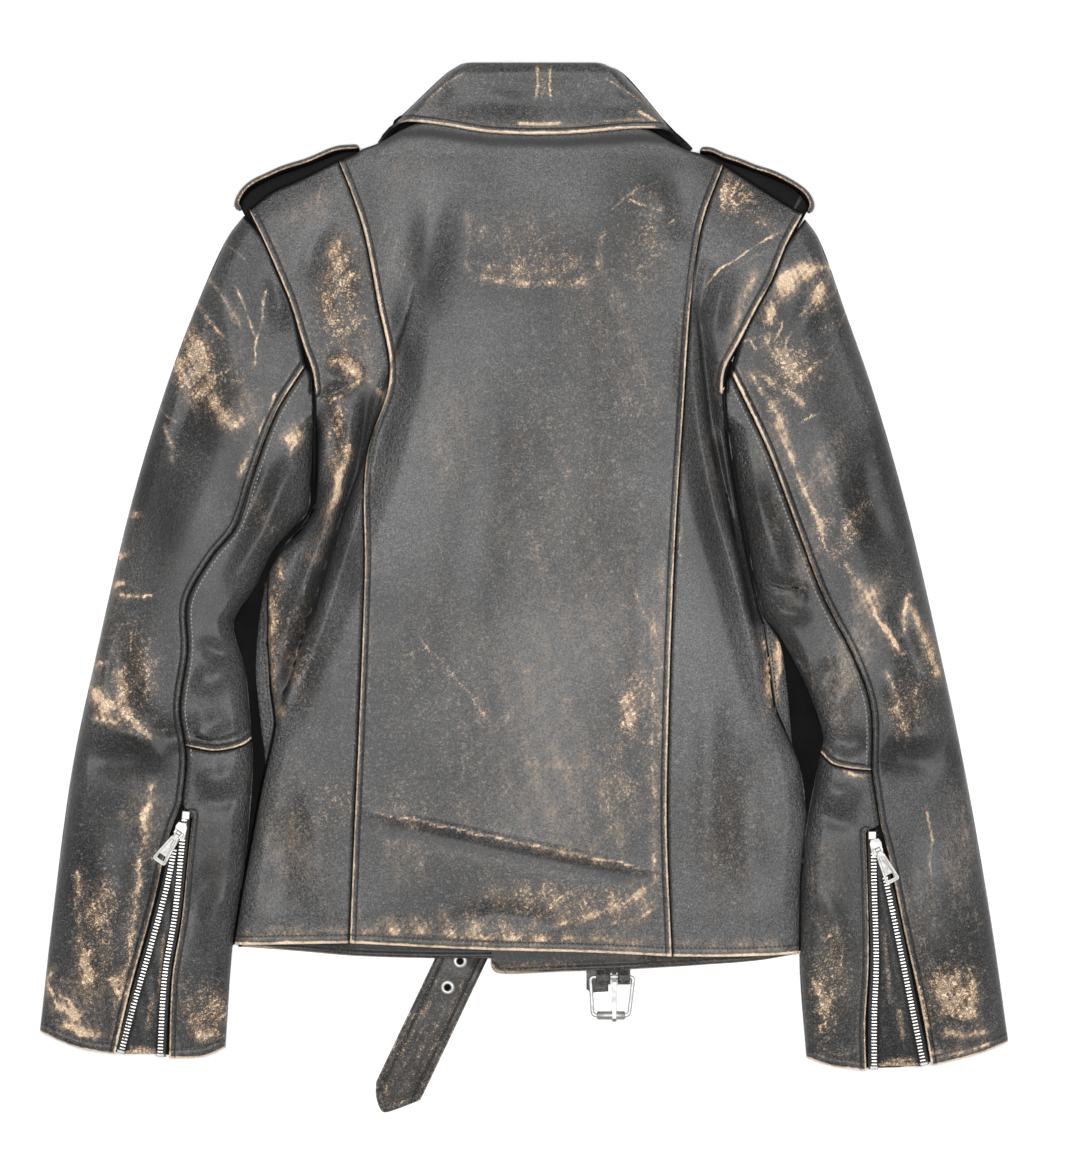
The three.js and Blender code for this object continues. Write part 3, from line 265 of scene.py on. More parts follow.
# (height, width, path); the part's solids have the same ones, softer
BODY_FOLDS = [
    (4, 12, [(-76, 290), (-88, 212), (-102, 160), (-117, 100), (-138, 40), (-158, -30), (-180, -90)]),
    (-6, 7, [(-122, 175), (-127, 129), (-133, 90), (-146, 45), (-162, -2), (-178, -50), (-194, -100)]),
    (3.2, 7, [(-128, 150), (-139, 113), (-147, 79), (-157, 41), (-169, 14), (-182, -20), (-190, -60)]),
    (4, 10, [(124, 220), (131, 174), (139, 113), (150, 62), (166, 10), (180, -54), (196, -130)]),
    (-5, 6, [(140, 215), (143, 180), (149, 129), (157, 88), (169, 38), (181, -20)]),
    (1.0, 3.6, [(-150, -170), (-85, -182), (-4, -200), (56, -212), (135, -228)]),
    (-0.6, 7, [(-140, -184), (-80, -192), (0, -210), (60, -222), (125, -235)]),
    (-1.8, 26, [(-40, 235), (-30, 120), (-46, -20), (-60, -150)]),
    (1.5, 30, [(30, 300), (42, 180), (36, 40), (20, -120)]),
    (1.8, 14, [(-165, 300), (-150, 250), (-140, 200)]),
    # the shadowed hollow between the shoulder blade and the left fold
    (-2.6, 15, [(-60, 334), (-70, 300), (-77, 262), (-82, 232), (-92, 196), (-110, 146)]),
    (-1.6, 9, [(-150, 300), (-165, 270), (-172, 240)]),
    (-2.2, 8, [(148, 268), (141, 235), (139, 205)]),
    (1.4, 8, [(163, 262), (152, 225), (148, 196)]),
    (-2.0, 7, [(-160, 152), (-150, 120), (-152, 86)]),
    (2.0, 6, [(-157, 182), (-140, 176), (-124, 164)]),
    (1.4, 5, [(-160, 150), (-145, 158), (-130, 168)]),
    (-0.8, 12, [(96, 60), (92, -20), (98, -110)]),
    (1.3, 12, [(150, -60), (146, -150), (150, -250)]),
    (-1.3, 14, [(180, -110), (176, -190), (186, -262)]),
    (1.2, 14, [(-170, -130), (-164, -200), (-172, -262)]),
    (-1.2, 12, [(-196, -170), (-190, -220), (-196, -264)]),
    (-1.2, 7, [(-60, -262), (-20, -256), (30, -262)]),
    (0.8, 12, [(96, 330), (112, 300), (120, 262)]),
    (-1.0, 14, [(122, 335), (124, 300), (118, 270)]),
]
# (height, width, fall, path): a bulge on the left-hand side of its path that falls off steeply on the right
BODY_LEDGES = [
    (5.0, 14, 3.4, [(-84, 250), (-88, 223), (-101, 183), (-111, 151), (-117.5, 129), (-124, 106), (-137, 71),
                    (-149, 35), (-161, -4), (-171, -35), (-182, -70), (-192, -100), (-200, -126)]),
    (3.4, 12, 3.6, [(205, -128), (197, -95), (187, -59), (180, -29), (173, 5), (164, 38), (155, 71),
                    (147, 112), (141, 160), (136, 205), (133, 232)]),
]
SLEEVE_FOLDS = {
    "left": [
        (3, 22, [(-205, 240), (-222, 160), (-246, 90), (-272, 30), (-296, -40)]),
        (4.0, 9, [(-178, 122), (-184, 96), (-193, 78), (-207, 44), (-226, 12), (-236, -8)]),
        (-2.2, 7, [(-196, 112), (-206, 84), (-217, 60), (-232, 34)]),
        (-3, 10, [(-300, -100), (-280, -118), (-252, -112), (-225, -96)]),
        (-3.4, 12, [(-356, -131), (-320, -136), (-277, -131)]),
        (2.5, 10, [(-228, -60), (-248, -72), (-262, -66)]),
        (-2.4, 7, [(-222, -46), (-240, -50), (-262, -40)]),
        (2.2, 9, [(-222, -140), (-240, -150), (-262, -148)]),
        (-2.0, 8, [(-220, -160), (-240, -168), (-262, -164)]),
        (2.5, 24, [(-345, -170), (-330, -240), (-340, -320)]),
        (-1.6, 12, [(-300, -180), (-306, -240), (-330, -300)]),
        (1.6, 10, [(-300, -30), (-300, -70), (-292, -104)]),
        (-2.0, 10, [(-316, -20), (-318, -70), (-310, -104)]),
        (1.8, 10, [(-334, 0), (-336, -50), (-340, -100)]),
        (1.8, 9, [(-240, 262), (-236, 220), (-228, 170)]),
        (-1.8, 11, [(-256, 210), (-262, 150), (-280, 96)]),
        (-2.2, 8, [(-200, 262), (-194, 232), (-190, 200)]),
        (1.5, 8, [(-226, -230), (-244, -252), (-256, -290)]),
        (-1.4, 8, [(-236, -210), (-258, -240), (-262, -280)]),
        (1.4, 6, [(-352, -120), (-320, -112), (-290, -120)]),
    ],
    "right": [
        (3, 20, [(215, 240), (230, 150), (252, 70), (277, -5), (303, -70), (318, -120)]),
        (3.4, 10, [(178, 100), (184, 72), (192, 46), (200, 22), (208, -10)]),
        (-3, 6, [(184, 4), (203, -1), (226, -4)]),
        (2.2, 6, [(188, -12), (206, -18), (230, -22)]),
        (-3, 9, [(236, -112), (256, -122), (274, -118)]),
        (-2.8, 12, [(282, -124), (300, -134), (336, -138)]),
        (2.4, 9, [(226, -150), (243, -160), (268, -166)]),
        (-2.0, 8, [(224, -172), (246, -182), (268, -186)]),
        (2.5, 24, [(340, -180), (330, -250), (346, -320)]),
        (1.8, 8, [(262, -62), (250, -84), (242, -104)]),
        (-2.0, 7, [(246, -50), (238, -72), (232, -96)]),
        (2.2, 8, [(303, -8), (316, -40), (329, -73)]),
        (-2.2, 9, [(286, 0), (300, -38), (314, -84)]),
        (2.0, 7, [(284, -60), (295, -90), (305, -117)]),
        (-1.8, 10, [(262, 120), (270, 70), (290, 20)]),
        (-2.2, 8, [(206, 262), (196, 232), (186, 206)]),
        (1.8, 10, [(236, 262), (226, 226), (214, 190)]),
        (-1.6, 12, [(300, -180), (312, -240), (334, -300)]),
        (1.5, 8, [(232, -230), (246, -260), (258, -300)]),
        (1.6, 7, [(352, -118), (326, -112), (298, -118)]),
    ],
}
SLEEVE_LEDGES = {
    "left": [(2.2, 9, 3.0, [(-262, -112), (-244, -116), (-222, -110)])],
    "right": [(2.0, 8, 3.0, [(226, -3), (206, 0), (186, 5)])],
}


def ledge_height(ledges, x, y):
    """Slack cloth that hangs over a steep step."""
    total = np.zeros(np.shape(x))
    for height, width, fall, path in ledges:
        line = polyline(path)
        far, place, side = nearest_side(line, x, y, 3 * width)
        fade = smooth(0, 0.16, place) * smooth(1, 0.86, place)
        bulge = np.exp(-((far / width) ** 2))
        step = 1 - smooth(0, fall, far)
        hollow = -0.55 * smooth(0, fall, far) * np.exp(-(((far - fall) / (0.6 * width)) ** 2))
        shape = np.where(side >= 0, bulge, step + hollow)
        total += height * fade * shape * (far < 3 * width)
    return total


def nearest_side(line, x, y, reach):
    """As nearest, with +1 on the left-hand side of the line and -1 on its right."""
    far, place = nearest(line, x, y, reach)
    run = np.linspace(0, 1, len(line))
    step = 0.5 / (len(line) - 1)
    ax = np.interp(place - step, run, line[:, 0])
    ay = np.interp(place - step, run, line[:, 1])
    bx = np.interp(place + step, run, line[:, 0])
    by = np.interp(place + step, run, line[:, 1])
    cross = (bx - ax) * (y - (ay + by) / 2) - (by - ay) * (x - (ax + bx) / 2)
    return far, place, np.where(cross >= 0, 1.0, -1.0)

# ------------------------------------------------------------------ the body's calm surface

SIDE_X = {side: outline_x(SIDE[side]) for side in SIDES}
SHOULDER_PAIRS = {side: sorted(SHOULDER[side]) for side in SIDES}


def fade_at_armpit(y):
    """Above the armpit the sides are sewn to the sleeves and no longer rolled."""
    return np.maximum(0, y - (ARMPIT_Y - 30))


def side_edge_z(y):
    """The body's side edge stands higher where the front's strip shows beyond it."""
    return EDGE_Z + 3.4 * smooth(-140, -110, y) * smooth(40, 0, y)


def body_height(x, y):
    from_left = np.maximum(0, x - SIDE_X["left"](y)) + fade_at_armpit(y)
    from_right = np.maximum(0, SIDE_X["right"](y) - x) + fade_at_armpit(y)
    sides = round_in(from_left, ROLL) * round_in(from_right, ROLL)
    shoulder_y = np.where(x < 0, read(SHOULDER_PAIRS["left"], x), read(SHOULDER_PAIRS["right"], x))
    droop = SHOULDER_DROOP * smooth(130, 175, np.abs(x))
    shoulder = mix(1 - droop, 1, round_in(np.maximum(0, shoulder_y - y), 24))
    full = read(BODY_HEIGHT, y) + FOLD_DEPTH * fold_height(BODY_FOLDS, x, y) + ledge_height(BODY_LEDGES, x, y)
    edge = side_edge_z(y)
    return edge + (full - edge) * sides * shoulder

# ------------------------------------------------------------------ sewn edges

EDGE_REACH = 16         # how far from an edge its relief and wear go
EDGE_END = 15.9         # just inside that, where the wear is cut off
SHADE_REACH = 9         # how far its shade goes
WELT = 0.9              # how far a folded and stitched edge stands up
LIP = 1.5               # how far its rounded rim turns down
TUCK = 1.1              # how far the panel beside it dips under


def edge_relief(edges, x, y):
    """What the seams do to a panel's surface. Kinds that change it: over, under and hem."""
    total = np.zeros(np.shape(x))
    for kind, line, *_ in edges:
        far, _ = nearest(line, x, y, EDGE_REACH)
        if kind == "over":
            total += WELT * smooth(0, 1.2, far) * (1 - smooth(3.4, 6.0, far))
            total -= LIP * (1 - round_in(far, 1.3))
            total -= 0.55 * np.exp(-(((far - STITCH_IN) / 0.9) ** 2))
        elif kind == "under":
            total -= TUCK * (1 - smooth(0, 3.2, far))
        elif kind == "hem":
            total += 0.5 * smooth(0, 2, far) * (1 - smooth(5, 8.5, far))
            total -= LIP * (1 - round_in(far, 1.6))
            total -= 0.5 * np.exp(-(((far - HEM_STITCH_IN) / 1.0) ** 2))
    return total


def ripple(x, y):
    """A smooth irregular value about 0, for rims and strokes that aren't rubbed evenly."""
    return (0.5 * np.sin(0.21 * x + 0.13 * y + 1.7) + 0.35 * np.sin(0.43 * y - 0.24 * x)
            + 0.3 * np.sin(0.83 * x + 0.61 * y + 0.6) + 0.25 * np.sin(1.31 * y - 0.77 * x + 2.2))


def wobbled(x, y):
    """Points pushed about a little, so that a stroke's outline is ragged."""
    across = (0.8 * np.sin(0.19 * y + 0.11 * x) + 0.3 * np.sin(0.87 * y - 0.41 * x + 1.0)
              + 0.2 * np.sin(1.9 * y + x))
    along = (0.8 * np.sin(0.17 * x - 0.13 * y + 2.0) + 0.3 * np.sin(0.93 * x + 0.37 * y)
             + 0.2 * np.sin(2.1 * x - y))
    return x + across, y + along


def rim_at(line, marks, x, y):
    """The distance to a rim, with the strength and width of its wear at the nearest place."""
    far, place = nearest(line, x, y, EDGE_REACH)
    places, strengths, widths = np.transpose(marks)
    return far, np.interp(place, places, strengths), np.interp(place, places, widths)


def edge_wear(edges, x, y):
    """The rubbed rims: strength and width of each come from its own list of [share, strength, width]."""
    total = np.zeros(np.shape(x))
    for _, line, marks in edges:
        if not marks:
            continue
        far, strength, width = rim_at(line, marks, x, y)
        rough = 0.82 + 0.26 * ripple(x, y)
        rim = strength * rough * (1 - smooth(0.5 * width * rough, 1.25 * width * rough + 0.5, far))
        beside = 0.36 * strength * np.exp(-(((far - STITCH_IN - 1.2) / 2.8) ** 2)) * (width > 1.5)
        total = np.maximum(total, np.maximum(rim, beside) * (far < EDGE_END))
    return total


def edge_rim(edges, x, y):
    """The bare crest of each folded rim, from the same lists as edge_wear's."""
    total = np.zeros(np.shape(x))
    for _, line, marks in edges:
        if not marks:
            continue
        far, strength, width = rim_at(line, marks, x, y)
        crest = strength * (0.92 + 0.14 * ripple(x, y)) * (1 - smooth(0.50 * width, 0.92 * width + 0.4, far))
        total = np.maximum(total, crest * (far < EDGE_END))
    return total


def edge_shade(edges, x, y):
    """Painted shade: the dark line where a panel goes under its neighbour, along the neck and shoulder edges,
    and in the stitch grooves.
    """
    total = np.zeros(np.shape(x))
    for kind, line, *_ in edges:
        far, _ = nearest(line, x, y, SHADE_REACH)
        if kind == "under":
            total = np.maximum(total, 1 - smooth(0.6, 2.6, far))
        elif kind == "dark":
            total = np.maximum(total, 1 - smooth(0.8, 4.0, far))
        elif kind == "over":
            total = np.maximum(total, 0.6 * np.exp(-(((far - STITCH_IN) / 0.8) ** 2)))
        elif kind == "hem":
            total = np.maximum(total, 0.5 * np.exp(-(((far - HEM_STITCH_IN) / 0.9) ** 2)))
    return total

# ------------------------------------------------------------------ grids


def spread(size, low, high, middle):
    """Distances across a panel: fine steps at both edges, even ones between them."""
    low = np.asarray(low, float)
    high = np.asarray(high, float)
    shrink = min(1.0, 0.45 * size / max(low[-1] + high[-1], 1e-6) * 2)
    low = low * shrink
    high = high * shrink
    inner = np.linspace(low[-1], size - high[-1], middle + 2)[1:-1]
    return np.concatenate([low, inner, size - high[::-1]]) / size


def filled(u, v, left, right, low, high, ends):
    """A patch between four edges. ends are its corners: low left and right, high left and right."""
    return ((1 - u) * left + u * right + (1 - v) * low + v * high - (1 - u) * (1 - v) * ends[0]
            - u * (1 - v) * ends[1] - (1 - u) * v * ends[2] - u * v * ends[3])


def panel_grid(left, right, bottom, top, low=SEWN, high=SEWN, foot=SEWN, head=SEWN, step=GRID):
    """A grid of points between four lines. Rows run from bottom to top, columns from left to right."""
    height = max(lengths_of(at_share(side, np.linspace(0, 1, 60)))[-1] for side in (left, right))
    rows = max(3, int((height - foot[-1] - head[-1]) / step))
    v = spread(height, foot, head, rows)
    first, last = at_share(left, v), at_share(right, v)
    widths = np.linalg.norm(last - first, axis=1)
    columns = max(2, int((widths.max() - low[-1] - high[-1]) / step))
    u = np.array([spread(w, low, high, columns) for w in widths])
    ends = [bottom[0], bottom[-1], top[0], top[-1]]
    return filled(u[:, :, None], v[:, None, None], first[:, None], last[:, None], at_share(bottom, u),
                  at_share(top, u), ends)


def draw_in(grid, right=SEAM_GAP, bottom=0.0, top=0.0):
    """Draws a grid's left column, and its other sides where a gap is given, in from their seams."""
    out = grid.copy()
    for gap, edge, inner in ((SEAM_GAP, np.s_[:, 0], np.s_[:, 3]), (right, np.s_[:, -1], np.s_[:, -4]),
                             (bottom, np.s_[0], np.s_[3]), (top, np.s_[-1], np.s_[-4])):
        if gap:
            way = grid[inner] - grid[edge]
            out[edge] += gap * way / np.maximum(np.linalg.norm(way, axis=-1, keepdims=True), 1e-6)
    return out

# ------------------------------------------------------------------ meshes

PIECES = {}             # every new piece, by name
RIDES = {}              # the bodies of the pieces that aren't on the jacket
INNER_STEP = 4          # the inner face of a wall has every fourth line of the outer one


def add_mesh(name, points, faces, materials, slots=None, marks=None, flat=False):
    """A mesh object from points in millimetres and arrays of faces."""
    mesh = bpy.data.meshes.new(name)
    faces = [np.asarray(f, dtype=np.int32) for f in faces if len(f)]
    corners = np.concatenate([f.ravel() for f in faces])
    totals = np.concatenate([np.full(len(f), f.shape[1], dtype=np.int32) for f in faces])
    mesh.vertices.add(len(points))
    mesh.vertices.foreach_set("co", (np.asarray(points, dtype=np.float64) * MM).astype(np.float32).ravel())
    mesh.loops.add(len(corners))
    mesh.loops.foreach_set("vertex_index", corners)
    mesh.polygons.add(len(totals))
    mesh.polygons.foreach_set("loop_start", np.concatenate([[0], np.cumsum(totals)[:-1]]).astype(np.int32))
    mesh.update(calc_edges=True)
    for material in materials:
        mesh.materials.append(material)
    if slots is not None:
        mesh.polygons.foreach_set("material_index", np.asarray(slots, dtype=np.int32))
    mesh.polygons.foreach_set("use_smooth", np.full(len(totals), not flat))
    for key, values in (marks or {}).items():
        layer = mesh.attributes.new(key, "FLOAT", "POINT")
        layer.data.foreach_set("value", np.asarray(values, dtype=np.float32).ravel())
    mesh.validate()
    piece = bpy.data.objects.new(name, mesh)
    bpy.context.scene.collection.objects.link(piece)
    PIECES[name] = piece
    return piece


def grid_quads(index):
    """The quads of a grid of point numbers."""
    return np.stack([index[:-1, :-1], index[:-1, 1:], index[1:, 1:], index[1:, :-1]], -1).reshape(-1, 4)


def ring_quads(index):
    """The quads between closed rings of point numbers, one ring to a row."""
    following = np.roll(index, -1, axis=1)
    return np.stack([index[:-1], following[:-1], following[1:], index[1:]], -1).reshape(-1, 4)


def corner_ways(outline):
    """At each corner of a closed outline, the direction square to it: the left-hand side of the way round."""
    ahead = unit(np.roll(outline, -1, axis=0) - outline)
    behind = unit(outline - np.roll(outline, 1, axis=0))
    return unit((ahead + behind)[:, ::-1] * (-1, 1))


def add_shell(name, outer, thickness, materials, marks=None, inner_step=INNER_STEP, holes=None, facing=None):
    """A closed wall behind a grid of outer points. materials are the outer and the inner face's.
    facing picks rows and columns of the grid that face up; the rest follows from them."""
    rows, columns = outer.shape[:2]
    normal = unit(np.cross(np.gradient(outer, axis=1), np.gradient(outer, axis=0)))
    facing = facing or np.s_[:, :max(3, columns // 3)]
    turned = normal[facing][..., 2].mean() < 0
    if turned:
        normal = -normal
    ri = np.unique(np.append(np.arange(0, rows, inner_step), rows - 1))
    ci = np.unique(np.append(np.arange(0, columns, inner_step), columns - 1))
    inner = (outer - normal * thickness)[np.ix_(ri, ci)]
    inner[..., 2] = np.maximum(inner[..., 2], 0.05)
    points = np.vstack([outer.reshape(-1, 3), inner.reshape(-1, 3)])
    index = np.arange(rows * columns).reshape(rows, columns)
    below = rows * columns + np.arange(len(ri) * len(ci)).reshape(len(ri), len(ci))
    top = grid_quads(index)
    bottom = grid_quads(below)[:, [0, 3, 2, 1]]
    walls = []
    if holes is not None:
        kept = ~holes(points[top].mean(axis=1)).reshape(rows - 1, columns - 1)
        walls += hole_walls(kept, index, below)
        top, bottom = top[kept.ravel()], bottom[kept.ravel()]
    for line, back, keys, forward in ((index[0], below[0], ci, True), (index[-1], below[-1], ci, False),
                                      (index[:, 0], below[:, 0], ri, False),
                                      (index[:, -1], below[:, -1], ri, True)):
        for k in range(len(keys) - 1):
            start, stop = keys[k], keys[k + 1]
            middle = (start + stop) // 2
            fan = [(line[j], line[j + 1], back[k] if j < middle else back[k + 1]) for j in range(start, stop)]
            fan.append((line[middle], back[k + 1], back[k]))
            walls += [f[::-1] for f in fan] if forward else fan
    faces = [top, bottom, np.array(walls)]
    if turned:
        faces = [f[:, ::-1] for f in faces]
    slots = np.concatenate([np.zeros(len(top)), np.ones(len(bottom)), np.zeros(len(walls))])
    full = {}
    for key, values in (marks or {}).items():
        full[key] = np.concatenate([values.ravel(), values[np.ix_(ri, ci)].ravel()])
    return add_mesh(name, points, faces, materials, slots, full)


def hole_walls(kept, index, below):
    """The walls of the holes in a grid, as triangles. The inner face has every line of the outer one."""
    walls = []
    open_cells = np.argwhere(~kept)
    for i, j in open_cells:
        for di, dj, a, b in ((-1, 0, (i, j), (i, j + 1)), (1, 0, (i + 1, j + 1), (i + 1, j)),
                             (0, -1, (i + 1, j), (i, j)), (0, 1, (i, j + 1), (i + 1, j + 1))):
            ni, nj = i + di, j + dj
            if 0 <= ni < kept.shape[0] and 0 <= nj < kept.shape[1] and kept[ni, nj]:
                walls.append((index[a], index[b], below[b]))
                walls.append((index[a], below[b], below[a]))
    return walls


def add_sweep(name, path, section, materials, closed=False, marks=None):
    """A closed section, [sideways, up], swept along a path of [x, y, z] points that lies nearly flat."""
    path = np.asarray(path, float)
    ahead = np.roll(path, -1, axis=0) if closed else np.vstack([path[1:], path[-1:]])
    behind = np.roll(path, 1, axis=0) if closed else np.vstack([path[:1], path[:-1]])
    way = unit(ahead - behind)
    sideways = unit(np.stack([-way[:, 1], way[:, 0], np.zeros(len(way))], axis=1))
    up = np.cross(way, sideways)
    section = np.asarray(section, float)
    if section.ndim == 2:
        section = np.repeat(section[None], len(path), axis=0)
    points = path[:, None] + sideways[:, None] * section[..., :1] + up[:, None] * section[..., 1:]
    rows, columns = points.shape[:2]
    index = np.arange(rows * columns).reshape(rows, columns)
    ahead = np.roll(index, -1, axis=1)
    if closed:
        other = np.roll(index, -1, axis=0)
        quads = np.stack([index, other, np.roll(other, -1, axis=1), ahead], -1).reshape(-1, 4)
        faces = [quads]
    else:
        quads = np.stack([index[:-1], index[1:], ahead[1:], ahead[:-1]], -1).reshape(-1, 4)
        faces = [quads, index[:1, ::-1], index[-1:]]
    return add_mesh(name, points.reshape(-1, 3), faces, materials, marks=marks)


def copies(shape, faces, places):
    """Many copies of one small shape. places are (origin, x axis, y axis, z axis) rows."""
    shape = np.asarray(shape, float)
    points = []
    for origin, ax, ay, az in places:
        points.append(origin + shape[:, :1] * ax + shape[:, 1:2] * ay + shape[:, 2:3] * az)
    count = len(shape)
    shifted = [np.concatenate([f + k * count for k in range(len(places))]) for f in faces]
    return np.vstack(points), shifted


def rounded_block(size, bevel):
    """A box with bevelled edges, as (points, faces), centred on its base."""
    sx, sy, sz = size
    cut = bevel * 0.8
    points = []
    for z, shrink in [(0, bevel), (bevel, 0), (sz - bevel, 0), (sz, bevel)]:
        hx, hy = sx / 2 - shrink, sy / 2 - shrink
        ring = [(hx, -hy + cut), (hx, hy - cut), (hx - cut, hy), (-hx + cut, hy), (-hx, hy - cut),
                (-hx, -hy + cut), (-hx + cut, -hy), (hx - cut, -hy)]
        points += [(x, y, z) for x, y in ring]
    index = np.arange(len(points)).reshape(-1, 8)
    return np.array(points), [ring_quads(index), np.array([index[0, ::-1], index[-1]])]


def capsule(length, wide, high):
    """A stitch: a flattened capsule along X, as (points, faces)."""
    around, along = 6, 5
    points = [(-length / 2, 0, 0)]
    for k in range(1, along):
        t = k / along
        grow = math.sqrt(max(0.0, 1 - (2 * t - 1) ** 4))
        for j in range(around):
            angle = 2 * math.pi * j / around
            points.append((length * (t - 0.5), wide / 2 * grow * math.cos(angle),
                           high * grow * math.sin(angle)))
    points.append((length / 2, 0, 0))
    last = len(points) - 1
    quads, tris = [], []
    for j in range(around):
        k = (j + 1) % around
        tris.append((0, 1 + k, 1 + j))
        tris.append((last, last - around + j, last - around + k))
        for ring in range(along - 2):
            a = 1 + ring * around
            quads.append((a + j, a + k, a + around + k, a + around + j))
    return np.array(points), [np.array(quads), np.array(tris)]


def lathe(profile, segments=40):
    """Turns a closed profile of [radius, height] about Z, as (points, faces)."""
    profile = np.asarray(profile, float)
    angle = np.linspace(0, 2 * math.pi, segments, endpoint=False)
    radius = profile[None, :, 0]
    points = np.stack([radius * np.cos(angle)[:, None], radius * np.sin(angle)[:, None],
                       np.broadcast_to(profile[:, 1], (segments, len(profile)))], -1).reshape(-1, 3)
    index = np.arange(segments * len(profile)).reshape(segments, len(profile))
    nxt = np.roll(index, -1, axis=0)
    quads = np.stack([index, nxt, np.roll(nxt, -1, axis=1), np.roll(index, -1, axis=1)], -1).reshape(-1, 4)
    return points, [quads]

# ------------------------------------------------------------------ materials


class Shader:
    """A small helper that makes nodes and links them."""

    def __init__(self, name):
        self.material = bpy.data.materials.new(name)
        self.material.use_nodes = True
        self.tree = self.material.node_tree
        self.tree.nodes.clear()
        self.output = self.tree.nodes.new("ShaderNodeOutputMaterial")
        self.surface = self.tree.nodes.new("ShaderNodeBsdfPrincipled")
        self.tree.links.new(self.surface.outputs[0], self.output.inputs[0])
        self.place = self.tree.nodes.new("ShaderNodeTexCoord").outputs["Object"]

    def put(self, socket, value):
        if isinstance(value, bpy.types.NodeSocket):
            self.tree.links.new(value, socket)
        elif value is not None:
            socket.default_value = value

    def math(self, operation, a, b=None, clamp=False):
        node = self.tree.nodes.new("ShaderNodeMath")
        node.operation = operation
        node.use_clamp = clamp
        for socket, value in zip(node.inputs, (a, b)):
            self.put(socket, value)
        return node.outputs[0]

    def plus(self, a, b, clamp=False):
        return self.math("ADD", a, b, clamp)

    def minus(self, a, b):
        return self.math("SUBTRACT", a, b)

    def times(self, a, b):
        return self.math("MULTIPLY", a, b)

    def ramp(self, value, low, high, to_low=0.0, to_high=1.0):
        node = self.tree.nodes.new("ShaderNodeMapRange")
        node.interpolation_type = "SMOOTHSTEP"
        for key, item in zip(("Value", "From Min", "From Max", "To Min", "To Max"),
                             (value, low, high, to_low, to_high)):
            self.put(node.inputs[key], item)
        return node.outputs[0]

    def mix(self, factor, a, b):
        node = self.tree.nodes.new("ShaderNodeMix")
        node.data_type = "RGBA"
        self.put(node.inputs["Factor"], factor)
        self.put(node.inputs["A"], a)
        self.put(node.inputs["B"], b)
        return node.outputs["Result"]

    def tinted(self, under, amount, strength, tint):
        """A colour with another over it, where amount is high."""
        return self.mix(self.times(amount, strength), under, tint)

    def scaled(self, sizes, turn=(0, 0, 0)):
        node = self.tree.nodes.new("ShaderNodeMapping")
        node.inputs["Scale"].default_value = sizes
        node.inputs["Rotation"].default_value = turn
        self.put(node.inputs["Vector"], self.place)
        return node.outputs[0]

    def noise(self, scale, detail=3.0, rough=0.55, warp=0.0, vector=None):
        node = self.tree.nodes.new("ShaderNodeTexNoise")
        self.put(node.inputs["Vector"], vector or self.place)
        node.inputs["Scale"].default_value = scale
        node.inputs["Detail"].default_value = detail
        node.inputs["Roughness"].default_value = rough
        node.inputs["Distortion"].default_value = warp
        return node.outputs[0]

    def cells(self, scale, vector=None):
        node = self.tree.nodes.new("ShaderNodeTexVoronoi")
        self.put(node.inputs["Vector"], vector or self.place)
        node.inputs["Scale"].default_value = scale
        return node.outputs["Distance"]

    def mark(self, name):
        node = self.tree.nodes.new("ShaderNodeAttribute")
        node.attribute_name = name
        return node.outputs["Fac"]

    def bump(self, height, distance, strength=1.0, normal=None):
        node = self.tree.nodes.new("ShaderNodeBump")
        node.inputs["Distance"].default_value = distance
        node.inputs["Strength"].default_value = strength
        self.put(node.inputs["Height"], height)
        if normal is not None:
            self.put(node.inputs["Normal"], normal)
        return node.outputs[0]

    def set(self, **sockets):
        for key, value in sockets.items():
            self.put(self.surface.inputs[key.replace("_", " ")], value)
        return self.material


CHARCOAL = (0.034, 0.0335, 0.034, 1)
CHARCOAL_LIGHT = (0.070, 0.069, 0.069, 1)
HAZE = (0.165, 0.138, 0.115, 1)
BROWN = (0.270, 0.195, 0.135, 1)
TAN = (0.58, 0.395, 0.250, 1)
SAND = (0.84, 0.620, 0.425, 1)
CREAM = (0.86, 0.690, 0.520, 1)
# the colour of the painted shade
BLACK = (0.003, 0.003, 0.003, 1)


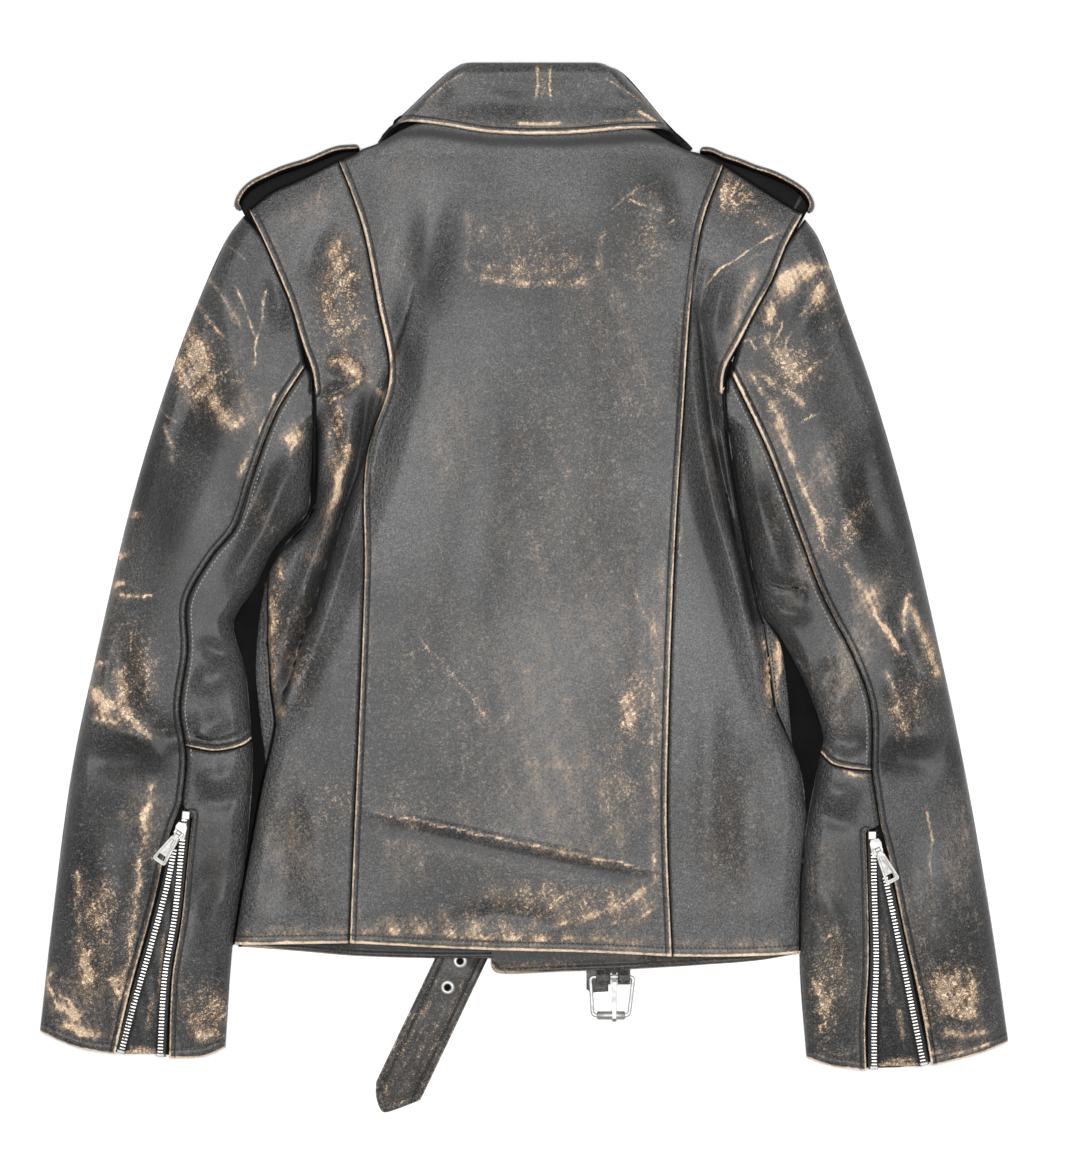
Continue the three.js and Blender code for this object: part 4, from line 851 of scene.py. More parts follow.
def worn_leather(name, dark=CHARCOAL, light=CHARCOAL_LIGHT, gloss=0.38, streak_turn=0.0):
    """Waxed leather whose colour has rubbed off where the 'wear' mark is high, with painted shade where the
    'shade' mark is high.
    """
    s = Shader(name)
    wear = s.mark("wear")
    shade = s.mark("shade")
    crackle = s.mark("crackle")
    # grain: pebbles of one and two millimetres, and longer wrinkles where the leather has creased
    pebble = s.cells(760)
    big_pebble = s.cells(390, vector=s.scaled((1.0, 0.72, 1.0), (0, 0, 0.4)))
    wrinkle_noise = s.noise(230, 2.0, 0.62, 1.6)
    wrinkle = s.math("ABSOLUTE", s.minus(s.times(wrinkle_noise, 2.0), 1.0))
    wrinkle = s.ramp(wrinkle, 0.0, 0.26)
    # broad and fine patterns for the colour
    cloud = s.noise(9, 2.0, 0.6)
    patch = s.noise(40, 4.0, 0.66, 0.4)
    speck = s.noise(380, 2.0, 0.7)
    brush = s.noise(130, 3.0, 0.64, vector=s.scaled((1.0, 0.11, 1.0), (0, 0, streak_turn)))
    brush2 = s.noise(150, 3.0, 0.64, vector=s.scaled((1.0, 0.10, 1.0), (0, 0, streak_turn + 1.35)))
    streak = s.math("MAXIMUM", brush, brush2)
    tops = s.minus(0.45, s.times(s.plus(pebble, big_pebble), 0.6))
    folds = s.times(s.minus(wrinkle, 0.62), s.plus(0.12, s.times(crackle, 0.5)))
    level = s.plus(s.times(wear, 1.16), s.ramp(wear, 0.54, 0.92, 0.0, 1.00))
    for pattern, middle, amount in ((patch, 0.5, 0.62), (streak, 0.57, 0.95), (speck, 0.5, 0.30),
                                    (tops, 0.0, 0.60), (folds, 0.0, 1.0)):
        level = s.plus(level, s.times(s.minus(pattern, middle), amount))
    allowed = s.ramp(wear, 0.10, 0.48)
    hazed = s.times(s.ramp(level, -0.15, 0.50), s.ramp(wear, 0.0, 0.35))
    scuffed = s.times(s.ramp(level, 0.16, 0.74), allowed)
    bare = s.times(s.ramp(level, 0.36, 0.92), s.ramp(wear, 0.18, 0.62))
    bright = s.times(s.ramp(level, 0.70, 1.20), s.ramp(wear, 0.45, 0.80))
    # the dark leather itself
    base = s.mix(s.ramp(cloud, 0.34, 0.68), dark, light)
    base = s.tinted(base, s.ramp(patch, 0.46, 0.74), 0.30, (0.115, 0.105, 0.095, 1))
    base = s.tinted(base, s.ramp(streak, 0.58, 0.80), 0.35, (0.145, 0.128, 0.110, 1))
    base = s.tinted(base, s.ramp(pebble, 0.28, 0.60), 0.60, (0.014, 0.014, 0.014, 1))
    colour = s.tinted(base, hazed, 0.66, HAZE)
    colour = s.tinted(colour, scuffed, 0.66, BROWN)
    colour = s.tinted(colour, bare, 0.86, TAN)
    colour = s.tinted(colour, bright, 0.85, SAND)
    # the fine cracks darkened: painted shade in the creases, stronger where the leather is crackled or rubbed
    # bare
    crack = s.plus(s.times(crackle, 0.45), s.times(bare, 0.26))
    crack = s.times(s.minus(1.0, wrinkle), s.plus(crack, 0.05, clamp=True))
    colour = s.mix(crack, colour, (0.020, 0.018, 0.016, 1))
    # the rims of the folded seams are rubbed through almost all the way along
    rim = s.plus(s.mark("rim"), s.times(s.minus(patch, 0.5), 0.75))
    rim = s.plus(rim, s.times(s.minus(speck, 0.5), 0.35))
    colour = s.tinted(colour, s.ramp(rim, 0.20, 0.55), 0.80, TAN)
    colour = s.tinted(colour, s.ramp(rim, 0.48, 0.92), 0.90, CREAM)
    # painted shade: the 'shade' mark darkens the colour nearly to black
    colour = s.tinted(colour, shade, 0.94, BLACK)
    # relief
    depth = s.bump(pebble, 0.00085, 0.8)
    depth = s.bump(big_pebble, 0.00120, 0.65, depth)
    crease = s.times(wrinkle, s.plus(0.16, s.times(crackle, 0.9)))
    depth = s.bump(crease, 0.00130, 0.9, depth)
    depth = s.bump(s.noise(26, 3.0, 0.5, 0.6), 0.0032, 0.5, depth)
    rough = s.plus(s.ramp(cloud, 0.3, 0.7, gloss - 0.03, gloss + 0.09), s.times(bare, 0.22))
    rough = s.plus(rough, s.times(s.minus(speck, 0.5), 0.16))
    rough = s.plus(rough, s.times(shade, 0.50), clamp=True)
    # the painted shade also dims the reflection
    shine = s.mix(shade, (1, 1, 1, 1), (0.1, 0.1, 0.1, 1))
    return s.set(Base_Color=colour, Roughness=rough, Normal=depth, Specular_IOR_Level=0.5,
                 Specular_Tint=shine, Coat_Weight=0.12, Coat_Roughness=0.28)


def plain_leather(name, dark, light, gloss, shine=0.3):
    """The inner face and the parts that are never seen worn."""
    s = Shader(name)
    cloud = s.noise(22, 4.0, 0.6)
    nap = s.noise(900, 2.0, 0.6)
    pebble = s.cells(700)
    colour = s.mix(s.ramp(cloud, 0.35, 0.65), dark, light)
    colour = s.tinted(colour, s.ramp(nap, 0.4, 0.7), 0.3, light)
    depth = s.bump(pebble, 0.0002, 0.5)
    depth = s.bump(nap, 0.0002, 0.5, depth)
    rough = s.ramp(cloud, 0.3, 0.7, gloss, gloss + 0.12)
    return s.set(Base_Color=colour, Roughness=rough, Normal=depth, Specular_IOR_Level=shine)


def zip_tape():
    """Black woven tape."""
    s = Shader("zip_tape_weave")
    rib_a = s.noise(1, 0, 0.5, vector=s.scaled((1600, 90, 1)))
    rib_b = s.noise(1, 0, 0.5, vector=s.scaled((120, 1300, 1)))
    weave = s.times(s.plus(rib_a, rib_b), 0.5)
    colour = s.mix(s.ramp(weave, 0.35, 0.65), (0.008, 0.008, 0.009, 1), (0.035, 0.034, 0.033, 1))
    return s.set(Base_Color=colour, Roughness=s.ramp(weave, 0.3, 0.7, 0.75, 0.92),
                 Normal=s.bump(weave, 0.0002, 0.8), Specular_IOR_Level=0.3)


def nickel(name="nickel_plate", tone=(0.42, 0.415, 0.405, 1), dull=0.50):
    """Plated metal with faint scratches and dull spots."""
    s = Shader(name)
    haze = s.noise(180, 4.0, 0.6)
    scratch = s.noise(1, 3.0, 0.7, vector=s.scaled((1900, 160, 900), (0, 0, 0.5)))
    colour = s.mix(s.ramp(haze, 0.4, 0.75, 0.0, 0.5), tone, (0.22, 0.215, 0.205, 1))
    rough = s.plus(s.ramp(haze, 0.3, 0.75, dull, dull + 0.08), s.times(scratch, 0.08))
    depth = s.bump(scratch, 0.00006, 0.4)
    return s.set(Base_Color=colour, Roughness=rough, Metallic=1.0, Normal=depth)


def thread(name, tone, light):
    s = Shader(name)
    twist = s.noise(1500, 2.0, 0.6)
    colour = s.mix(twist, tone, light)
    return s.set(Base_Color=colour, Roughness=s.ramp(twist, 0.3, 0.7, 0.6, 0.8),
                 Normal=s.bump(twist, 0.0001, 0.6), Specular_IOR_Level=0.4)


# painted light: the back and the collar get a lighter copy of the sleeves' leather, for the brighter light
# that falls on the back
BACK_LIT_TONES = ((0.066, 0.0650, 0.0656, 1), (0.134, 0.1325, 0.1325, 1))
LEATHER_BACK = worn_leather("worn_leather_back", *BACK_LIT_TONES, streak_turn=0.1)
LEATHER_SLEEVE = worn_leather("worn_leather_sleeve", streak_turn=-0.25)
LEATHER_COLLAR = worn_leather("worn_leather_collar", *BACK_LIT_TONES, gloss=0.44, streak_turn=1.45)
LEATHER_BELT = worn_leather("worn_leather_belt", (0.058, 0.052, 0.046, 1), (0.125, 0.112, 0.098, 1),
                            0.45, -0.45)
# the inner face, near black and dull so that where it shows in the gaps it stands in for their shade
LINING = plain_leather("leather_inner_face", (0.004, 0.004, 0.004, 1), (0.010, 0.009, 0.009, 1), 0.75, 0.12)
PLAIN_LEATHER = plain_leather("plain_black_leather", (0.012, 0.012, 0.012, 1), (0.030, 0.029, 0.028, 1), 0.5)
# near-black leather that stands in for shade: in the gaps beside the body, under the collar's sides and in
# the eyelets
SHADOW_BLACK_LEATHER = plain_leather("shadowed_black_leather", (0.002, 0.002, 0.002, 1), (0.005, 0.005, 0.005, 1),
                             0.85, 0.08)
TAPE_CLOTH = zip_tape()
NICKEL = nickel()
NICKEL_BRUSHED = nickel("nickel_brushed", (0.62, 0.61, 0.59, 1), 0.56)
NICKEL_TEETH = nickel("nickel_teeth", (0.80, 0.79, 0.77, 1), 0.42)
BLACK_THREAD = thread("black_thread", (0.006, 0.006, 0.006, 1), (0.045, 0.043, 0.040, 1))
GREY_THREAD = thread("grey_thread", (0.12, 0.115, 0.105, 1), (0.42, 0.40, 0.37, 1))

# ------------------------------------------------------------------ where the colour has rubbed off

BACK_FIELDS = [
    # the broad haze of the lower back and the side panels
    (0.30, 34, -150, 84, 96, 0), (0.24, -40, -190, 60, 60, 0), (0.30, -182, -190, 30, 70, 0),
    (0.26, 160, -200, 30, 70, 0),
    # the big worn patch of the left shoulder
    (0.50, -146, 222, 24, 46, 6), (0.42, -134, 178, 20, 18, 0),
    (0.56, -146, 252, 17, 38, -8), (0.50, -137, 212, 13, 30, -8), (0.40, -129, 180, 14, 22, 0),
    (0.26, -150, 128, 12, 34, 0), (0.30, -170, 300, 26, 18, 30), (0.26, -120, 255, 18, 30, 0),
    (0.34, 8, 255, 50, 12, 0), (0.27, 8, 280, 52, 24, 0), (0.28, 66, 205, 40, 60, 0),
    (0.24, 30, 60, 88, 150, 0), (0.25, -10, -90, 108, 110, 0), (0.24, 60, -20, 60, 90, 0),
    (0.62, 84, -95, 12, 42, -10), (0.42, 72, -165, 26, 52, 0), (0.50, 20, -246, 66, 20, -6),
    (0.46, 74, -248, 36, 26, 20), (0.36, -40, -262, 66, 14, 0), (0.32, -92, -190, 28, 60, 0),
    (0.44, -92, -264, 36, 10, 0),
    (0.33, 96, 262, 26, 44, 0), (0.34, 100, 305, 14, 22, 20), (0.30, 90, 160, 30, 40, 0),
    (0.58, 168, 312, 17, 12, -30), (0.36, 186, 294, 26, 13, -30), (0.26, 150, 100, 10, 50, 10),
    (0.30, -150, -168, 24, 26, 10), (0.22, -176, -230, 40, 40, 0), (0.24, 160, -180, 44, 60, 0),
    (0.26, -60, 120, 26, 60, 0), (0.22, -70, -60, 50, 90, 0), (0.22, -100, 330, 30, 16, 20),
    (0.30, -178, -62, 11, 46, 18), (0.34, -196, -40, 5, 60, 2), (0.42, 196, -70, 6, 34, -10),
    (0.40, -150, 105, 10, 16, 0), (0.36, -160, 140, 8, 12, 0),
]
BACK_STROKES = [
    # above the hem's seam
    (0.56, 3.0, [(-214, -268), (-150, -270), (-60, -272)]),
    (0.62, 3.6, [(-62, -273), (20, -275), (110, -279)]),
    (0.50, 3.0, [(112, -279), (150, -280), (174, -280)]),
    (0.55, 3.0, [(-45, 302), (-44, 276), (-46, 250)]),
    (0.68, 2.8, [(-46, 250), (-20, 244), (10, 242), (40, 243), (60, 246)]),
    (0.40, 2.4, [(-34, 256), (0, 252), (40, 253)]),
    (0.36, 3.5, [(-20, 262), (14, 264), (50, 261)]),
    (0.60, 1.6, [(63, 288), (61, 264), (58, 245)]),
    (0.45, 3.0, [(-42, 299), (-34, 286), (-38, 270)]),
    (0.90, 1.1, [(-127, -175), (-85, -182), (-4, -200), (56, -212), (112, -223)]),
    (0.40, 3.4, [(-20, -198), (30, -208), (80, -220)]),
    (0.80, 1.1, [(-85, -35), (-60, -62), (-24, -108)]),
    (0.70, 1.2, [(84, 8), (99, -27), (101.5, -48)]),
    (0.80, 1.6, [(110, -223), (88, -243), (60, -255), (18, -268)]),
    (0.72, 1.4, [(110, -248), (90, -259), (64, -266)]),
    (0.30, 3.0, [(104, -232), (92, -262), (70, -276)]),
    (0.72, 1.0, [(68, 298), (78, 310), (95, 320), (114, 325)]),
    (0.80, 1.0, [(80, 310), (92, 305), (110, 299)]),
    (0.80, 1.0, [(97, 286), (108, 288), (120, 293)]),
    (0.62, 1.0, [(61, 286), (57, 262), (55, 238)]),
    (0.95, 2.4, [(-158, 183), (-143, 178), (-127, 169)]),
    (0.85, 1.5, [(-128, 170), (-118, 160), (-109, 150)]),
    (0.90, 1.5, [(-127, 169), (-138, 160), (-144, 153), (-158, 149)]),
    (0.60, 1.0, [(-160, 326), (-162, 314), (-163, 304)]),
    (0.55, 1.0, [(-178, 312), (-168, 302), (-150, 312)]),
    (0.80, 1.6, [(-152, 247), (-143, 242), (-134, 250), (-126, 240)]),
    (0.60, 1.3, [(-158, 236), (-148, 233), (-136, 238)]),
    (0.55, 1.0, [(-71, 318), (-80, 288), (-94, 258), (-103, 238)]),
    (0.55, 1.2, [(-107, 300), (-112, 280), (-118, 262)]),
    (0.50, 1.2, [(-98, 290), (-103, 262), (-110, 240)]),
    (0.62, 0.9, [(-129, 208), (-135, 186), (-142, 166)]),
    (0.95, 1.3, [(140, 238), (157, 256), (172, 264), (190, 276), (207, 285)]),
    (0.55, 1.0, [(158, 250), (176, 259), (200, 272)]),
    (0.80, 2.4, [(162, 331), (158, 314), (156, 296)]),
    (0.75, 1.6, [(168, 326), (166, 310), (166, 294)]),
    (0.62, 4.0, [(186, 262), (172, 226), (163, 196), (158, 172)]),
    (0.65, 2.0, [(103.5, -10), (102, -110), (104, -252)]),
    (0.45, 2.6, [(110, 40), (107, -60), (106, -160)]),
    (0.80, 5.0, [(-66, -273), (-20, -276), (34, -277)]),
    (0.65, 4.0, [(60, -279), (100, -282)]), (0.60, 4.0, [(140, -283), (208, -281)]),
    (0.62, 4.0, [(-224, -274), (-190, -272), (-158, -272)]),
    (0.98, 4.2, [(-137, 120), (-143, 96), (-149, 72), (-156, 50)]),
    (0.80, 5.0, [(-150, 66), (-158, 44), (-168, 20)]),
    (0.85, 1.4, [(-172, 6), (-175, -6), (-174, -14)]),
    (0.62, 6.0, [(-172, -14), (-180, -40), (-186, -66)]),
    (0.70, 1.2, [(-168, -2), (-180, -30), (-176, -60)]),
    (0.65, 1.2, [(-186, -28), (-178, -44), (-188, -72)]),
    (0.70, 4.5, [(-145, 148), (-148, 132), (-152, 120)]),
    (0.80, 4.0, [(-158, 138), (-149, 128), (-146, 118)]),
    (0.60, 1.2, [(-160, 104), (-176, 92), (-182, 80)]),
    (0.70, 2.6, [(-191, 30), (-193, 4), (-195, -20)]),
    (0.78, 2.6, [(-199, 10), (-200, -40), (-196, -78), (-191, -104)]),
    (0.62, 1.4, [(126, 112), (124, 60), (123, 10)]),
    (0.55, 1.2, [(141, 50), (139, 34), (136, 22)]),
    (0.55, 1.0, [(170, -26), (178, -28), (186, -27)]),
    (0.40, 2.0, [(155, 105), (164, 62), (172, 30)]),
    (0.95, 3.0, [(190, -30), (193, -56), (198, -88)]),
    (0.90, 1.6, [(203, -36), (202, -64), (200, -92)]),
    (0.60, 1.0, [(16, 350), (20, 348), (24, 351)]),
    (0.42, 1.2, [(40, 130), (70, 118), (112, 114)]), (0.40, 1.0, [(30, 40), (60, 32), (96, 34)]),
    (0.40, 1.0, [(-60, -20), (-30, -46), (6, -60)]), (0.40, 1.0, [(10, -10), (40, -22), (70, -20)]),
    (0.44, 1.1, [(-80, 60), (-66, 30), (-60, 4)]), (0.42, 1.2, [(-20, -130), (20, -140), (60, -138)]),
    (0.44, 1.0, [(84, -60), (96, -84), (98, -110)]), (0.46, 1.2, [(66, -74), (80, -92), (84, -118)]),
]
SLEEVE_FIELDS = {
    "left": [
        (0.60, -259, 184, 12, 22, 14), (0.55, -250, 156, 10, 18, 34), (0.55, -232, 135, 14, 9, -8),
        (0.50, -262, 178, 24, 40, 22), (0.30, -222, 160, 18, 40, 20), (0.30, -330, 20, 18, 60, 8),
        (0.36, -302, -62, 18, 46, 8), (0.46, -326, -92, 24, 16, -35), (0.33, -334, -265, 26, 62, 0),
        (0.38, -352, -322, 22, 30, 0), (0.34, -318, -318, 12, 30, 0), (0.30, -300, -180, 20, 40, 0),
        (0.56, -250, -332, 22, 22, 0), (0.56, -246, -354, 16, 6, 0), (0.32, -183, 121, 11, 17, 0),
        (0.26, -205, 62, 14, 30, 30), (0.24, -248, -200, 22, 50, 0), (0.34, -345, -50, 14, 60, 5),
    ],
    "right": [
        (0.36, 196, 120, 14, 46, -20), (0.40, 226, 30, 15, 56, -22), (0.42, 258, -58, 17, 46, -20),
        (0.70, 336, -318, 13, 16, 20), (0.85, 346, -334, 14, 7, -10), (0.80, 212, 246, 16, 8, 30),
        (0.46, 214, 176, 22, 22, -30), (0.38, 236, 96, 15, 34, -22), (0.56, 256, 46, 11, 34, -28),
        (0.46, 276, -4, 13, 26, -30), (0.30, 232, 236, 24, 16, -30), (0.40, 302, -92, 18, 34, -20),
        (0.34, 322, -56, 16, 40, -20), (0.38, 334, -318, 30, 30, 0), (0.28, 312, -262, 20, 50, -10),
        (0.30, 346, -200, 18, 70, -6), (0.40, 244, -300, 18, 54, 0), (0.30, 240, -220, 16, 36, 0),
        (0.36, 246, -366, 20, 8, 0), (0.24, 200, 62, 16, 40, -12), (0.30, 250, -96, 14, 20, 0),
    ],
}
SLEEVE_STROKES = {
    "left": [
        (1.10, 6.5, [(-252, 196), (-260, 190), (-262, 178), (-256, 166)]),
        (1.08, 5.2, [(-262, 176), (-256, 160), (-246, 147), (-236, 136)]),
        (1.08, 4.6, [(-242, 139), (-230, 131), (-219, 137)]),
        (0.80, 2.4, [(-276, 186), (-270, 172), (-262, 160)]),
        (0.85, 1.3, [(-252, 168), (-242, 171), (-231, 174)]),
        (0.75, 1.5, [(-252, 250), (-236, 228), (-222, 205)]),
        (0.80, 1.6, [(-262, 232), (-246, 210), (-236, 196)]),
        (0.60, 1.2, [(-238, 276), (-228, 268), (-218, 258)]),
        (0.80, 1.3, [(-203, 242), (-207, 216), (-212, 190), (-214, 172)]),
        (0.70, 1.2, [(-226, 240), (-218, 214), (-210, 198)]),
        (0.72, 2.0, [(-286, 132), (-279, 114), (-276, 98)]),
        (0.60, 1.2, [(-292, 150), (-284, 138), (-270, 132)]),
        (1.05, 4.0, [(-308, 62), (-308, 56)]), (1.05, 4.0, [(-320, 30), (-319, 25)]),
        (1.00, 3.2, [(-319, 7), (-318, 2)]), (1.00, 3.4, [(-335, -55), (-335, -61)]),
        (0.95, 1.5, [(-321, -4), (-306, -5), (-292, -3)]),
        (0.80, 1.4, [(-194, 158), (-203, 138), (-210, 120)]),
        (0.85, 3.0, [(-214, 116), (-220, 100), (-228, 88)]),
        (0.60, 1.2, [(-295, -33), (-298, -60), (-297, -93)]),
        (1.05, 3.0, [(-346, -78), (-330, -88), (-312, -100), (-300, -112), (-288, -120)]),
        (0.75, 2.0, [(-344, -100), (-326, -104), (-306, -112)]),
        (0.65, 5.0, [(-320, -60), (-316, -80), (-322, -96)]),
        (1.00, 2.0, [(-292, -150), (-296, -166), (-299, -180), (-301, -192)]),
        (0.85, 2.4, [(-300, -190), (-303, -214), (-307, -250), (-312, -290), (-322, -335)]),
        (0.75, 3.5, [(-311, -176), (-316, -184)]),
        (0.80, 4.5, [(-332, -232), (-334, -250), (-333, -266)]),
        (0.70, 2.0, [(-352, -220), (-353, -250), (-350, -282)]),
        (1.00, 4.6, [(-344, -282), (-346, -296), (-345, -312)]),
        (0.95, 5.0, [(-326, -306), (-323, -320)]),
        (1.05, 2.6, [(-371, -298), (-378, -312), (-370, -328), (-358, -334), (-350, -342)]),
        (0.80, 1.4, [(-376, -318), (-362, -322), (-354, -334)]),
        (1.05, 3.6, [(-366, -344), (-350, -349), (-334, -352)]),
        (0.90, 3.0, [(-176, 128), (-182, 120), (-190, 116)]),
        (0.70, 1.3, [(-173, 138), (-178, 122), (-186, 104)]),
        (0.90, 2.4, [(-262, -350), (-250, -352), (-240, -350)]),
    ],
    "right": [
        (0.86, 5.0, [(246, 251), (232, 257), (218, 252), (206, 240), (197, 224), (191, 204)]),
        (0.80, 4.5, [(191, 206), (193, 192), (203, 181), (214, 170)]),
        (0.75, 6.0, [(204, 190), (212, 178), (222, 166)]),
        (0.85, 1.5, [(244, 266), (240, 246), (230, 224), (222, 212)]),
        (0.90, 1.6, [(238, 250), (230, 230), (218, 214)]),
        (0.75, 1.2, [(252, 246), (244, 234), (234, 226)]),
        (0.62, 0.9, [(262, 226), (250, 214), (230, 204)]),
        (0.60, 0.9, [(262, 222), (248, 208), (232, 200)]),
        (0.75, 1.0, [(172, 196), (186, 200), (200, 202)]),
        (0.90, 1.3, [(206, 216), (200, 200), (192, 186)]),
        (0.85, 1.2, [(212, 206), (206, 194), (214, 182)]),
        (0.90, 1.2, [(178, 198), (184, 190)]),
        (0.90, 2.2, [(186, 172), (200, 162), (214, 152), (224, 146)]),
        (0.75, 1.4, [(220, 178), (230, 170), (238, 168)]),
        (0.78, 3.0, [(172, 178), (182, 166), (192, 150), (202, 134), (208, 112), (216, 92)]),
        (0.78, 1.8, [(214, 96), (222, 76), (232, 56), (238, 44)]),
        (0.90, 1.0, [(228, 62), (234, 46), (241, 28)]),
        (0.85, 1.2, [(216, 132), (226, 136), (234, 138)]),
        (0.85, 2.0, [(309, -2), (302, -8), (299, -20), (302, -36)]),
        (0.90, 3.0, [(251, 26), (266, 0), (280, -24), (300, -54)]),
        (0.80, 2.4, [(284, -60), (294, -86), (304, -117)]),
        (0.80, 2.6, [(304, -10), (318, -40), (329, -72)]),
        (0.70, 1.2, [(216, -52), (222, -66)]), (0.62, 1.0, [(214, 30), (220, 6), (224, -6)]),
        (0.62, 1.0, [(236, -36), (240, -52), (246, -66)]), (0.70, 1.0, [(226, -50), (228, -80)]),
        (1.10, 6.0, [(330, -302), (338, -316), (348, -332)]),
        (0.95, 3.0, [(352, -296), (356, -318), (350, -340)]),
        (0.90, 4.0, [(308, -300), (314, -326), (320, -350)]),
        (0.80, 3.0, [(330, -350), (350, -352), (368, -348)]),
        (0.70, 1.4, [(318, -170), (322, -200), (320, -232)]),
        (0.70, 1.2, [(240, -266), (244, -300), (242, -336)]),
        (0.80, 3.0, [(228, -306), (240, -330), (232, -352)]),
        (0.85, 2.0, [(250, -140), (262, -146), (272, -148)]),
        (0.80, 3.0, [(300, -368), (340, -366), (372, -358)]),
    ],
}
COLLAR_FIELDS = [
    (0.40, 15, 400, 8, 15, 0), (0.30, 98, 372, 14, 7, -30), (0.24, -8, 369, 44, 4, 0),
    (0.22, -60, 376, 26, 5, -8),
]
COLLAR_STROKES = [
    (0.75, 1.6, [(10, 414), (11, 398), (9, 386)]), (0.75, 1.6, [(21, 412), (20, 398), (21, 386)]),
    (0.60, 1.1, [(-45, 408), (-62, 398), (-80, 382)]), (0.60, 1.0, [(62, 404), (78, 394), (96, 382)]),
    (0.75, 2.0, [(88, 378), (98, 373), (108, 367)]), (0.75, 2.2, [(-8, 368), (12, 367), (32, 368)]),
    (0.60, 1.6, [(58, 369), (86, 371), (104, 369)]),
]
# where the leather has creased into small wrinkles
CRACKLE_FIELDS = [
    (1.0, -140, 225, 26, 50, -6), (0.8, -150, -170, 34, 40, 10), (0.7, 10, 262, 60, 34, 0),
    (0.55, 40, 120, 80, 110, 0), (0.8, -150, 140, 20, 40, 0), (0.7, 90, 280, 34, 50, 0),
    (0.8, 170, 305, 30, 24, -30), (0.6, 0, -240, 110, 40, 0), (0.6, 80, -120, 30, 70, 0),
    (0.8, -180, -40, 16, 70, 20), (0.45, 150, -160, 50, 90, 0), (0.5, -80, -100, 60, 140, 0),
    (0.9, -250, -325, 26, 40, 0), (0.8, -330, -250, 40, 90, 0), (0.7, -300, -70, 30, 60, 0),
    (0.8, 258, 50, 24, 60, -25), (0.8, 215, 180, 30, 50, -20), (0.8, 330, -310, 40, 50, 0),
    (0.7, -255, 170, 30, 60, 20), (0.9, 240, -310, 24, 60, 0), (0.7, 300, -90, 24, 60, -20),
    (0.6, 15, 395, 100, 24, 0), (0.5, 200, 40, 26, 60, -10), (0.5, -210, 60, 26, 60, 20),
]
# painted shade: under the collar's lower edge, and in the hollows beside the folds
SHADE_STROKES = [
    (0.90, 4.5, [(-120, 346), (-108, 356), (-97, 361), (-75, 361.5), (-25, 354.5), (30, 353.5), (90, 357.5),
                 (112, 356), (126, 350), (138, 343)]),
    (0.75, 6, [(-122, 166), (-125, 140), (-130, 106), (-139, 74), (-151, 34), (-163, -2), (-176, -40)]),
    (0.90, 7, [(-166, 150), (-166, 118), (-168, 86), (-176, 56), (-196, 30)]),
    (0.70, 8, [(-158, 90), (-168, 60), (-184, 40)]),
    (0.55, 6, [(-160, 20), (-172, -14), (-188, -60), (-197, -98)]),
    (0.50, 7, [(137, 236), (141, 204), (147, 160), (151, 120)]),
    (0.85, 6, [(150, 128), (158, 92), (168, 44), (178, -10), (186, -34)]),
    (0.90, 8, [(162, 140), (168, 92), (176, 44), (186, -4)]),
    (0.40, 6, [(-120, -188), (-60, -198), (30, -216), (100, -232)]),
]


STROKE_STRENGTH = 0.95


def rubbed(soft, drawn, thin, x, y):
    """Wear from soft fields, ragged strokes and thin scratches, together."""
    px, py = wobbled(x, y)
    uneven = 0.86 + 0.3 * ripple(x * 1.3, y * 0.8)
    broad = np.minimum(1.25 * fields(soft, px, py), 0.95)
    wide = [(0.42 * strength, width * 2.6, path) for strength, width, path in drawn if width > 1.4]
    halo = strokes(wide, px, py)
    core = strokes([(STROKE_STRENGTH * strength, width, path) for strength, width, path in drawn], px, py)
    fine = strokes([(0.8 * strength, width, path) for strength, width, path in thin], x, y)
    together = broad + halo * (1 - broad)
    return np.maximum(together + 0.55 * core * (1 - together), core) * uneven + 0.6 * fine * (1 - together)


def panel_marks(soft, drawn, thin, dark, painted_shade=()):
    """The function that gives a panel's wear, shade, crackle and rim marks, from the panel's own lists."""
    def marks(edges, x, y):
        wear = np.maximum(rubbed(soft, drawn, thin, x, y), edge_wear(edges, x, y))
        shade = np.maximum(edge_shade(edges, x, y), fields(dark, x, y))
        # the painted shade strokes
        shade = np.maximum(shade, strokes(painted_shade, x, y))
        return finished_marks(wear, shade, edge_rim(edges, x, y), x, y)
    return marks


def finished_marks(wear, shade, rim, x, y):
    return {"wear": wear * (1 - 0.75 * shade), "shade": shade, "crackle": fields(CRACKLE_FIELDS, x, y),
            "rim": rim}


# painted shade in the hollows, and broad darker places on the sleeves
BACK_SHADE_FIELDS = [
    (0.52, 146, 40, 16, 90, 10), (0.44, 150, 190, 14, 50, -6), (0.46, -152, 40, 18, 60, 30),
    (0.34, -94, 194, 9, 46, 14), (0.30, 124, 330, 30, 16, 0), (0.26, -120, 300, 10, 40, 10),
    (0.42, -80, 262, 9, 46, 10),
]
SLEEVE_SHADE_FIELDS = {
    "left": [(0.30, -238, -20, 24, 70, 0), (0.34, -246, -210, 20, 60, 0), (0.40, -276, 40, 24, 120, 18),
             (0.30, -236, 110, 18, 60, 20), (0.34, -300, -130, 44, 20, 0), (0.30, -186, 60, 20, 50, 20)],
    "right": [(0.34, 214, -20, 22, 80, 0), (0.26, 252, -210, 20, 60, 0), (0.24, 276, 90, 16, 90, -16),
              (0.20, 300, 60, 20, 90, -16), (0.40, 300, -130, 44, 18, 0), (0.36, 186, 70, 14, 60, -10)],
}


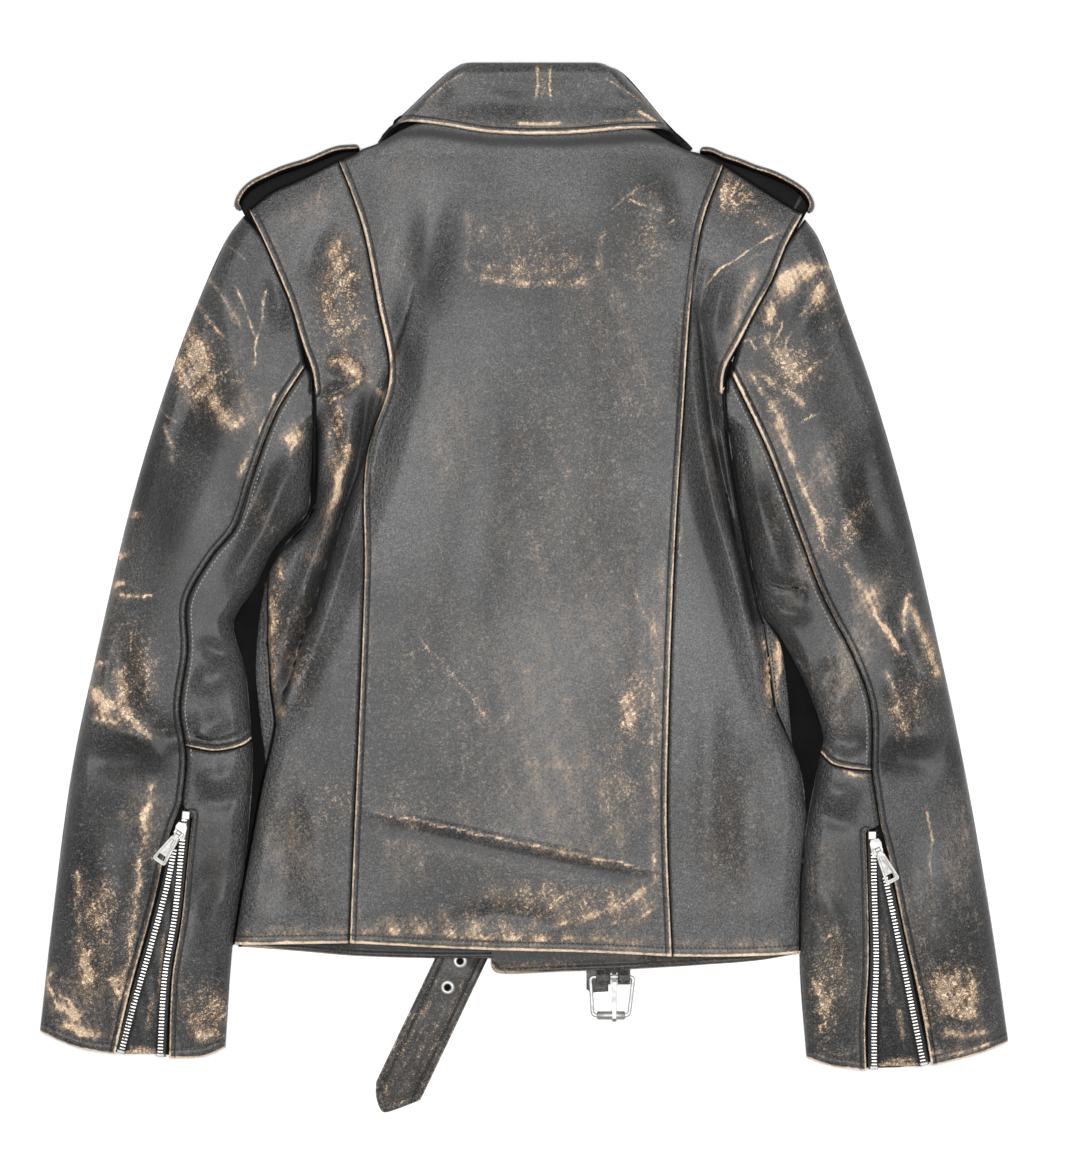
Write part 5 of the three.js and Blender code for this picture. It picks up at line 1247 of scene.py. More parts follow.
def scratches(seed, count, zones, strength=(0.35, 0.7)):
    """Short thin scratches, a few in each worn zone (x, y, half width, half height)."""
    dice = random.Random(seed)
    out = []
    for _ in range(count):
        cx, cy, rx, ry = dice.choice(zones)
        x = cx + rx * dice.uniform(-1, 1)
        y = cy + ry * dice.uniform(-1, 1)
        heading = dice.uniform(0, math.pi)
        length = dice.uniform(6, 30)
        bend = dice.uniform(-0.25, 0.25)
        dx, dy = math.cos(heading) * length / 2, math.sin(heading) * length / 2
        path = [(x - dx, y - dy), (x - dy * bend, y + dx * bend), (x + dx, y + dy)]
        out.append((dice.uniform(*strength), dice.uniform(0.7, 1.2), path))
    return out


BACK_SCRATCHES = scratches(11, 90, [(-143, 225, 24, 60), (10, 265, 60, 34), (30, 60, 90, 150),
                                    (10, -150, 100, 110), (84, -100, 24, 60), (170, 305, 26, 20),
                                    (95, 280, 24, 44)])
SLEEVE_SCRATCHES = {
    "left": scratches(12, 80, [(-255, 170, 30, 70), (-310, -60, 26, 60), (-330, -270, 36, 70),
                               (-300, 60, 26, 60), (-250, -320, 24, 40)]),
    "right": scratches(13, 90, [(218, 190, 30, 50), (250, 60, 26, 60), (300, -80, 26, 60),
                                (330, -300, 34, 60), (242, -300, 18, 60)]),
}

back_marks = panel_marks(BACK_FIELDS, BACK_STROKES, BACK_SCRATCHES, BACK_SHADE_FIELDS, SHADE_STROKES)
SLEEVE_MARKS = {side: panel_marks(SLEEVE_FIELDS[side], SLEEVE_STROKES[side], SLEEVE_SCRATCHES[side],
                                  SLEEVE_SHADE_FIELDS[side]) for side in SIDES}

# ------------------------------------------------------------------ sewn lines


def line_of(points, rounded=True, count=110):
    """A curve through the points, as evenly spaced ones."""
    return at_share(polyline(points, rounded), np.linspace(0, 1, count))


# rim wear: [share of the line, strength, width]
RIM_PRINCESS = {
    "left": [(0, .95, 1.9), (.2, .95, 1.8), (.45, 1.0, 1.6), (.6, .85, 1.5), (.64, .3, 1.2), (.70, .7, 2.4),
             (.74, 1.05, 3.4), (.9, 1.0, 3.2), (.94, .8, 1.8), (1, .7, 1.1)],
    "right": [(0, .95, 1.8), (.3, 1.05, 2.0), (.6, 1.0, 1.6), (.8, 1.0, 1.8), (.835, .9, 1.6),
              (.86, .35, 1.2), (.9, .5, 1.4), (.93, 1.0, 2.0), (.97, 1.0, 1.7), (1, .95, 1.4)],
}
RIM_ARMHOLE = {
    "left": [(0, .95, 2.3), (.2, 1.0, 2.2), (.6, 1.0, 1.8), (.9, .85, 1.4), (1, .8, 1.3)],
    "right": [(0, 1.05, 2.8), (.3, 1.05, 2.6), (.5, 1.0, 2.2), (.58, .5, 1.5), (.68, .9, 2.0), (1, 1.0, 2.0)],
}
RIM_SLEEVE = {
    "left": [(0, 1.0, 2.4), (.1, .95, 2.0), (.2, .65, 1.5), (.34, .35, 1.0), (.4, .2, .8), (.8, .2, .8),
             (.9, .4, 1.0), (.96, .8, 1.5), (1, .85, 1.6)],
    "right": [(0, 1.0, 2.0), (.15, .9, 1.9), (.3, .6, 1.4), (.36, .3, 1.0), (.6, .3, .9), (.7, .6, 1.3),
              (.8, .9, 2.0), (.9, 1.0, 2.5), (1, 1.05, 2.8)],
}
RIM_ELBOW = [(0, .85, 1.5), (.5, .9, 1.7), (1, 1.0, 2.1)]
RIM_CUFF = [(0, .85, 1.5), (.3, .95, 1.8), (.6, .8, 1.5), (1, .95, 1.8)]
RIM_HEM = [(0, .95, 3.0), (.3, .88, 2.4), (.5, 1.0, 3.3), (.8, .9, 2.6), (1, .95, 3.0)]
RIM_PIPING = [(0, 1.0, 1.7), (.5, .9, 1.5), (.8, .6, 1.2), (1, .35, 1.0)]
RIM_COLLAR = [(0, 0, 1.2), (.08, 0, 1.6), (.12, .9, 1.9), (.25, 1.05, 2.2), (.5, 1.05, 2.6), (.75, 1.05, 2.4),
              (.86, .8, 1.8), (.90, 0, 1.4), (1, 0, 1.0)]

SURFACES = {}           # each panel's height, by name
STITCHES = {}           # stitch places by thread and group


def panel_surface(name, base, edges):
    """A panel's height: the calm surface, with what its seams do to it."""
    def height(x, y):
        return base(x, y) + edge_relief(edges, x, y)
    SURFACES[name] = height
    return height


def cloth(name, grid, base, edges, marks, materials, thickness=LEATHER):
    """A panel: a grid in plan raised to its height, with its edges' shapes and its marks."""
    outer = over(grid, panel_surface(name, base, edges))
    return add_shell(name, outer, thickness, materials, marks(edges, grid[..., 0], grid[..., 1]))


STITCH = {"length": 2.5, "pitch": 3.5, "wide": 1.0, "high": 0.45}


def stitch_row(group, surface, line, offset, start=0.0, stop=1.0, thread="black"):
    """A row of stitches beside a line; offset is to its left-hand side."""
    pitch = STITCH["pitch"]
    total = lengths_of(line)[-1]
    places = np.arange(start * total + pitch / 2, stop * total - pitch / 2, pitch) / total
    if len(places) == 0:
        return
    nudge = NUDGE / total
    point = at_share(line, places)
    way = unit(at_share(line, places + nudge) - at_share(line, places - nudge))
    point = point + offset * np.stack([-way[:, 1], way[:, 0]], axis=1)
    height = SURFACES[surface]
    x, y = point[:, 0], point[:, 1]
    z = height(x, y)
    half = 1.0
    ahead = height(x + way[:, 0] * half, y + way[:, 1] * half)
    behind = height(x - way[:, 0] * half, y - way[:, 1] * half)
    aside = height(x - way[:, 1] * half, y + way[:, 0] * half)
    other = height(x + way[:, 1] * half, y - way[:, 0] * half)
    ax = np.stack([way[:, 0], way[:, 1], (ahead - behind) / (2 * half)], axis=1)
    ay = np.stack([-way[:, 1], way[:, 0], (aside - other) / (2 * half)], axis=1)
    ax, ay = unit(ax), unit(ay)
    az = np.cross(ax, ay)
    origin = np.stack([x, y, z], axis=1) + az * 0.06
    STITCHES.setdefault((thread, group), []).extend(zip(origin, ax, ay, az))


def make_stitches():
    shape, faces = capsule(STITCH["length"], STITCH["wide"], STITCH["high"])
    for (tone, group), places in STITCHES.items():
        points, copied = copies(shape, faces, places)
        material = BLACK_THREAD if tone == "black" else GREY_THREAD
        add_mesh(f"stitches_{group}_{tone}", points, copied, [material])

# ------------------------------------------------------------------ the back


def back_panels():
    princess = {side: line_of(PRINCESS[side]) for side in SIDES}
    armhole = {side: line_of(ARMHOLE[side]) for side in SIDES}
    hem = {key: line_of(HEM[key]) for key in HEM}
    neck = line_of(NECK, False)
    shoulder = {side: line_of(SHOULDER[side]) for side in SIDES}

    # the 'dark' neck edge paints shade along the neck, under the collar
    centre_edges = [("over", princess["left"], RIM_PRINCESS["left"]),
                    ("over", princess["right"], RIM_PRINCESS["right"]),
                    ("hem", hem["centre"], RIM_HEM), ("dark", neck, None)]
    grid = panel_grid(princess["left"], princess["right"], hem["centre"],
                      neck)
    cloth("back_panel_center", draw_in(grid), body_height, centre_edges, back_marks, [LEATHER_BACK, LINING])
    for side, sign in (("left", 1), ("right", -1)):
        outside = np.vstack([polyline(SIDE[side]), polyline(ARMHOLE[side])[1:]])
        # the 'dark' shoulder edge paints shade along the shoulder
        edges = [("under", princess[side], None), ("over", armhole[side], RIM_ARMHOLE[side]),
                 ("hem", hem[side], RIM_HEM), ("dark", shoulder[side], None)]
        if side == "left":
            grid = panel_grid(outside, princess[side], hem[side], shoulder[side], ROLLED, SEWN)
        else:
            grid = panel_grid(princess[side], outside, hem[side], shoulder[side][::-1], SEWN, ROLLED)
        name = f"back_panel_side_{side}"
        cloth(name, draw_in(grid), body_height, edges, back_marks, [LEATHER_BACK, LINING])
        stitch_row("back", name, armhole[side], -sign * STITCH_IN, 0.02, 0.97)
        stitch_row("back", name, hem[side], HEM_STITCH_IN, 0.03, 1.0)
    stitch_row("back", "back_panel_center", princess["left"], -STITCH_IN, 0.02, 0.99)
    stitch_row("back", "back_panel_center", princess["right"], STITCH_IN, 0.02, 0.99)
    stitch_row("back", "back_panel_center", hem["centre"], HEM_STITCH_IN, 0.0, 1.0)

# ------------------------------------------------------------------ the fronts, which it lies on

LEFT_FRONT_EDGE = 48
RIGHT_FRONT_EDGE = -26
STRIP_FOOT = 4.2        # height of a front's side edge, where it turns up into its strip
FRONT_HEM = {
    "left": [(-227, -283), (-189, -286), (-137, -290), (-72, -292), (48, -292)],
    "right": [(-26, -298), (-23.5, -302.5), (-17.5, -304), (27, -302.5), (136.5, -298), (188, -294),
              (216, -289)],
}
EPAULETTE_LINE = {
    "left": [(-130.5, 349.2), (-145, 348.2), (-160, 342.5), (-180, 335.2), (-200, 328), (-214, 320.5),
             (-223.2, 311.5), (-226.3, 304.5), (-224.5, 301.6)],
    "right": [(139.5, 346.8), (148, 346.4), (160, 340.9), (180, 334), (200, 326.4), (213, 320),
              (222.5, 311.5), (226.5, 303.5), (225.2, 299.4)],
}


def front_lift(x, y):
    lapel = 2.2 * smooth(45, 75, y) * smooth(172, 148, np.abs(x))
    belt = 3.4 * smooth(-205, -235, y) * smooth(-170, -130, x) * smooth(150, 105, x)
    return lapel + belt


def front_top(side, x, y):
    """The height of a front's upper, inner face."""
    over = 3.0 * smooth(112, 90, x) if side == "right" else 0.0
    return LEATHER + front_lift(x, y) + over


def front_panel(side, sign):
    """sign is +1 for the left front: the way from its side edge towards the middle."""
    outside = np.vstack([polyline(FRONT_SIDE[side]), polyline(ARMHOLE[side])[1:]])
    seam_x = SIDE_X[side]
    middle_x = LEFT_FRONT_EDGE if side == "left" else RIGHT_FRONT_EDGE
    shoulder = [(x + sign * 0.3, y - 0.3) for x, y in EPAULETTE_LINE[side][:-1]]
    neck_y = 345
    top = line_of([outside[-1]] + shoulder[::-1] + [(middle_x, neck_y)])
    hem = line_of(FRONT_HEM[side])
    if side == "right":
        hem = hem[::-1]
    middle = line_of([hem[-1], (middle_x, neck_y)], False)
    grid = panel_grid(outside, middle, hem, top,
                      ROLLED, PLAIN, (0, .6, 1.4, 2.6), PLAIN, 5.0)
    x, y = grid[..., 0], grid[..., 1]
    from_edge = np.abs(x - x[:, :1])
    under = front_lift(x, y) + (3.0 * smooth(112, 90, x) if side == "right" else 0)
    curl = STRIP_FOOT * (1 - round_in(from_edge, 7.0))
    flat = np.stack([x, y, under * smooth(4, 26, from_edge) + curl], axis=-1)
    # the strip that turns up and in again to the side seam
    edge_x, edge_y = x[:, 0], y[:, 0]
    reach = np.clip(sign * (seam_x(edge_y) - edge_x) - 0.3, 0.0, 14.0) * smooth(150, 110, edge_y)
    rise = 0.8 + np.maximum(side_edge_z(edge_y) - 5.6, 0.0) * smooth(0.5, 3.0, reach)
    reach = np.maximum(reach, 0.3)
    turn = np.linspace(0, math.pi / 2, 12)[1:][::-1]
    strip_x = edge_x[:, None] + sign * reach[:, None] * (1 - np.cos(turn))
    strip_z = STRIP_FOOT + rise[:, None] * np.sin(turn)
    strip = np.stack([strip_x, np.broadcast_to(edge_y[:, None], strip_x.shape), strip_z], axis=-1)
    outer = np.concatenate([strip, flat], axis=1)
    seam = line_of(np.stack([seam_x(edge_y), edge_y], axis=1)[edge_y < 60], False, 160)
    marks = back_marks([("under", seam, None)], outer[..., 0], outer[..., 1])
    bare = np.ones(outer.shape[:2])
    bare[:, 16:] = 0.0
    for key in ("wear", "shade"):
        marks[key] = marks[key] * bare
    # painted shade over the front's upper part, where it shows beside the armholes and under the epaulettes
    marks["shade"] = np.maximum(marks["shade"], smooth(180, 200, outer[..., 1]))
    add_shell(f"front_panel_{side}", outer, LEATHER, [LEATHER_BACK, LINING], marks, 2, facing=np.s_[:, :4])
    across = {"edge": (edge_y, edge_x), "reach": (edge_y, reach), "rise": (edge_y, rise)}

    def strip_height(px, py):
        start, width, high = (np.interp(py, *across[key]) for key in ("edge", "reach", "rise"))
        share = np.clip(sign * (px - start) / np.maximum(width, 0.5), 0, 1)
        return STRIP_FOOT + high * np.sqrt(share * (2 - share))
    SURFACES[f"front_strip_{side}"] = strip_height
    shown = (edge_y > -134) & (edge_y < 10) if side == "left" else (edge_y > -116) & (edge_y < -24)
    stitched = line_of(np.stack([seam_x(edge_y), edge_y], axis=1)[shown], False, 120)
    stitch_row("back", f"front_strip_{side}", stitched, sign * 3.4, 0.0, 1.0)


def hem_facing(side):
    """The stitched facing along the inside of a front's hem, of which a strip shows below the back."""
    hem = line_of(FRONT_HEM[side])
    lift = 26
    upper = hem + np.array([0, lift])
    if side == "left":
        keep = hem[:, 0] < -24
        hem, upper = hem[keep], upper[keep]
        hem, upper = line_of(hem, False), line_of(upper, False)
    left = line_of([hem[0], upper[0]], False)
    right = line_of([hem[-1], upper[-1]], False)
    grid = panel_grid(left, right, hem, upper,
                      PLAIN, PLAIN, SEWN, PLAIN, 2.2)
    rim = [(0, 1.0, 2.6), (.08, 1.0, 2.8), (.2, .6, 1.4), (.5, .5, 1.1), (1, .5, 1.1)]

    def base(x, y):
        side_fade = smooth(-227, -216, x) * smooth(217, 206, x)
        return front_top(side, x, y) + 0.5 + 0.55 * side_fade

    edges = [("over", hem, rim)]
    cloth(f"front_hem_facing_{side}", grid, base, edges, facing_marks, [LEATHER_BACK, LINING], 0.7)
    stitch_row("hem", f"front_hem_facing_{side}", hem, STITCH_IN, 0.01, 0.98)


def facing_marks(edges, x, y):
    rubbed_places = [(0.55, 8, -298, 44, 5, 4), (0.3, 130, -294, 80, 5, 0)]
    wear = np.maximum(edge_wear(edges, x, y), fields(rubbed_places, x, y))
    blank = np.zeros(x.shape)
    # painted shade, at least half, on the facing where it shows below the back's hem
    return {"wear": wear, "shade": np.maximum(edge_shade(edges, x, y), 0.5), "crackle": blank + 0.4,
            "rim": edge_rim(edges, x, y)}


def side_fold(side, sign):
    """The slack of the front beside the body, low between body and sleeve, in near-black leather that paints
    the shade of that gap.
    """
    low, high = {"left": (-276, 182), "right": (-284, 182)}[side]
    sleeve = SLEEVES[side]
    sleeve_x = outline_x(sleeve["innerLower"] + sleeve["innerUpper"][1:])
    body_x = outline_x(FRONT_SIDE[side])
    rows, columns = 90, 12
    y = np.linspace(low, high, rows)
    a = np.stack([body_x(y) + sign * 7.0, y], axis=1)
    b = np.stack([np.minimum(sleeve_x(y) * sign, body_x(y) * sign) * sign - sign * 5.0, y], axis=1)
    t = np.linspace(0, 1, columns)[None, :, None]
    grid = a[:, None] * (1 - t) + b[:, None] * t
    sag = 1.5 + 0.4 * np.sin(np.pi * t[..., 0]) * np.ones((rows, 1))
    blank = np.zeros(sag.shape)
    add_shell(f"front_side_fold_{side}", over(grid, sag), 1.2, [SHADOW_BLACK_LEATHER, SHADOW_BLACK_LEATHER],
              {"wear": blank, "shade": blank, "crackle": blank}, 2)


def front_inside():
    """Lapels and the front zip's tape: hidden, so plain."""
    for side, sign in (("left", -1), ("right", 1)):
        outline = [(sign * 4, 86), (sign * 84, 205), (sign * 96, 255), (sign * 70, 284), (sign * 12, 240)]
        plate(f"lapel_{side}_leather", outline, 0.0, 1.5, PLAIN_LEATHER)
    y = np.linspace(-270, 40, 40)
    xs = [RIGHT_FRONT_EDGE - 0.4 - 12 * t for t in (1, 0.75, 0.5, 0.25, 0)]
    grid = np.stack(np.meshgrid(xs, y), axis=-1)
    z = LEATHER + front_lift(grid[..., 0], grid[..., 1]) + 2.1
    add_shell("front_zip_tape", over(grid, z), 1.0, [TAPE_CLOTH, TAPE_CLOTH])


def plate(name, outline, base, thickness, material, bevel=0.5):
    """A thin flat piece with rounded edges."""
    outline = np.asarray(outline, float)
    x, y = outline.T
    if np.sum(x * np.roll(y, -1) - np.roll(x, -1) * y) < 0:
        outline = outline[::-1]
    count = len(outline)

    inwards = corner_ways(outline)
    head = base + thickness
    rings = [(bevel, base), (0.0, base + bevel), (0.0, head - bevel), (0.45 * bevel, head - 0.15 * bevel),
             (bevel * 1.3, head)]
    points = np.vstack([np.column_stack([outline + inwards * by, np.full(count, z)]) for by, z in rings])
    index = np.arange(len(points)).reshape(len(rings), count)
    caps = [index[0][::-1][None], index[-1][None]]
    return add_mesh(name, points, [ring_quads(index)] + caps, [material])

# ------------------------------------------------------------------ the collar

COLLAR_TOP = 415
COLLAR = {
    "left": [(-115, 352.5), (-109.5, 362), (-87, 385), (-60, 410), (-52, COLLAR_TOP)],
    "right": [(132, 348.5), (120, 360), (100, 385), (77, 410), (66, COLLAR_TOP)],
    "lower": [(-115, 352.5), (-106, 363), (-97, 368.5), (-75, 368), (-25, 360.5), (30, 359.5), (90, 364),
              (112, 363), (122, 358), (132, 348.5)],
}
COLLAR_FOLD_REACH = 9
COLLAR_X = {side: outline_x(COLLAR[side]) for side in SIDES}
COLLAR_FOLDS = [
    (1.6, 10, [(-80, 376), (-30, 384), (20, 380)]), (-1.2, 9, [(-40, 398), (20, 396), (70, 400)]),
    (1.4, 8, [(60, 372), (84, 384), (78, 404)]), (-1.3, 8, [(-92, 374), (-70, 388), (-56, 404)]),
]


def collar_height(x, y):
    sides = (round_in(np.maximum(0, x - COLLAR_X["left"](y)), 12)
             * round_in(np.maximum(0, COLLAR_X["right"](y) - x), 12))
    rise = mix(23.5, 32, smooth(352, 408, y)) + fold_height(COLLAR_FOLDS, x, y)
    fold = mix(1, 0.84, 1 - round_in(np.maximum(0, COLLAR_TOP - y), COLLAR_FOLD_REACH))
    return EDGE_Z + 1 + (rise - EDGE_Z - 1) * sides * fold


def collar_marks(edges, x, y):
    wear = np.maximum(fields(COLLAR_FIELDS, x, y), strokes(COLLAR_STROKES + COLLAR_SCRATCHES, x, y))
    wear = np.maximum(wear, edge_wear(edges, x, y))
    # painted shade at the leaf's two lower corners; the rim's bare crest stops there
    corners = ((1 - smooth(-104, -96, x)) * (1 - smooth(364, 369, y))
               + smooth(107, 115, x) * (1 - smooth(363, 368, y)))
    shade = np.maximum(edge_shade(edges, x, y), 0.85 * corners)
    return finished_marks(wear, shade, edge_rim(edges, x, y) * (1 - corners), x, y)


COLLAR_SCRATCHES = scratches(14, 12, [(15, 395, 60, 16), (80, 386, 26, 14), (-60, 388, 26, 12)], (0.2, 0.4))


def collar():
    lower = line_of(COLLAR["lower"])
    left, right = line_of(COLLAR["left"]), line_of(COLLAR["right"])
    top = line_of([(-52, COLLAR_TOP), (66, COLLAR_TOP)], False)
    edges = [("over", lower, RIM_COLLAR)]
    height = panel_surface("collar_leaf_leather", collar_height, edges)
    grid = panel_grid(left, right, lower, top, ROLLED, ROLLED,
                      SEWN, ROLLED, 1.5)
    face = over(grid, height)
    # over the fold at the top, and back down inside to the neck
    turn = np.linspace(0, math.pi, 15)[1:]
    start = face[-1]
    drop = np.minimum(13.0, (start[:, 2] - 5.5) * 0.8)
    back = []
    for angle in turn:
        inwards = 1.2 * np.sin(angle)
        z = start[:, 2] - drop * (1 - np.cos(angle)) / 2
        shrink = 1 - 0.05 * (1 - math.cos(angle))
        px = 7 + (start[:, 0] - 7) * shrink
        back.append(np.stack([px, start[:, 1] + inwards - 3.0 * (angle / math.pi) ** 2, z], axis=-1))
    for k in range(1, 9):
        last = back[13]
        z = mix(last[:, 2], np.minimum(last[:, 2], 14.5), k / 8)
        back.append(np.stack([last[:, 0], last[:, 1] - 4.6 * k, z], axis=-1))
    outer = np.concatenate([face, np.array(back)], axis=0)
    marks = collar_marks(edges, outer[..., 0], outer[..., 1])
    hidden = np.ones(outer.shape[:2])
    hidden[len(face) + 5:] = 0.0
    marks["wear"] = marks["wear"] * hidden
    add_shell("collar_leaf_leather", outer, DOUBLE, [LEATHER_COLLAR, LINING], marks, facing=np.s_[:10])
    stitch_row("collar", "collar_leaf_leather", lower, STITCH_IN, 0.08, 0.90)
    # near-black plates under the collar's sides, standing in for the shade beneath them
    for side, sign, shift in (("left", -1, 6), ("right", 1, 10)):
        outline = [(sign * 3 + shift, 412), (sign * 58 + shift, 411), (sign * 92 + shift, 383),
                   (sign * 112 + shift, 362), (sign * 121 + shift, 352), (sign * 121 + shift, 330),
                   (sign * 82 + shift, 296), (sign * 20 + shift, 330), (sign * 3 + shift, 350)]
        plate(f"collar_front_leaf_{side}", outline, 0.0, 3.2, SHADOW_BLACK_LEATHER, 1.2)
    # the collar's fall at each side, from the leaf's folded edge down to the fronts' collar
    for side in SIDES:
        collar_side(side)


def collar_side(side):
    """Closes the collar's rolled side between the leaf's edge and the surface."""
    line = line_of(COLLAR[side], True, 60)
    sign = 1 if side == "left" else -1
    levels = np.linspace(0, 1, 8)
    rows = []
    for t in levels:
        z = 5.2 - 4.2 * t
        out = line[:, 0] + sign * (0.4 + 5.0 * t ** 2.2)
        rows.append(np.column_stack([out, line[:, 1] - 1.0 * t, np.full(60, z)]))
    outer = np.array(rows)
    if side == "right":
        outer = outer[:, ::-1]
    blank = np.zeros(outer.shape[:2])
    # painted shade over the whole rolled side
    add_shell(f"collar_side_{side}", outer, 1.2, [LEATHER_COLLAR, LINING],
              {"wear": blank, "shade": blank + 0.8, "crackle": blank}, 2)

# ------------------------------------------------------------------ the sleeves

SLEEVES = {
    "left": {
        "outer": [(-384, -350), (-374, -260), (-358, -140), (-339, -50), (-311, 70), (-284, 160), (-262, 220),
                  (-235, 280), (-222, 297)],
        "innerLower": [(-237, -363), (-231, -280), (-221, -213), (-215, -138), (-216, -118)],
        "innerUpper": [(-216, -118), (-221, -64), (-230, -25), (-213, 2), (-199, 31), (-182, 50), (-171, 63),
                       (-169.5, 84), (-167.8, 129), (-167.8, 157)],
        "zipEdge": [(-323, -367), (-311, -316), (-293, -250), (-280, -194), (-270.5, -169)],
        "seamLower": [(-270.5, -169), (-267, -135), (-268, -123)],
        "seamUpper": [(-268, -123), (-272, -94), (-266, -48), (-266, -9), (-247, 26), (-228, 50), (-214, 92),
                      (-195, 142), (-173, 177)],
        "piping": [(-281, -370.5), (-278, -304), (-271, -263), (-266, -215), (-262, -177)],
        "elbow": [(-268, -123), (-243, -127), (-221, -122), (-216, -118)],
        "cuffOuter": [(-323, -367), (-350, -363), (-384, -350)],
        "cuffUnder": [(-281, -370.5), (-253, -369), (-237, -363)],
        "cuffBelow": [(-384, -350), (-350, -361), (-300, -367), (-253, -367), (-239, -361)],
        "armholeTop": [(-173, 177), (-184, 225), (-195, 252), (-207, 279), (-222, 297)],
        "armholeUnder": [(-173, 177), (-168.8, 171), (-167.8, 157)],
        "armholeBelow": [(-222, 297), (-209.5, 278), (-197.5, 251), (-186.5, 224), (-176, 190), (-170, 160)],
        "chainOuter": [(-277, -204), (-283, -234), (-298, -289), (-308, -323), (-319.5, -366)],
        "chainInner": [(-267, -178), (-269, -199), (-275, -257), (-283, -305), (-287, -369)],
        "stop": (-266.5, -174.5),
    },
    "right": {
        "outer": [(384, -358), (370, -260), (349, -140), (330, -50), (302, 70), (276, 160), (255, 220),
                  (233, 280), (223, 294)],
        "innerLower": [(224, -371), (218.5, -290), (222, -203), (233, -139), (235, -129)],
        "innerUpper": [(235, -129), (237.5, -118), (225, -79), (203, -37), (190, -19), (185, 1), (178, 38),
                       (171.5, 71), (169, 88), (161.5, 136), (160.2, 157)],
        "zipEdge": [(322, -376.5), (314, -331), (300, -268), (288, -210), (281.5, -185)],
        "seamLower": [(281.5, -185), (276, -150), (275, -142.5)],
        "seamUpper": [(275, -142.5), (274, -92), (261, -54), (236, -4), (214, 54), (192, 112), (164, 171)],
        "piping": [(271, -380.5), (270, -344), (272.5, -295), (271.5, -231), (270, -191)],
        "elbow": [(275, -142.5), (255, -140.5), (243, -137), (235, -129)],
        "cuffOuter": [(322, -376.5), (356, -368), (384, -358)],
        "cuffUnder": [(271, -380.5), (245, -377), (224, -371)],
        "cuffBelow": [(384, -358), (356, -366), (300, -378), (245, -375), (226, -369)],
        "armholeTop": [(164, 171), (172, 199), (183, 221), (196, 245), (207, 272), (223, 294)],
        "armholeUnder": [(164, 171), (161, 166), (160.2, 157)],
        "armholeBelow": [(223, 294), (209.5, 271), (198.5, 244), (185.5, 220), (169, 188), (163, 160)],
        "chainOuter": [(286, -226), (293.5, -260), (301.5, -300), (308, -332), (317, -375.5)],
        "chainInner": [(275, -194), (275.6, -231), (277.4, -295), (276, -335), (276, -379)],
        "stop": (275, -190.5),
    },
}
TAPE_HALF = 3.0
TAPE_DROP = 0.9
GUSSET_DROP = 2.4
UNDERSIDE_ROLL = 5.5


def sleeve_height_of(side):
    data = SLEEVES[side]
    sign = 1 if side == "left" else -1
    outer_x = outline_x(data["outer"])
    inner_x = outline_x(data["innerLower"] + data["innerUpper"][1:])

    def height(x, y):
        from_outer = np.maximum(0, sign * (x - outer_x(y)))
        from_inner = np.maximum(0, sign * (inner_x(y) - x)) + fade_at_armpit(y)
        width = np.abs(inner_x(y) - outer_x(y))
        across = np.clip(from_outer / width, 0, 1)
        crown = 1 - 0.12 * (2 * across - 1) ** 2 * smooth(170, 110, y)
        full = read(SLEEVE_HEIGHT, y) * crown + fold_height(SLEEVE_FOLDS[side], x, y)
        full = full + ledge_height(SLEEVE_LEDGES[side], x, y)
        return EDGE_Z + (full - EDGE_Z) * round_in(from_outer, ROLL) * round_in(from_inner, ROLL)
    return height


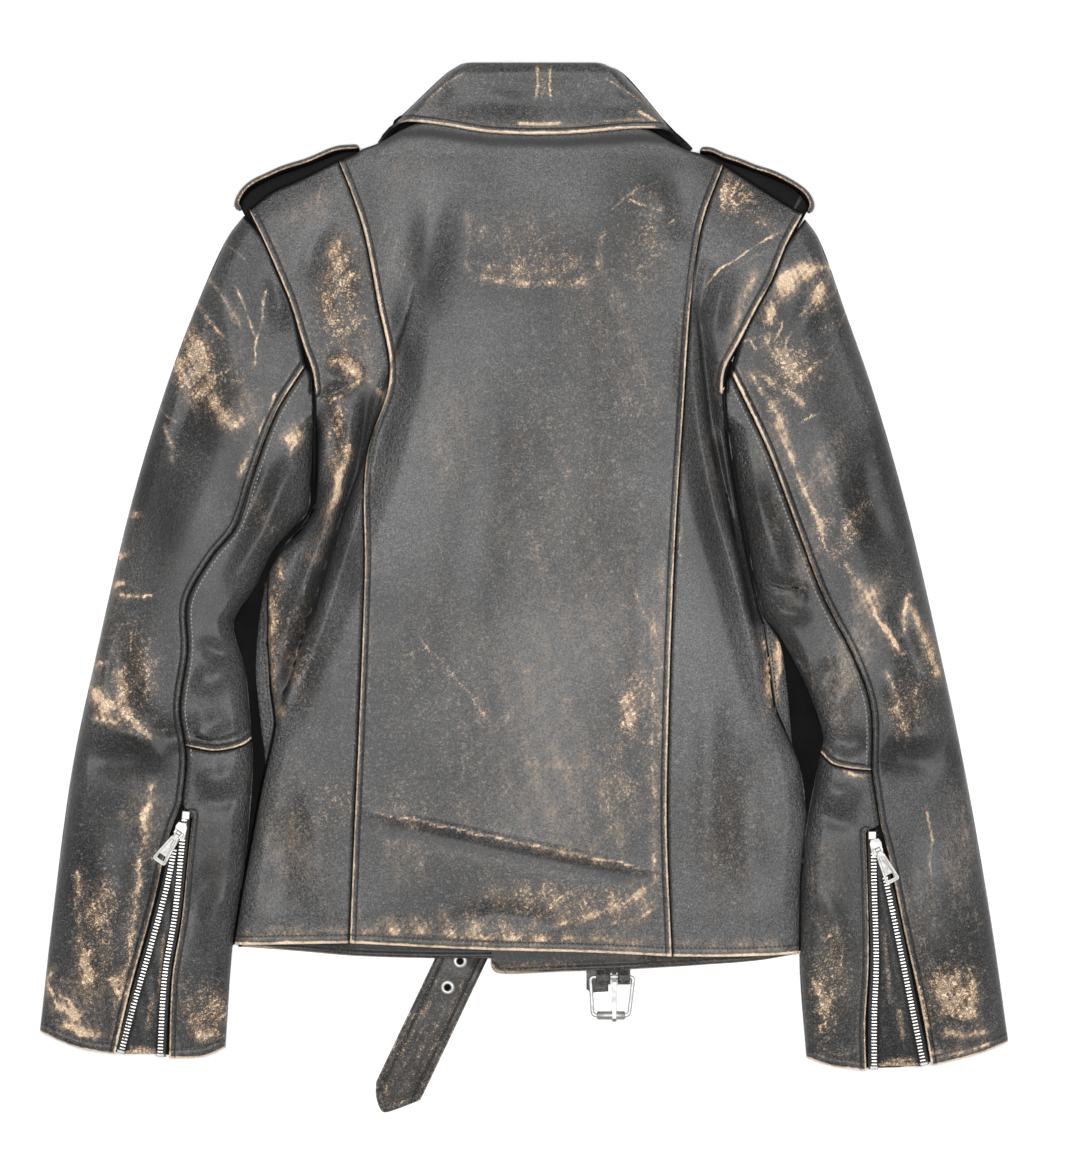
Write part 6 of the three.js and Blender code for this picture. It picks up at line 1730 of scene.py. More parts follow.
def sleeve(side):
    data = SLEEVES[side]
    sign = 1 if side == "left" else -1
    base = sleeve_height_of(side)
    marks = SLEEVE_MARKS[side]
    zip_edge, seam_lower, seam_upper = (polyline(data[k]) for k in ("zipEdge", "seamLower", "seamUpper"))
    seam = line_of(np.vstack([zip_edge, seam_lower[1:], seam_upper[1:]]), False, 220)
    fold = line_of(data["outer"], True, 160)
    inner_edge = line_of(data["innerLower"] + data["innerUpper"][1:], True, 220)
    cuff_outer, cuff_under = line_of(data["cuffOuter"]), line_of(data["cuffUnder"])
    cuff_below = line_of(data["cuffBelow"])
    arm_top, arm_under, arm_below = (line_of(data[k]) for k in ("armholeTop", "armholeUnder", "armholeBelow"))
    elbow = line_of(data["elbow"])

    # outer panel: from the seam over the outer fold and back underneath
    name = f"sleeve_{side}_outer_panel"
    edges = [("over", seam, RIM_SLEEVE[side]), ("under", arm_top, None), ("hem", cuff_outer, RIM_CUFF)]
    height = panel_surface(name, base, edges)
    grid = draw_in(panel_grid(seam, fold, cuff_outer, arm_top,
                              SEWN, ROLLED), right=0)
    face = over(grid, height)
    v = np.concatenate([[0], np.cumsum(np.linalg.norm(np.diff(grid[:, -1], axis=0), axis=1))])
    v /= v[-1]
    edge_a, edge_b = at_share(fold, v), at_share(inner_edge, v)
    widths = np.linalg.norm(edge_b - edge_a, axis=1)
    columns = int((widths.max() - 2 * ROLLED[-1]) / HIDDEN_GRID)
    u = np.array([spread(w, ROLLED, ROLLED, columns) for w in widths])[:, 1:]
    ends = [cuff_below[0], cuff_below[-1], arm_below[0], arm_below[-1]]
    below = filled(u[:, :, None], v[:, None, None], edge_a[:, None], edge_b[:, None], at_share(cuff_below, u),
                   at_share(arm_below, u), ends)
    from_fold = u * widths[:, None]
    from_inner = (1 - u) * widths[:, None]
    z = EDGE_Z * (1 - round_in(from_fold, UNDERSIDE_ROLL)) + 4.8 * (1 - round_in(from_inner, UNDERSIDE_ROLL))
    outer = np.concatenate([face, over(below, z)], axis=1)
    found = marks(edges, outer[..., 0], outer[..., 1])
    bare = np.ones(outer.shape[:2])
    bare[:, face.shape[1] + 10:] = 0.0
    found["wear"] = found["wear"] * bare
    found["shade"] = found["shade"] * bare
    add_shell(name, outer, LEATHER, [LEATHER_SLEEVE, LINING], found)
    thread = "grey"
    stitch_row(f"sleeve_{side}", name, seam, -sign * STITCH_IN, 0.42, 0.985, thread)
    stitch_row(f"sleeve_{side}", name, seam, -sign * (STITCH_IN - 0.6), 0.02, 0.42, "black")
    stitch_row(f"sleeve_{side}", name, cuff_outer, -sign * HEM_STITCH_IN, 0.03, 0.96)

    # under panel, above the elbow seam
    name = f"sleeve_{side}_under_upper"
    upper_seam, upper_edge = line_of(data["seamUpper"], True, 160), line_of(data["innerUpper"], True, 160)
    edges = [("under", upper_seam, None), ("over", elbow, RIM_ELBOW), ("under", arm_under, None)]
    grid = panel_grid(upper_seam, upper_edge, elbow,
                      arm_under, SEWN, ROLLED)
    cloth(name, draw_in(grid, right=0, bottom=SEAM_GAP), base, edges, marks, [LEATHER_SLEEVE, LINING])
    stitch_row(f"sleeve_{side}", name, elbow, sign * 4.0, 0.03, 0.95)

    # under panel, from the elbow seam to the cuff
    name = f"sleeve_{side}_under_lower"
    piping = polyline(data["piping"])
    lower_left = line_of(np.vstack([piping, seam_lower]), False, 160)
    lower_right = line_of(data["innerLower"], True, 120)
    pipe_line = line_of(data["piping"])
    seam_line = line_of(data["seamLower"])
    edges = [("over", pipe_line, RIM_PIPING), ("under", seam_line, None), ("under", elbow, None),
             ("hem", cuff_under, RIM_CUFF)]
    grid = panel_grid(lower_left, lower_right, cuff_under,
                      elbow, SEWN, ROLLED)
    cloth(name, draw_in(grid, right=0, top=SEAM_GAP), base, edges, marks, [LEATHER_SLEEVE, LINING])
    stitch_row(f"sleeve_{side}", name, pipe_line, -sign * STITCH_IN, 0.02, 0.98)
    stitch_row(f"sleeve_{side}", name, cuff_under, sign * HEM_STITCH_IN, 0.04, 0.94)
    cuff_zip(side, sign, base)

# ------------------------------------------------------------------ cuff zips

TAPE = 1.0
STRIP_STEP = 1.8        # spacing of the mesh along a zip tape
TOOTH = {"across": 4.6, "along": 1.35, "high": 1.7, "pitch": 2.6, "bevel": 0.3}
SLIDER_AT = {"left": (-271, -190), "right": (278, -203)}


def frame_on(line, share, height):
    """Places on a surface: (origin, along, across, up) for shares of a line."""
    total = lengths_of(line)[-1]
    nudge = NUDGE / total
    point = at_share(line, share)
    way = unit(at_share(line, np.minimum(share + nudge, 1)) - at_share(line, np.maximum(share - nudge, 0)))
    x, y = point[..., 0], point[..., 1]
    step_x, step_y = 2 * way[..., 0], 2 * way[..., 1]
    rise = (height(x + step_x, y + step_y) - height(x - step_x, y - step_y)) / 4
    side = (height(x - step_y, y + step_x) - height(x + step_y, y - step_x)) / 4
    ax = unit(np.stack([way[..., 0], way[..., 1], rise], axis=-1))
    ay = unit(np.stack([-way[..., 1], way[..., 0], side], axis=-1))
    az = np.cross(ax, ay)
    ay = np.cross(az, ax)
    return np.stack([x, y, height(x, y)], axis=-1), ax, ay, az


def strip_grid(line, left, right, columns):
    """A grid along a line, from left to right of it in millimetres."""
    rows = max(6, int(lengths_of(line)[-1] / STRIP_STEP))
    point = at_share(line, np.linspace(0, 1, rows))
    way = unit(np.gradient(point, axis=0))
    across = np.stack([-way[:, 1], way[:, 0]], axis=1)
    offsets = np.linspace(left, right, columns)
    return point[:, None] + across[:, None] * offsets[None, :, None]


def cuff_zip(side, sign, base):
    data = SLEEVES[side]
    outer_line, inner_line = line_of(data["chainOuter"], True, 90), line_of(data["chainInner"], True, 110)

    def tape_height(x, y):
        return base(x, y) - TAPE_DROP

    shape, faces = rounded_block((TOOTH["along"], TOOTH["across"], TOOTH["high"]), TOOTH["bevel"])
    places = []
    for key, line, towards in (("outer", outer_line, sign), ("inner", inner_line, -sign)):
        # walking down the cuff, the left-hand side of the way is +X
        grid = strip_grid(line, -TAPE_HALF - 0.6, TAPE_HALF + 0.6, 7)
        add_shell(f"zip_tape_{key}_{side}", over(grid, tape_height), TAPE, [TAPE_CLOTH, TAPE_CLOTH], None, 2)
        total = lengths_of(line)[-1]
        count = int(total / TOOTH["pitch"])
        share = (np.arange(count) + 0.5) / count
        origin, ax, ay, az = frame_on(line, share, tape_height)
        origin = origin + ay * towards * 0.9 - az * 0.15
        places += list(zip(origin, ax, ay, az))
    points, copied = copies(shape, faces, places)
    add_mesh(f"zip_teeth_{side}", points, copied, [NICKEL_TEETH], flat=True)
    gusset(side, sign, base, outer_line, inner_line)
    zip_stops(side, sign, tape_height, outer_line, inner_line)


GUSSET_STROKES = {
    "left": [(0.8, 2.0, [(-284, -268), (-287, -300), (-290, -330)]), (0.7, 3.0, [(-294, -318), (-298, -350)]),
             (0.8, 2.4, [(-312, -362), (-300, -363), (-290, -364)])],
    "right": [(0.7, 2.0, [(284, -268), (288, -300), (290, -330)]), (0.7, 3.0, [(296, -330), (300, -356)]),
              (0.8, 2.4, [(284, -373), (298, -372), (312, -371)])],
}


def gusset(side, sign, base, outer_line, inner_line):
    """The dark leather behind the open zip."""
    y_top = SLIDER_AT[side][1] - 6
    y_low = {"left": -367, "right": -377}[side]
    rows = 90
    y = np.linspace(y_low, y_top, rows)
    outer_x = np.interp(y, outer_line[::-1, 1], outer_line[::-1, 0]) + sign * 2.0
    inner_x = np.interp(y, inner_line[::-1, 1], inner_line[::-1, 0]) - sign * 2.0
    t = np.linspace(0, 1, 20)[None, :]
    x = outer_x[:, None] * (1 - t) + inner_x[:, None] * t
    yy = np.broadcast_to(y[:, None], x.shape)
    width = np.abs(inner_x - outer_x)[:, None]
    hollow = 0.02 * width * np.sin(np.pi * t) + 0.25 * np.sin(x * 0.5 + yy * 0.11) * np.sin(np.pi * t)
    z = base(x, yy) - GUSSET_DROP - hollow
    outer = np.stack([x, yy, z], axis=-1)
    # painted shade along both chains, and a little all over the gusset
    far = np.minimum(np.abs(x - outer_x[:, None]), np.abs(x - inner_x[:, None]))
    shade = 1 - smooth(0.5, 5.5, far)
    wear = np.maximum(fields(SLEEVE_FIELDS[side], x, yy), strokes(GUSSET_STROKES[side], x, yy))
    cuff = 0.8 * (1 - smooth(1.5, 3.5, yy - y_low))
    outer_marks = {"wear": np.maximum(wear * 0.8, cuff), "shade": 0.9 * shade + 0.1, "crackle": 0.6 + 0 * x}
    add_shell(f"cuff_gusset_leather_{side}", outer, 1.2, [LEATHER_SLEEVE, LINING], outer_marks, 3)


def zip_stops(side, sign, height, outer_line, inner_line):
    """The square top stop, and a bright stop at the foot of each chain."""
    places = []
    top, faces = rounded_block((6.6, 6.4, 1.9), 0.5)
    origin, ax, ay, az = frame_on(inner_line, np.array([0.004]), height)
    top_points, top_faces = copies(top, faces, list(zip(origin - ax * 1.0, ax, ay, az)))
    foot, foot_faces = rounded_block((2.6, 6.6, 2.3), 0.5)
    for line, towards in ((outer_line, sign), (inner_line, -sign)):
        origin, ax, ay, az = frame_on(line, np.array([0.992]), height)
        places += list(zip(origin + ay * towards * 0.6, ax, ay, az))
    foot_points, foot_faces = copies(foot, foot_faces, places)
    add_mesh(f"zip_top_stop_{side}", top_points, top_faces, [NICKEL], flat=True)
    add_mesh(f"zip_foot_stops_{side}", foot_points, foot_faces, [NICKEL], flat=True)

# ------------------------------------------------------------------ pull tabs

TAB = {"length": 29, "near": 3.5, "far": 6.0, "thickness": 1.5, "eye": 3.4}
TAB_WAY = {"left": (-0.583, -0.812), "right": (0.444, -0.896)}


def pull_tab(side):
    """The long tab: a rim round a brushed recess, with a slot near its end and an eye on the slider's rod."""
    node = f"cuff_pull_tab_{side}"
    joint = [j for j in frame["joints"] if j["name"] == f"{side}_tab_flip"][0]
    pivot = np.array(joint["pos_m"]) / MM
    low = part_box(node)[0].z / MM
    tilt = math.asin((pivot[2] - low - TAB["thickness"] / 2) / TAB["length"])
    length = TAB["length"]
    outline = [(1.8, 1.8), (1.8, -2.4), (TAB["near"], -5), (TAB["far"], -length + 2.2),
               (TAB["far"] - 0.6, -length + 0.8), (TAB["far"] - 2.2, -length)]
    outline = [(-x, y) for x, y in outline] + [(x, y) for x, y in outline[::-1]]
    half = TAB["thickness"] / 2
    outline = np.array(outline)
    centre = np.array([0.0, -0.55 * length])

    def ring(points, z):
        return np.column_stack([points, np.full(len(points), z)])

    def inwards(points, by):
        normal = corner_ways(points)
        flip = np.sign(((centre - points) * normal).sum(axis=1, keepdims=True))
        return points + normal * flip * by

    recess = inwards(outline, 1.5)
    recess[:, 1] = np.minimum(recess[:, 1], -6.4)
    recess_low = inwards(outline, 2.0)
    recess_low[:, 1] = np.minimum(recess_low[:, 1], -6.9)
    slot = np.array([(-3.2, 7.2), (-3.2, 4.4), (-3.2, 3.2), (-1.6, 2.9), (-0.4, 2.9), (0.4, 2.9), (1.6, 2.9),
                     (3.2, 3.2), (3.2, 4.4), (3.2, 7.2), (1.2, 7.4), (-1.2, 7.4)]) - (0, length)
    slot = slot_matched(slot, outline)
    rings = [ring(slot, -half), ring(inwards(outline, 0.35), -half), ring(outline, -half + 0.35),
             ring(outline, half - 0.35), ring(inwards(outline, 0.35), half), ring(recess, half),
             ring(recess_low, half - 0.45), ring(slot, half - 0.45), ring(slot, -half)]
    count = len(outline)
    points = np.vstack(rings[:-1])
    index = np.arange(len(points)).reshape(len(rings) - 1, count)
    quads = ring_quads(np.vstack([index, index[:1]]))
    eye = [(1.2, -1.7), (1.6, -1.9), (1.9, -1.5), (1.9, 1.5), (1.6, 1.9), (1.2, 1.7)]
    eye_points, eye_faces = lathe(eye, 20)
    eye_points = eye_points[:, [2, 0, 1]]
    both = np.vstack([points, eye_points])
    faces = [quads, eye_faces[0] + len(points)]
    way = TAB_WAY[side]
    heading = math.atan2(way[1], way[0]) + math.pi / 2
    turn = np.array(Matrix.Rotation(heading, 3, "Z") @ Matrix.Rotation(tilt, 3, "X"))
    placed = both @ turn.T + pivot
    made = add_mesh(f"pull_tab_{side}_plate", placed, faces, [NICKEL_BRUSHED], flat=True)
    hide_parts(node)
    RIDES[made.name] = f"pull_tab_{side}"


def slot_matched(slot, outline):
    """The slot's points in the order of the outline's, so that the rings join without twisting."""
    way = outline - (0.0, 0.5 * outline[:, 1].min())
    own = slot - slot.mean(axis=0)
    order = np.argsort(np.arctan2(own[:, 1], own[:, 0]))
    ranks = np.argsort(np.argsort(np.arctan2(way[:, 1], way[:, 0])))
    return slot[order][ranks]

# ------------------------------------------------------------------ epaulettes


def epaulette(side):
    """A strap that stands on its long edge along the shoulder, bulging outwards under its rim."""
    line = line_of(EPAULETTE_LINE[side], True, 70)
    out = -1 if side == "left" else 1
    profile = [(-1.3, 3.2), (1.4, 3.2), (2.6, 6.5), (3.3, 11), (3.4, 16), (3.0, 21), (2.3, 25), (1.5, 27.6),
               (0.7, 28.9), (-0.1, 29.3), (-0.9, 28.9), (-1.4, 28.0), (-1.6, 26.2), (-1.5, 22), (-1.4, 12)]
    wear_of = [0, 0, 0.1, 0.15, 0.15, 0.15, 0.15, 0.2, 0.25, 0.5, 1.1, 0.3, 0, 0, 0]
    # painted shade on the strap's inner face and at its foot
    shade_of = [0.9, 0.8, 0.5, 0.3, 0.3, 0.3, 0.2, 0.2, 0.1, 0, 0, 0.7, 1, 1, 1]
    section = np.array([(out * s, z) for s, z in profile])
    if out < 0:
        section, wear_of, shade_of = section[::-1], wear_of[::-1], shade_of[::-1]
    share = np.linspace(0, 1, len(line))
    ends = np.minimum(round_in(share, 0.03), round_in(1 - share, 0.05))
    sections = np.repeat(section[None], len(line), axis=0)
    sections[..., 0] = sections[..., 0] * (0.5 + 0.5 * ends)[:, None]
    wave = 0.35 * np.sin(share * 21 + (0 if side == "left" else 2))
    sections[..., 0] += wave[:, None] * smooth(6, 20, sections[..., 1])
    low_end = 1 - 0.42 * (1 - round_in(1 - share, 0.16))
    sections[..., 1] = 3.2 + (sections[..., 1] - 3.2) * (low_end * (0.9 + 0.1 * ends))[:, None]
    path = np.column_stack([line, np.zeros(len(line))])
    shape = sections.shape[:2]
    marks = {"wear": np.broadcast_to(wear_of, shape), "shade": np.broadcast_to(shade_of, shape),
             "crackle": np.full(shape, 0.5)}
    add_sweep(f"epaulette_{side}_leather", path, sections, [LEATHER_SLEEVE], marks=marks)

# ------------------------------------------------------------------ belt

BELT = {"half": 19, "thickness": 2.3, "visible": 117, "tip": 137, "hidden": 34,
        "start": (-50, -293), "direction": (-0.43, -0.903)}
EYELET_AT = {"belt_eyelet_1": 25, "belt_eyelet_2": 2}


def belt_point(down, sideways):
    (sx, sy), (dx, dy) = BELT["start"], BELT["direction"]
    return sx + dx * down - dy * sideways, sy + dy * down + dx * sideways


def belt_place(x, y):
    """(down, sideways) of points on the belt."""
    (sx, sy), (dx, dy) = BELT["start"], BELT["direction"]
    return (x - sx) * dx + (y - sy) * dy, -(x - sx) * dy + (y - sy) * dx


BELT_STROKES = [
    (0.95, 2.6, [(36, -8), (62, -10), (96, -12)]), (0.85, 2.0, [(40, 6), (70, 3), (104, 2)]),
    (0.80, 1.6, [(30, 12), (64, 11), (98, 10)]), (0.70, 1.2, [(44, -2), (80, -4), (116, -6)]),
    (1.00, 3.0, [(112, -14), (122, -9), (130, -5)]), (0.90, 3.0, [(132, -4), (126, 2), (118, 9)]),
    (0.80, 1.2, [(20, -12), (40, -13), (70, -14)]), (0.75, 1.2, [(90, 6), (106, 4), (118, 2)]),
    (0.90, 2.0, [(16, 8), (22, 10), (34, 9)]), (0.70, 1.6, [(10, -9), (18, -10), (30, -9)]),
]


def belt():
    half, tip = BELT["half"], BELT["visible"]
    left = line_of([belt_point(tip, -half), belt_point(-BELT["hidden"], -half)], False)
    right = line_of([belt_point(tip - 2, half), belt_point(-BELT["hidden"], half)], False)
    foot = line_of([belt_point(tip, -half), belt_point(tip + 10, -14.5), belt_point(BELT["tip"] - 1.5, -6.5),
                    belt_point(BELT["tip"] - 0.5, -3), belt_point(tip + 12, 6), belt_point(tip - 2, half)])
    head = line_of([belt_point(-BELT["hidden"], -half), belt_point(-BELT["hidden"], half)], False)
    rim = [(0, 0.8, 1.5), (.2, .9, 1.8), (.5, .7, 1.2), (1, .8, 1.4)]
    edges = [("hem", left, rim), ("hem", right, rim), ("hem", foot, rim)]

    def base(x, y):
        down, sideways = belt_place(x, y)
        shown = smooth(2, 14, down)
        crown = 0.7 + 0.8 * np.exp(-(((down - 70) / 30) ** 2))
        return BELT["thickness"] + shown * (crown + 0.25 * np.sin(down * 0.16) * sideways / half)

    def marks(found, x, y):
        down, sideways = belt_place(x, y)
        px, py = wobbled(down, sideways)
        wear = 0.12 * smooth(8, 30, down) + 0.42 * strokes(BELT_STROKES, px, py)
        wear = np.maximum(wear, 0.8 * edge_wear(found, x, y))
        # painted shade where the belt comes out from under the front
        shade = np.maximum(edge_shade(found, x, y), 0.75 * (1 - smooth(0, 7, down)))
        return {"wear": wear * (1 - 0.7 * shade), "shade": shade, "crackle": 0.7 + 0 * x}

    def holes(points):
        down, sideways = belt_place(points[:, 0], points[:, 1])
        return sum(np.hypot(down - at, sideways) < 3.1 for at in EYELET_AT.values()) > 0

    name = "belt_tongue_leather"
    height = panel_surface(name, base, edges)
    grid = panel_grid(left, right, foot, head, SEWN, SEWN, SEWN,
                      PLAIN, 1.2)
    made = add_shell(name, over(grid, height), 2.0, [LEATHER_BELT, LINING],
                     marks(edges, grid[..., 0], grid[..., 1]), 1, holes)
    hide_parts("belt_tongue")
    stitch_row("belt", name, left, -HEM_STITCH_IN + 1.6, 0.02, 0.8)
    stitch_row("belt", name, right, HEM_STITCH_IN - 1.6, 0.02, 0.8)
    stitch_row("belt", name, foot, HEM_STITCH_IN - 1.6, 0.1, 0.9)
    profile = [(2.5, -1.9), (2.5, 0.5), (2.9, 0.95), (3.7, 1.15), (4.8, 0.95), (5.7, 0.45), (6.1, 0.0),
               (5.9, -0.25), (3.0, -0.25), (3.0, -1.9)]
    for node, down in EYELET_AT.items():
        px, py = belt_point(down, 0)
        pz = float(height(np.array([px]), np.array([py]))[0]) + 0.15
        points, faces = lathe(profile, 48)
        ring = add_mesh(f"{node}_ring", points + np.array([px, py, pz]), faces, [NICKEL])
        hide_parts(node)
        turn = np.linspace(0, 2 * math.pi, 24, endpoint=False)
        circle = np.column_stack([px + 4.6 * np.cos(turn), py + 4.6 * np.sin(turn)])
        # a near-black disc under the eyelet's hole, standing in for the shade in it
        plate(f"{node}_backing", circle, 0.05, 0.5, SHADOW_BLACK_LEATHER, 0.1)

# ------------------------------------------------------------------ buckle

BUCKLE = {"bar_y": -307.2, "roller_y": -337.6, "z": 4.5, "top": (51.2, 88.3), "bottom": (53, 84.6),
          "high": -305.8, "low": -339.0, "bar": 2.8, "thickness": 2.6}
ROLLER = {"inner": 2.45, "outer": 3.3, "from": 58, "to": 80}
STRAP = {"from": 57, "to": 84.2, "wall": 1.3, "loop": 3.3}


def buckle():
    inset = BUCKLE["bar"] / 2
    (tl, tr), (bl, br) = BUCKLE["top"], BUCKLE["bottom"]
    high, low = BUCKLE["high"] - inset, BUCKLE["low"] + inset
    corners = [(tl + inset, high), (bl + inset, low), (br - inset, low), (tr - inset, high)]
    path = []
    for k, corner in enumerate(corners):
        corner = np.array(corner)
        before, after = np.array(corners[k - 1]), np.array(corners[(k + 1) % 4])
        a = corner + (before - corner) / np.linalg.norm(before - corner) * 3.2
        b = corner + (after - corner) / np.linalg.norm(after - corner) * 3.2
        for t in np.linspace(0, 1, 9):
            path.append((1 - t) ** 2 * a + 2 * t * (1 - t) * corner + t * t * b)
        path += [b + (after - b) * t for t in (0.25, 0.5)]
    path = np.column_stack([np.array(path), np.full(len(path), BUCKLE["z"])])
    turn = np.linspace(0, 2 * math.pi, 20, endpoint=False)
    c, s = np.cos(turn), np.sin(turn)
    section = np.column_stack([np.sign(c) * np.abs(c) ** 0.6 * inset,
                               np.sign(s) * np.abs(s) ** 0.6 * BUCKLE["thickness"] / 2])
    made = add_sweep("buckle_frame_ring", path, section[::-1], [NICKEL], closed=True)
    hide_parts("buckle_frame")
    RIDES[made.name] = "buckle"
    lo, hi, inner, outer = ROLLER["from"], ROLLER["to"], ROLLER["inner"], ROLLER["outer"]
    profile = [(inner, lo + 0.2), (inner + 0.2, lo), (outer - 0.3, lo), (outer, lo + 0.4), (outer, hi - 0.4),
               (outer - 0.3, hi), (inner + 0.2, hi), (inner, hi - 0.2)]
    points, faces = lathe(profile, 40)
    points = points[:, [2, 0, 1]] + np.array([0, BUCKLE["roller_y"], BUCKLE["z"]])
    made = add_mesh("buckle_roller_tube", points, faces, [NICKEL])
    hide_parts("buckle_roller")
    RIDES[made.name] = "roller"
    strap()
    plate_points = [(49.5, -300), (49.5, -317), (53, -320), (67, -319), (67, -300)]
    made = plate("buckle_keeper_leather", plate_points, 0.0, 0.9, LEATHER_BELT, 0.25)
    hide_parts("buckle_keeper")


def strap():
    """The strap's leather: along, over the frame's top bar and back underneath."""
    z, loop = BUCKLE["z"], STRAP["loop"]
    bend_y = BUCKLE["bar_y"] - 2.6
    line = [(-270, 3.9), (-296, 3.9), (-302.0, 4.2), (-303.6, 6.2), (-305.2, 7.6), (bend_y, z + loop)]
    line += [(bend_y - loop * math.sin(a), z + loop * math.cos(a)) for a in np.linspace(0, math.pi, 15)[1:]]
    line += [(-300, 1.2), (-270, 1.2)]
    run = at_share(np.array(line, float), np.linspace(0, 1, 120))
    across = spread(STRAP["to"] - STRAP["from"], (0, .3, .8, 1.5, 2.5), (0, .3, .8, 1.5, 2.5), 14)
    x = STRAP["from"] + across * (STRAP["to"] - STRAP["from"])
    way = unit(np.gradient(run, axis=0))
    out = np.stack([way[:, 1], -way[:, 0]], axis=1)
    if out[0, 1] < 0:
        out = -out
    far = np.minimum(x - STRAP["from"], STRAP["to"] - x)
    dip = -0.5 * (1 - round_in(far, 1.2)) - 0.18 * np.exp(-(((far - 3.2) / 0.8) ** 2))
    yz = run[:, None] + out[:, None] * dip[None, :, None]
    outer = np.concatenate([np.broadcast_to(x[None, :, None], (120, len(x), 1)), yz], axis=-1)
    outer[..., 2] = np.maximum(outer[..., 2], 0.1)
    shape = outer.shape[:2]
    wear = np.maximum(0.4 * (1 - smooth(0.7, 2.0, far))[None] * np.ones(shape), 0.05)
    worn_bend = 0.3 * np.exp(-(((run[:, 0] - bend_y + 2.5) / 2.2) ** 2)) * (run[:, 1] > 3.5)
    wear = np.maximum(wear, worn_bend[:, None] * np.ones(shape))
    # painted shade in the groove along each edge
    shade = 0.8 * np.exp(-(((far - 3.2) / 0.7) ** 2))[None] * np.ones(shape)
    marks = {"wear": wear, "shade": shade, "crackle": np.full(shape, 0.7)}

    def slot(points):
        return (np.abs(points[:, 0] - 71.5) < 3.2) & (points[:, 1] < -302.5)

    made = add_shell("buckle_strap_leather", outer, STRAP["wall"], [LEATHER_COLLAR, LINING], marks, 1, slot,
                     facing=np.s_[:20])
    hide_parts("buckle_strap")

# ------------------------------------------------------------------ carried-over metal, and the parts that new pieces replace


def carried_over(node, material, bevel=0.35):
    piece = frame["nodes"][node]
    piece.data.materials.clear()
    piece.data.materials.append(material)
    weld = piece.modifiers.new("weld", "WELD")
    weld.merge_threshold = 0.00001
    soft = piece.modifiers.new("bevel", "BEVEL")
    soft.width = bevel * MM
    soft.segments = 2
    soft.limit_method = "ANGLE"
    soft.angle_limit = math.radians(35)
    return piece


REPLACED = {
    "back_panel_center": ["back_center"], "back_panel_side_left": ["back_side_left"],
    "back_panel_side_right": ["back_side_right"], "front_panel_left": ["front_left"],
    "front_panel_right": ["front_right"], "front_zip_tape": ["front_zip"],
    "lapel_left_leather": ["lapel_left"], "lapel_right_leather": ["lapel_right"],
    "collar_leaf_leather": ["collar_leaf"], "collar_front_leaf_left": ["collar_front_left"],
    "collar_front_leaf_right": ["collar_front_right"],
    "epaulette_left_leather": ["epaulette_left"], "epaulette_right_leather": ["epaulette_right"],
}
for _side in SIDES:
    REPLACED[f"sleeve_{_side}_outer_panel"] = [f"sleeve_outer_{_side}"]
    REPLACED[f"sleeve_{_side}_under_upper"] = [f"sleeve_under_upper_{_side}"]
    REPLACED[f"sleeve_{_side}_under_lower"] = [f"sleeve_under_lower_{_side}"]
    REPLACED[f"zip_tape_outer_{_side}"] = [f"cuff_zip_tape_outer_{_side}"]
    REPLACED[f"zip_tape_inner_{_side}"] = [f"cuff_zip_tape_inner_{_side}"]
    REPLACED[f"cuff_gusset_leather_{_side}"] = [f"cuff_gusset_{_side}"]

# ------------------------------------------------------------------ floor, light and camera


FLOOR_TONE = (0.90, 0.90, 0.90, 1)
FLOOR_TONE_2 = (0.92, 0.92, 0.92, 1)


def pale_floor():
    s = Shader("pale_floor")
    cloud = s.noise(3, 3.0, 0.5)
    fine = s.noise(500, 2.0, 0.5)
    colour = s.mix(s.ramp(cloud, 0.3, 0.7), FLOOR_TONE, FLOOR_TONE_2)
    return s.set(Base_Color=colour, Roughness=0.85, Normal=s.bump(fine, 0.0001, 0.2), Specular_IOR_Level=0.1)


FLOOR_REACH = 3000      # half the floor's width
LAMPS = {"softbox": ((-0.03, 0.10, 3.3), 148.0), "fill": ((1.9, -1.2, 1.8), 10.0)}      # place and power
LAMP_SIZE = 1.6
SKY_STRENGTH = 0.14


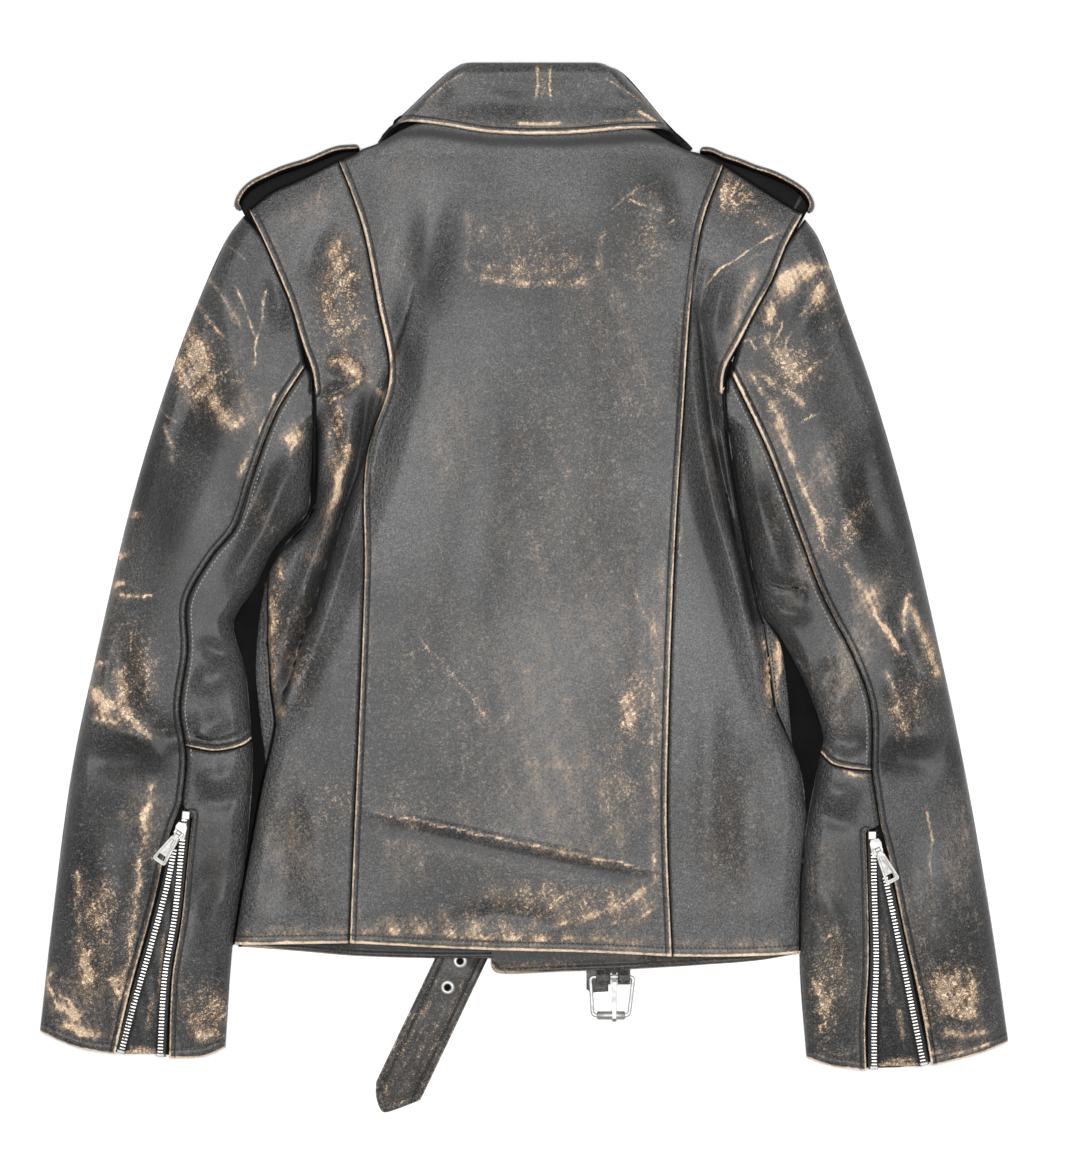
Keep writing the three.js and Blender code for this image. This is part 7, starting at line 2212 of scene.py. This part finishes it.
def stage():
    x = np.linspace(-FLOOR_REACH, FLOOR_REACH, 5)
    points = over(np.stack(np.meshgrid(x, x), axis=-1), np.zeros((5, 5))).reshape(-1, 3)
    quads = grid_quads(np.arange(25).reshape(5, 5))
    floor = add_mesh("floor", points, [quads], [pale_floor()], flat=True)
    PIECES.pop("floor")
    for name, (place, power) in LAMPS.items():
        data = bpy.data.lights.new(name, "AREA")
        data.shape = "DISK"
        data.size = LAMP_SIZE
        data.energy = power
        lamp = bpy.data.objects.new(name, data)
        bpy.context.scene.collection.objects.link(lamp)
        lamp.location = place
        lamp.rotation_euler = (-Vector(place)).to_track_quat("-Z", "Y").to_euler()
    world = bpy.data.worlds.new("studio")
    world.use_nodes = True
    sky = world.node_tree.nodes["Background"]
    sky.inputs[0].default_value = (1.0, 1.0, 1.0, 1)
    sky.inputs[1].default_value = SKY_STRENGTH
    bpy.context.scene.world = world


CAMERA_AT = (0.01264, 0.003555)     # the photograph's middle, on the floor
CAMERA_HEIGHT = 3.018
PICTURE_TALL = 0.92509              # what the picture spans at the jacket's own height
JACKET_LEVEL = 0.018


def camera():
    data = bpy.data.cameras.new("camera")
    data.sensor_width = 36
    data.lens = 36 * (CAMERA_HEIGHT - JACKET_LEVEL) / PICTURE_TALL
    eye = bpy.data.objects.new("camera", data)
    eye.location = (*CAMERA_AT, CAMERA_HEIGHT)
    eye.rotation_euler = (0, 0, 0)
    bpy.context.scene.collection.objects.link(eye)
    bpy.context.scene.camera = eye
    bpy.context.scene.view_settings.view_transform = "Standard"

# ------------------------------------------------------------------ assembly


def build():
    back_panels()
    for side, sign in (("left", 1), ("right", -1)):
        front_panel(side, sign)
        hem_facing(side)
        side_fold(side, sign)
        sleeve(side)
        epaulette(side)
        pull_tab(side)
    front_inside()
    collar()
    belt()
    buckle()
    make_stitches()
    for name, nodes in REPLACED.items():
        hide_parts(*nodes)
    for side in SIDES:
        carried_over(f"cuff_slider_{side}", NICKEL)
    carried_over("buckle_prong", NICKEL, 0.3)
    stand = frame["nodes"]["collar_stand"]
    stand.data.materials.clear()
    stand.data.materials.append(PLAIN_LEATHER)
    for name, piece in PIECES.items():
        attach(piece, RIDES.get(name, "jacket"))


build()
stage()
camera()
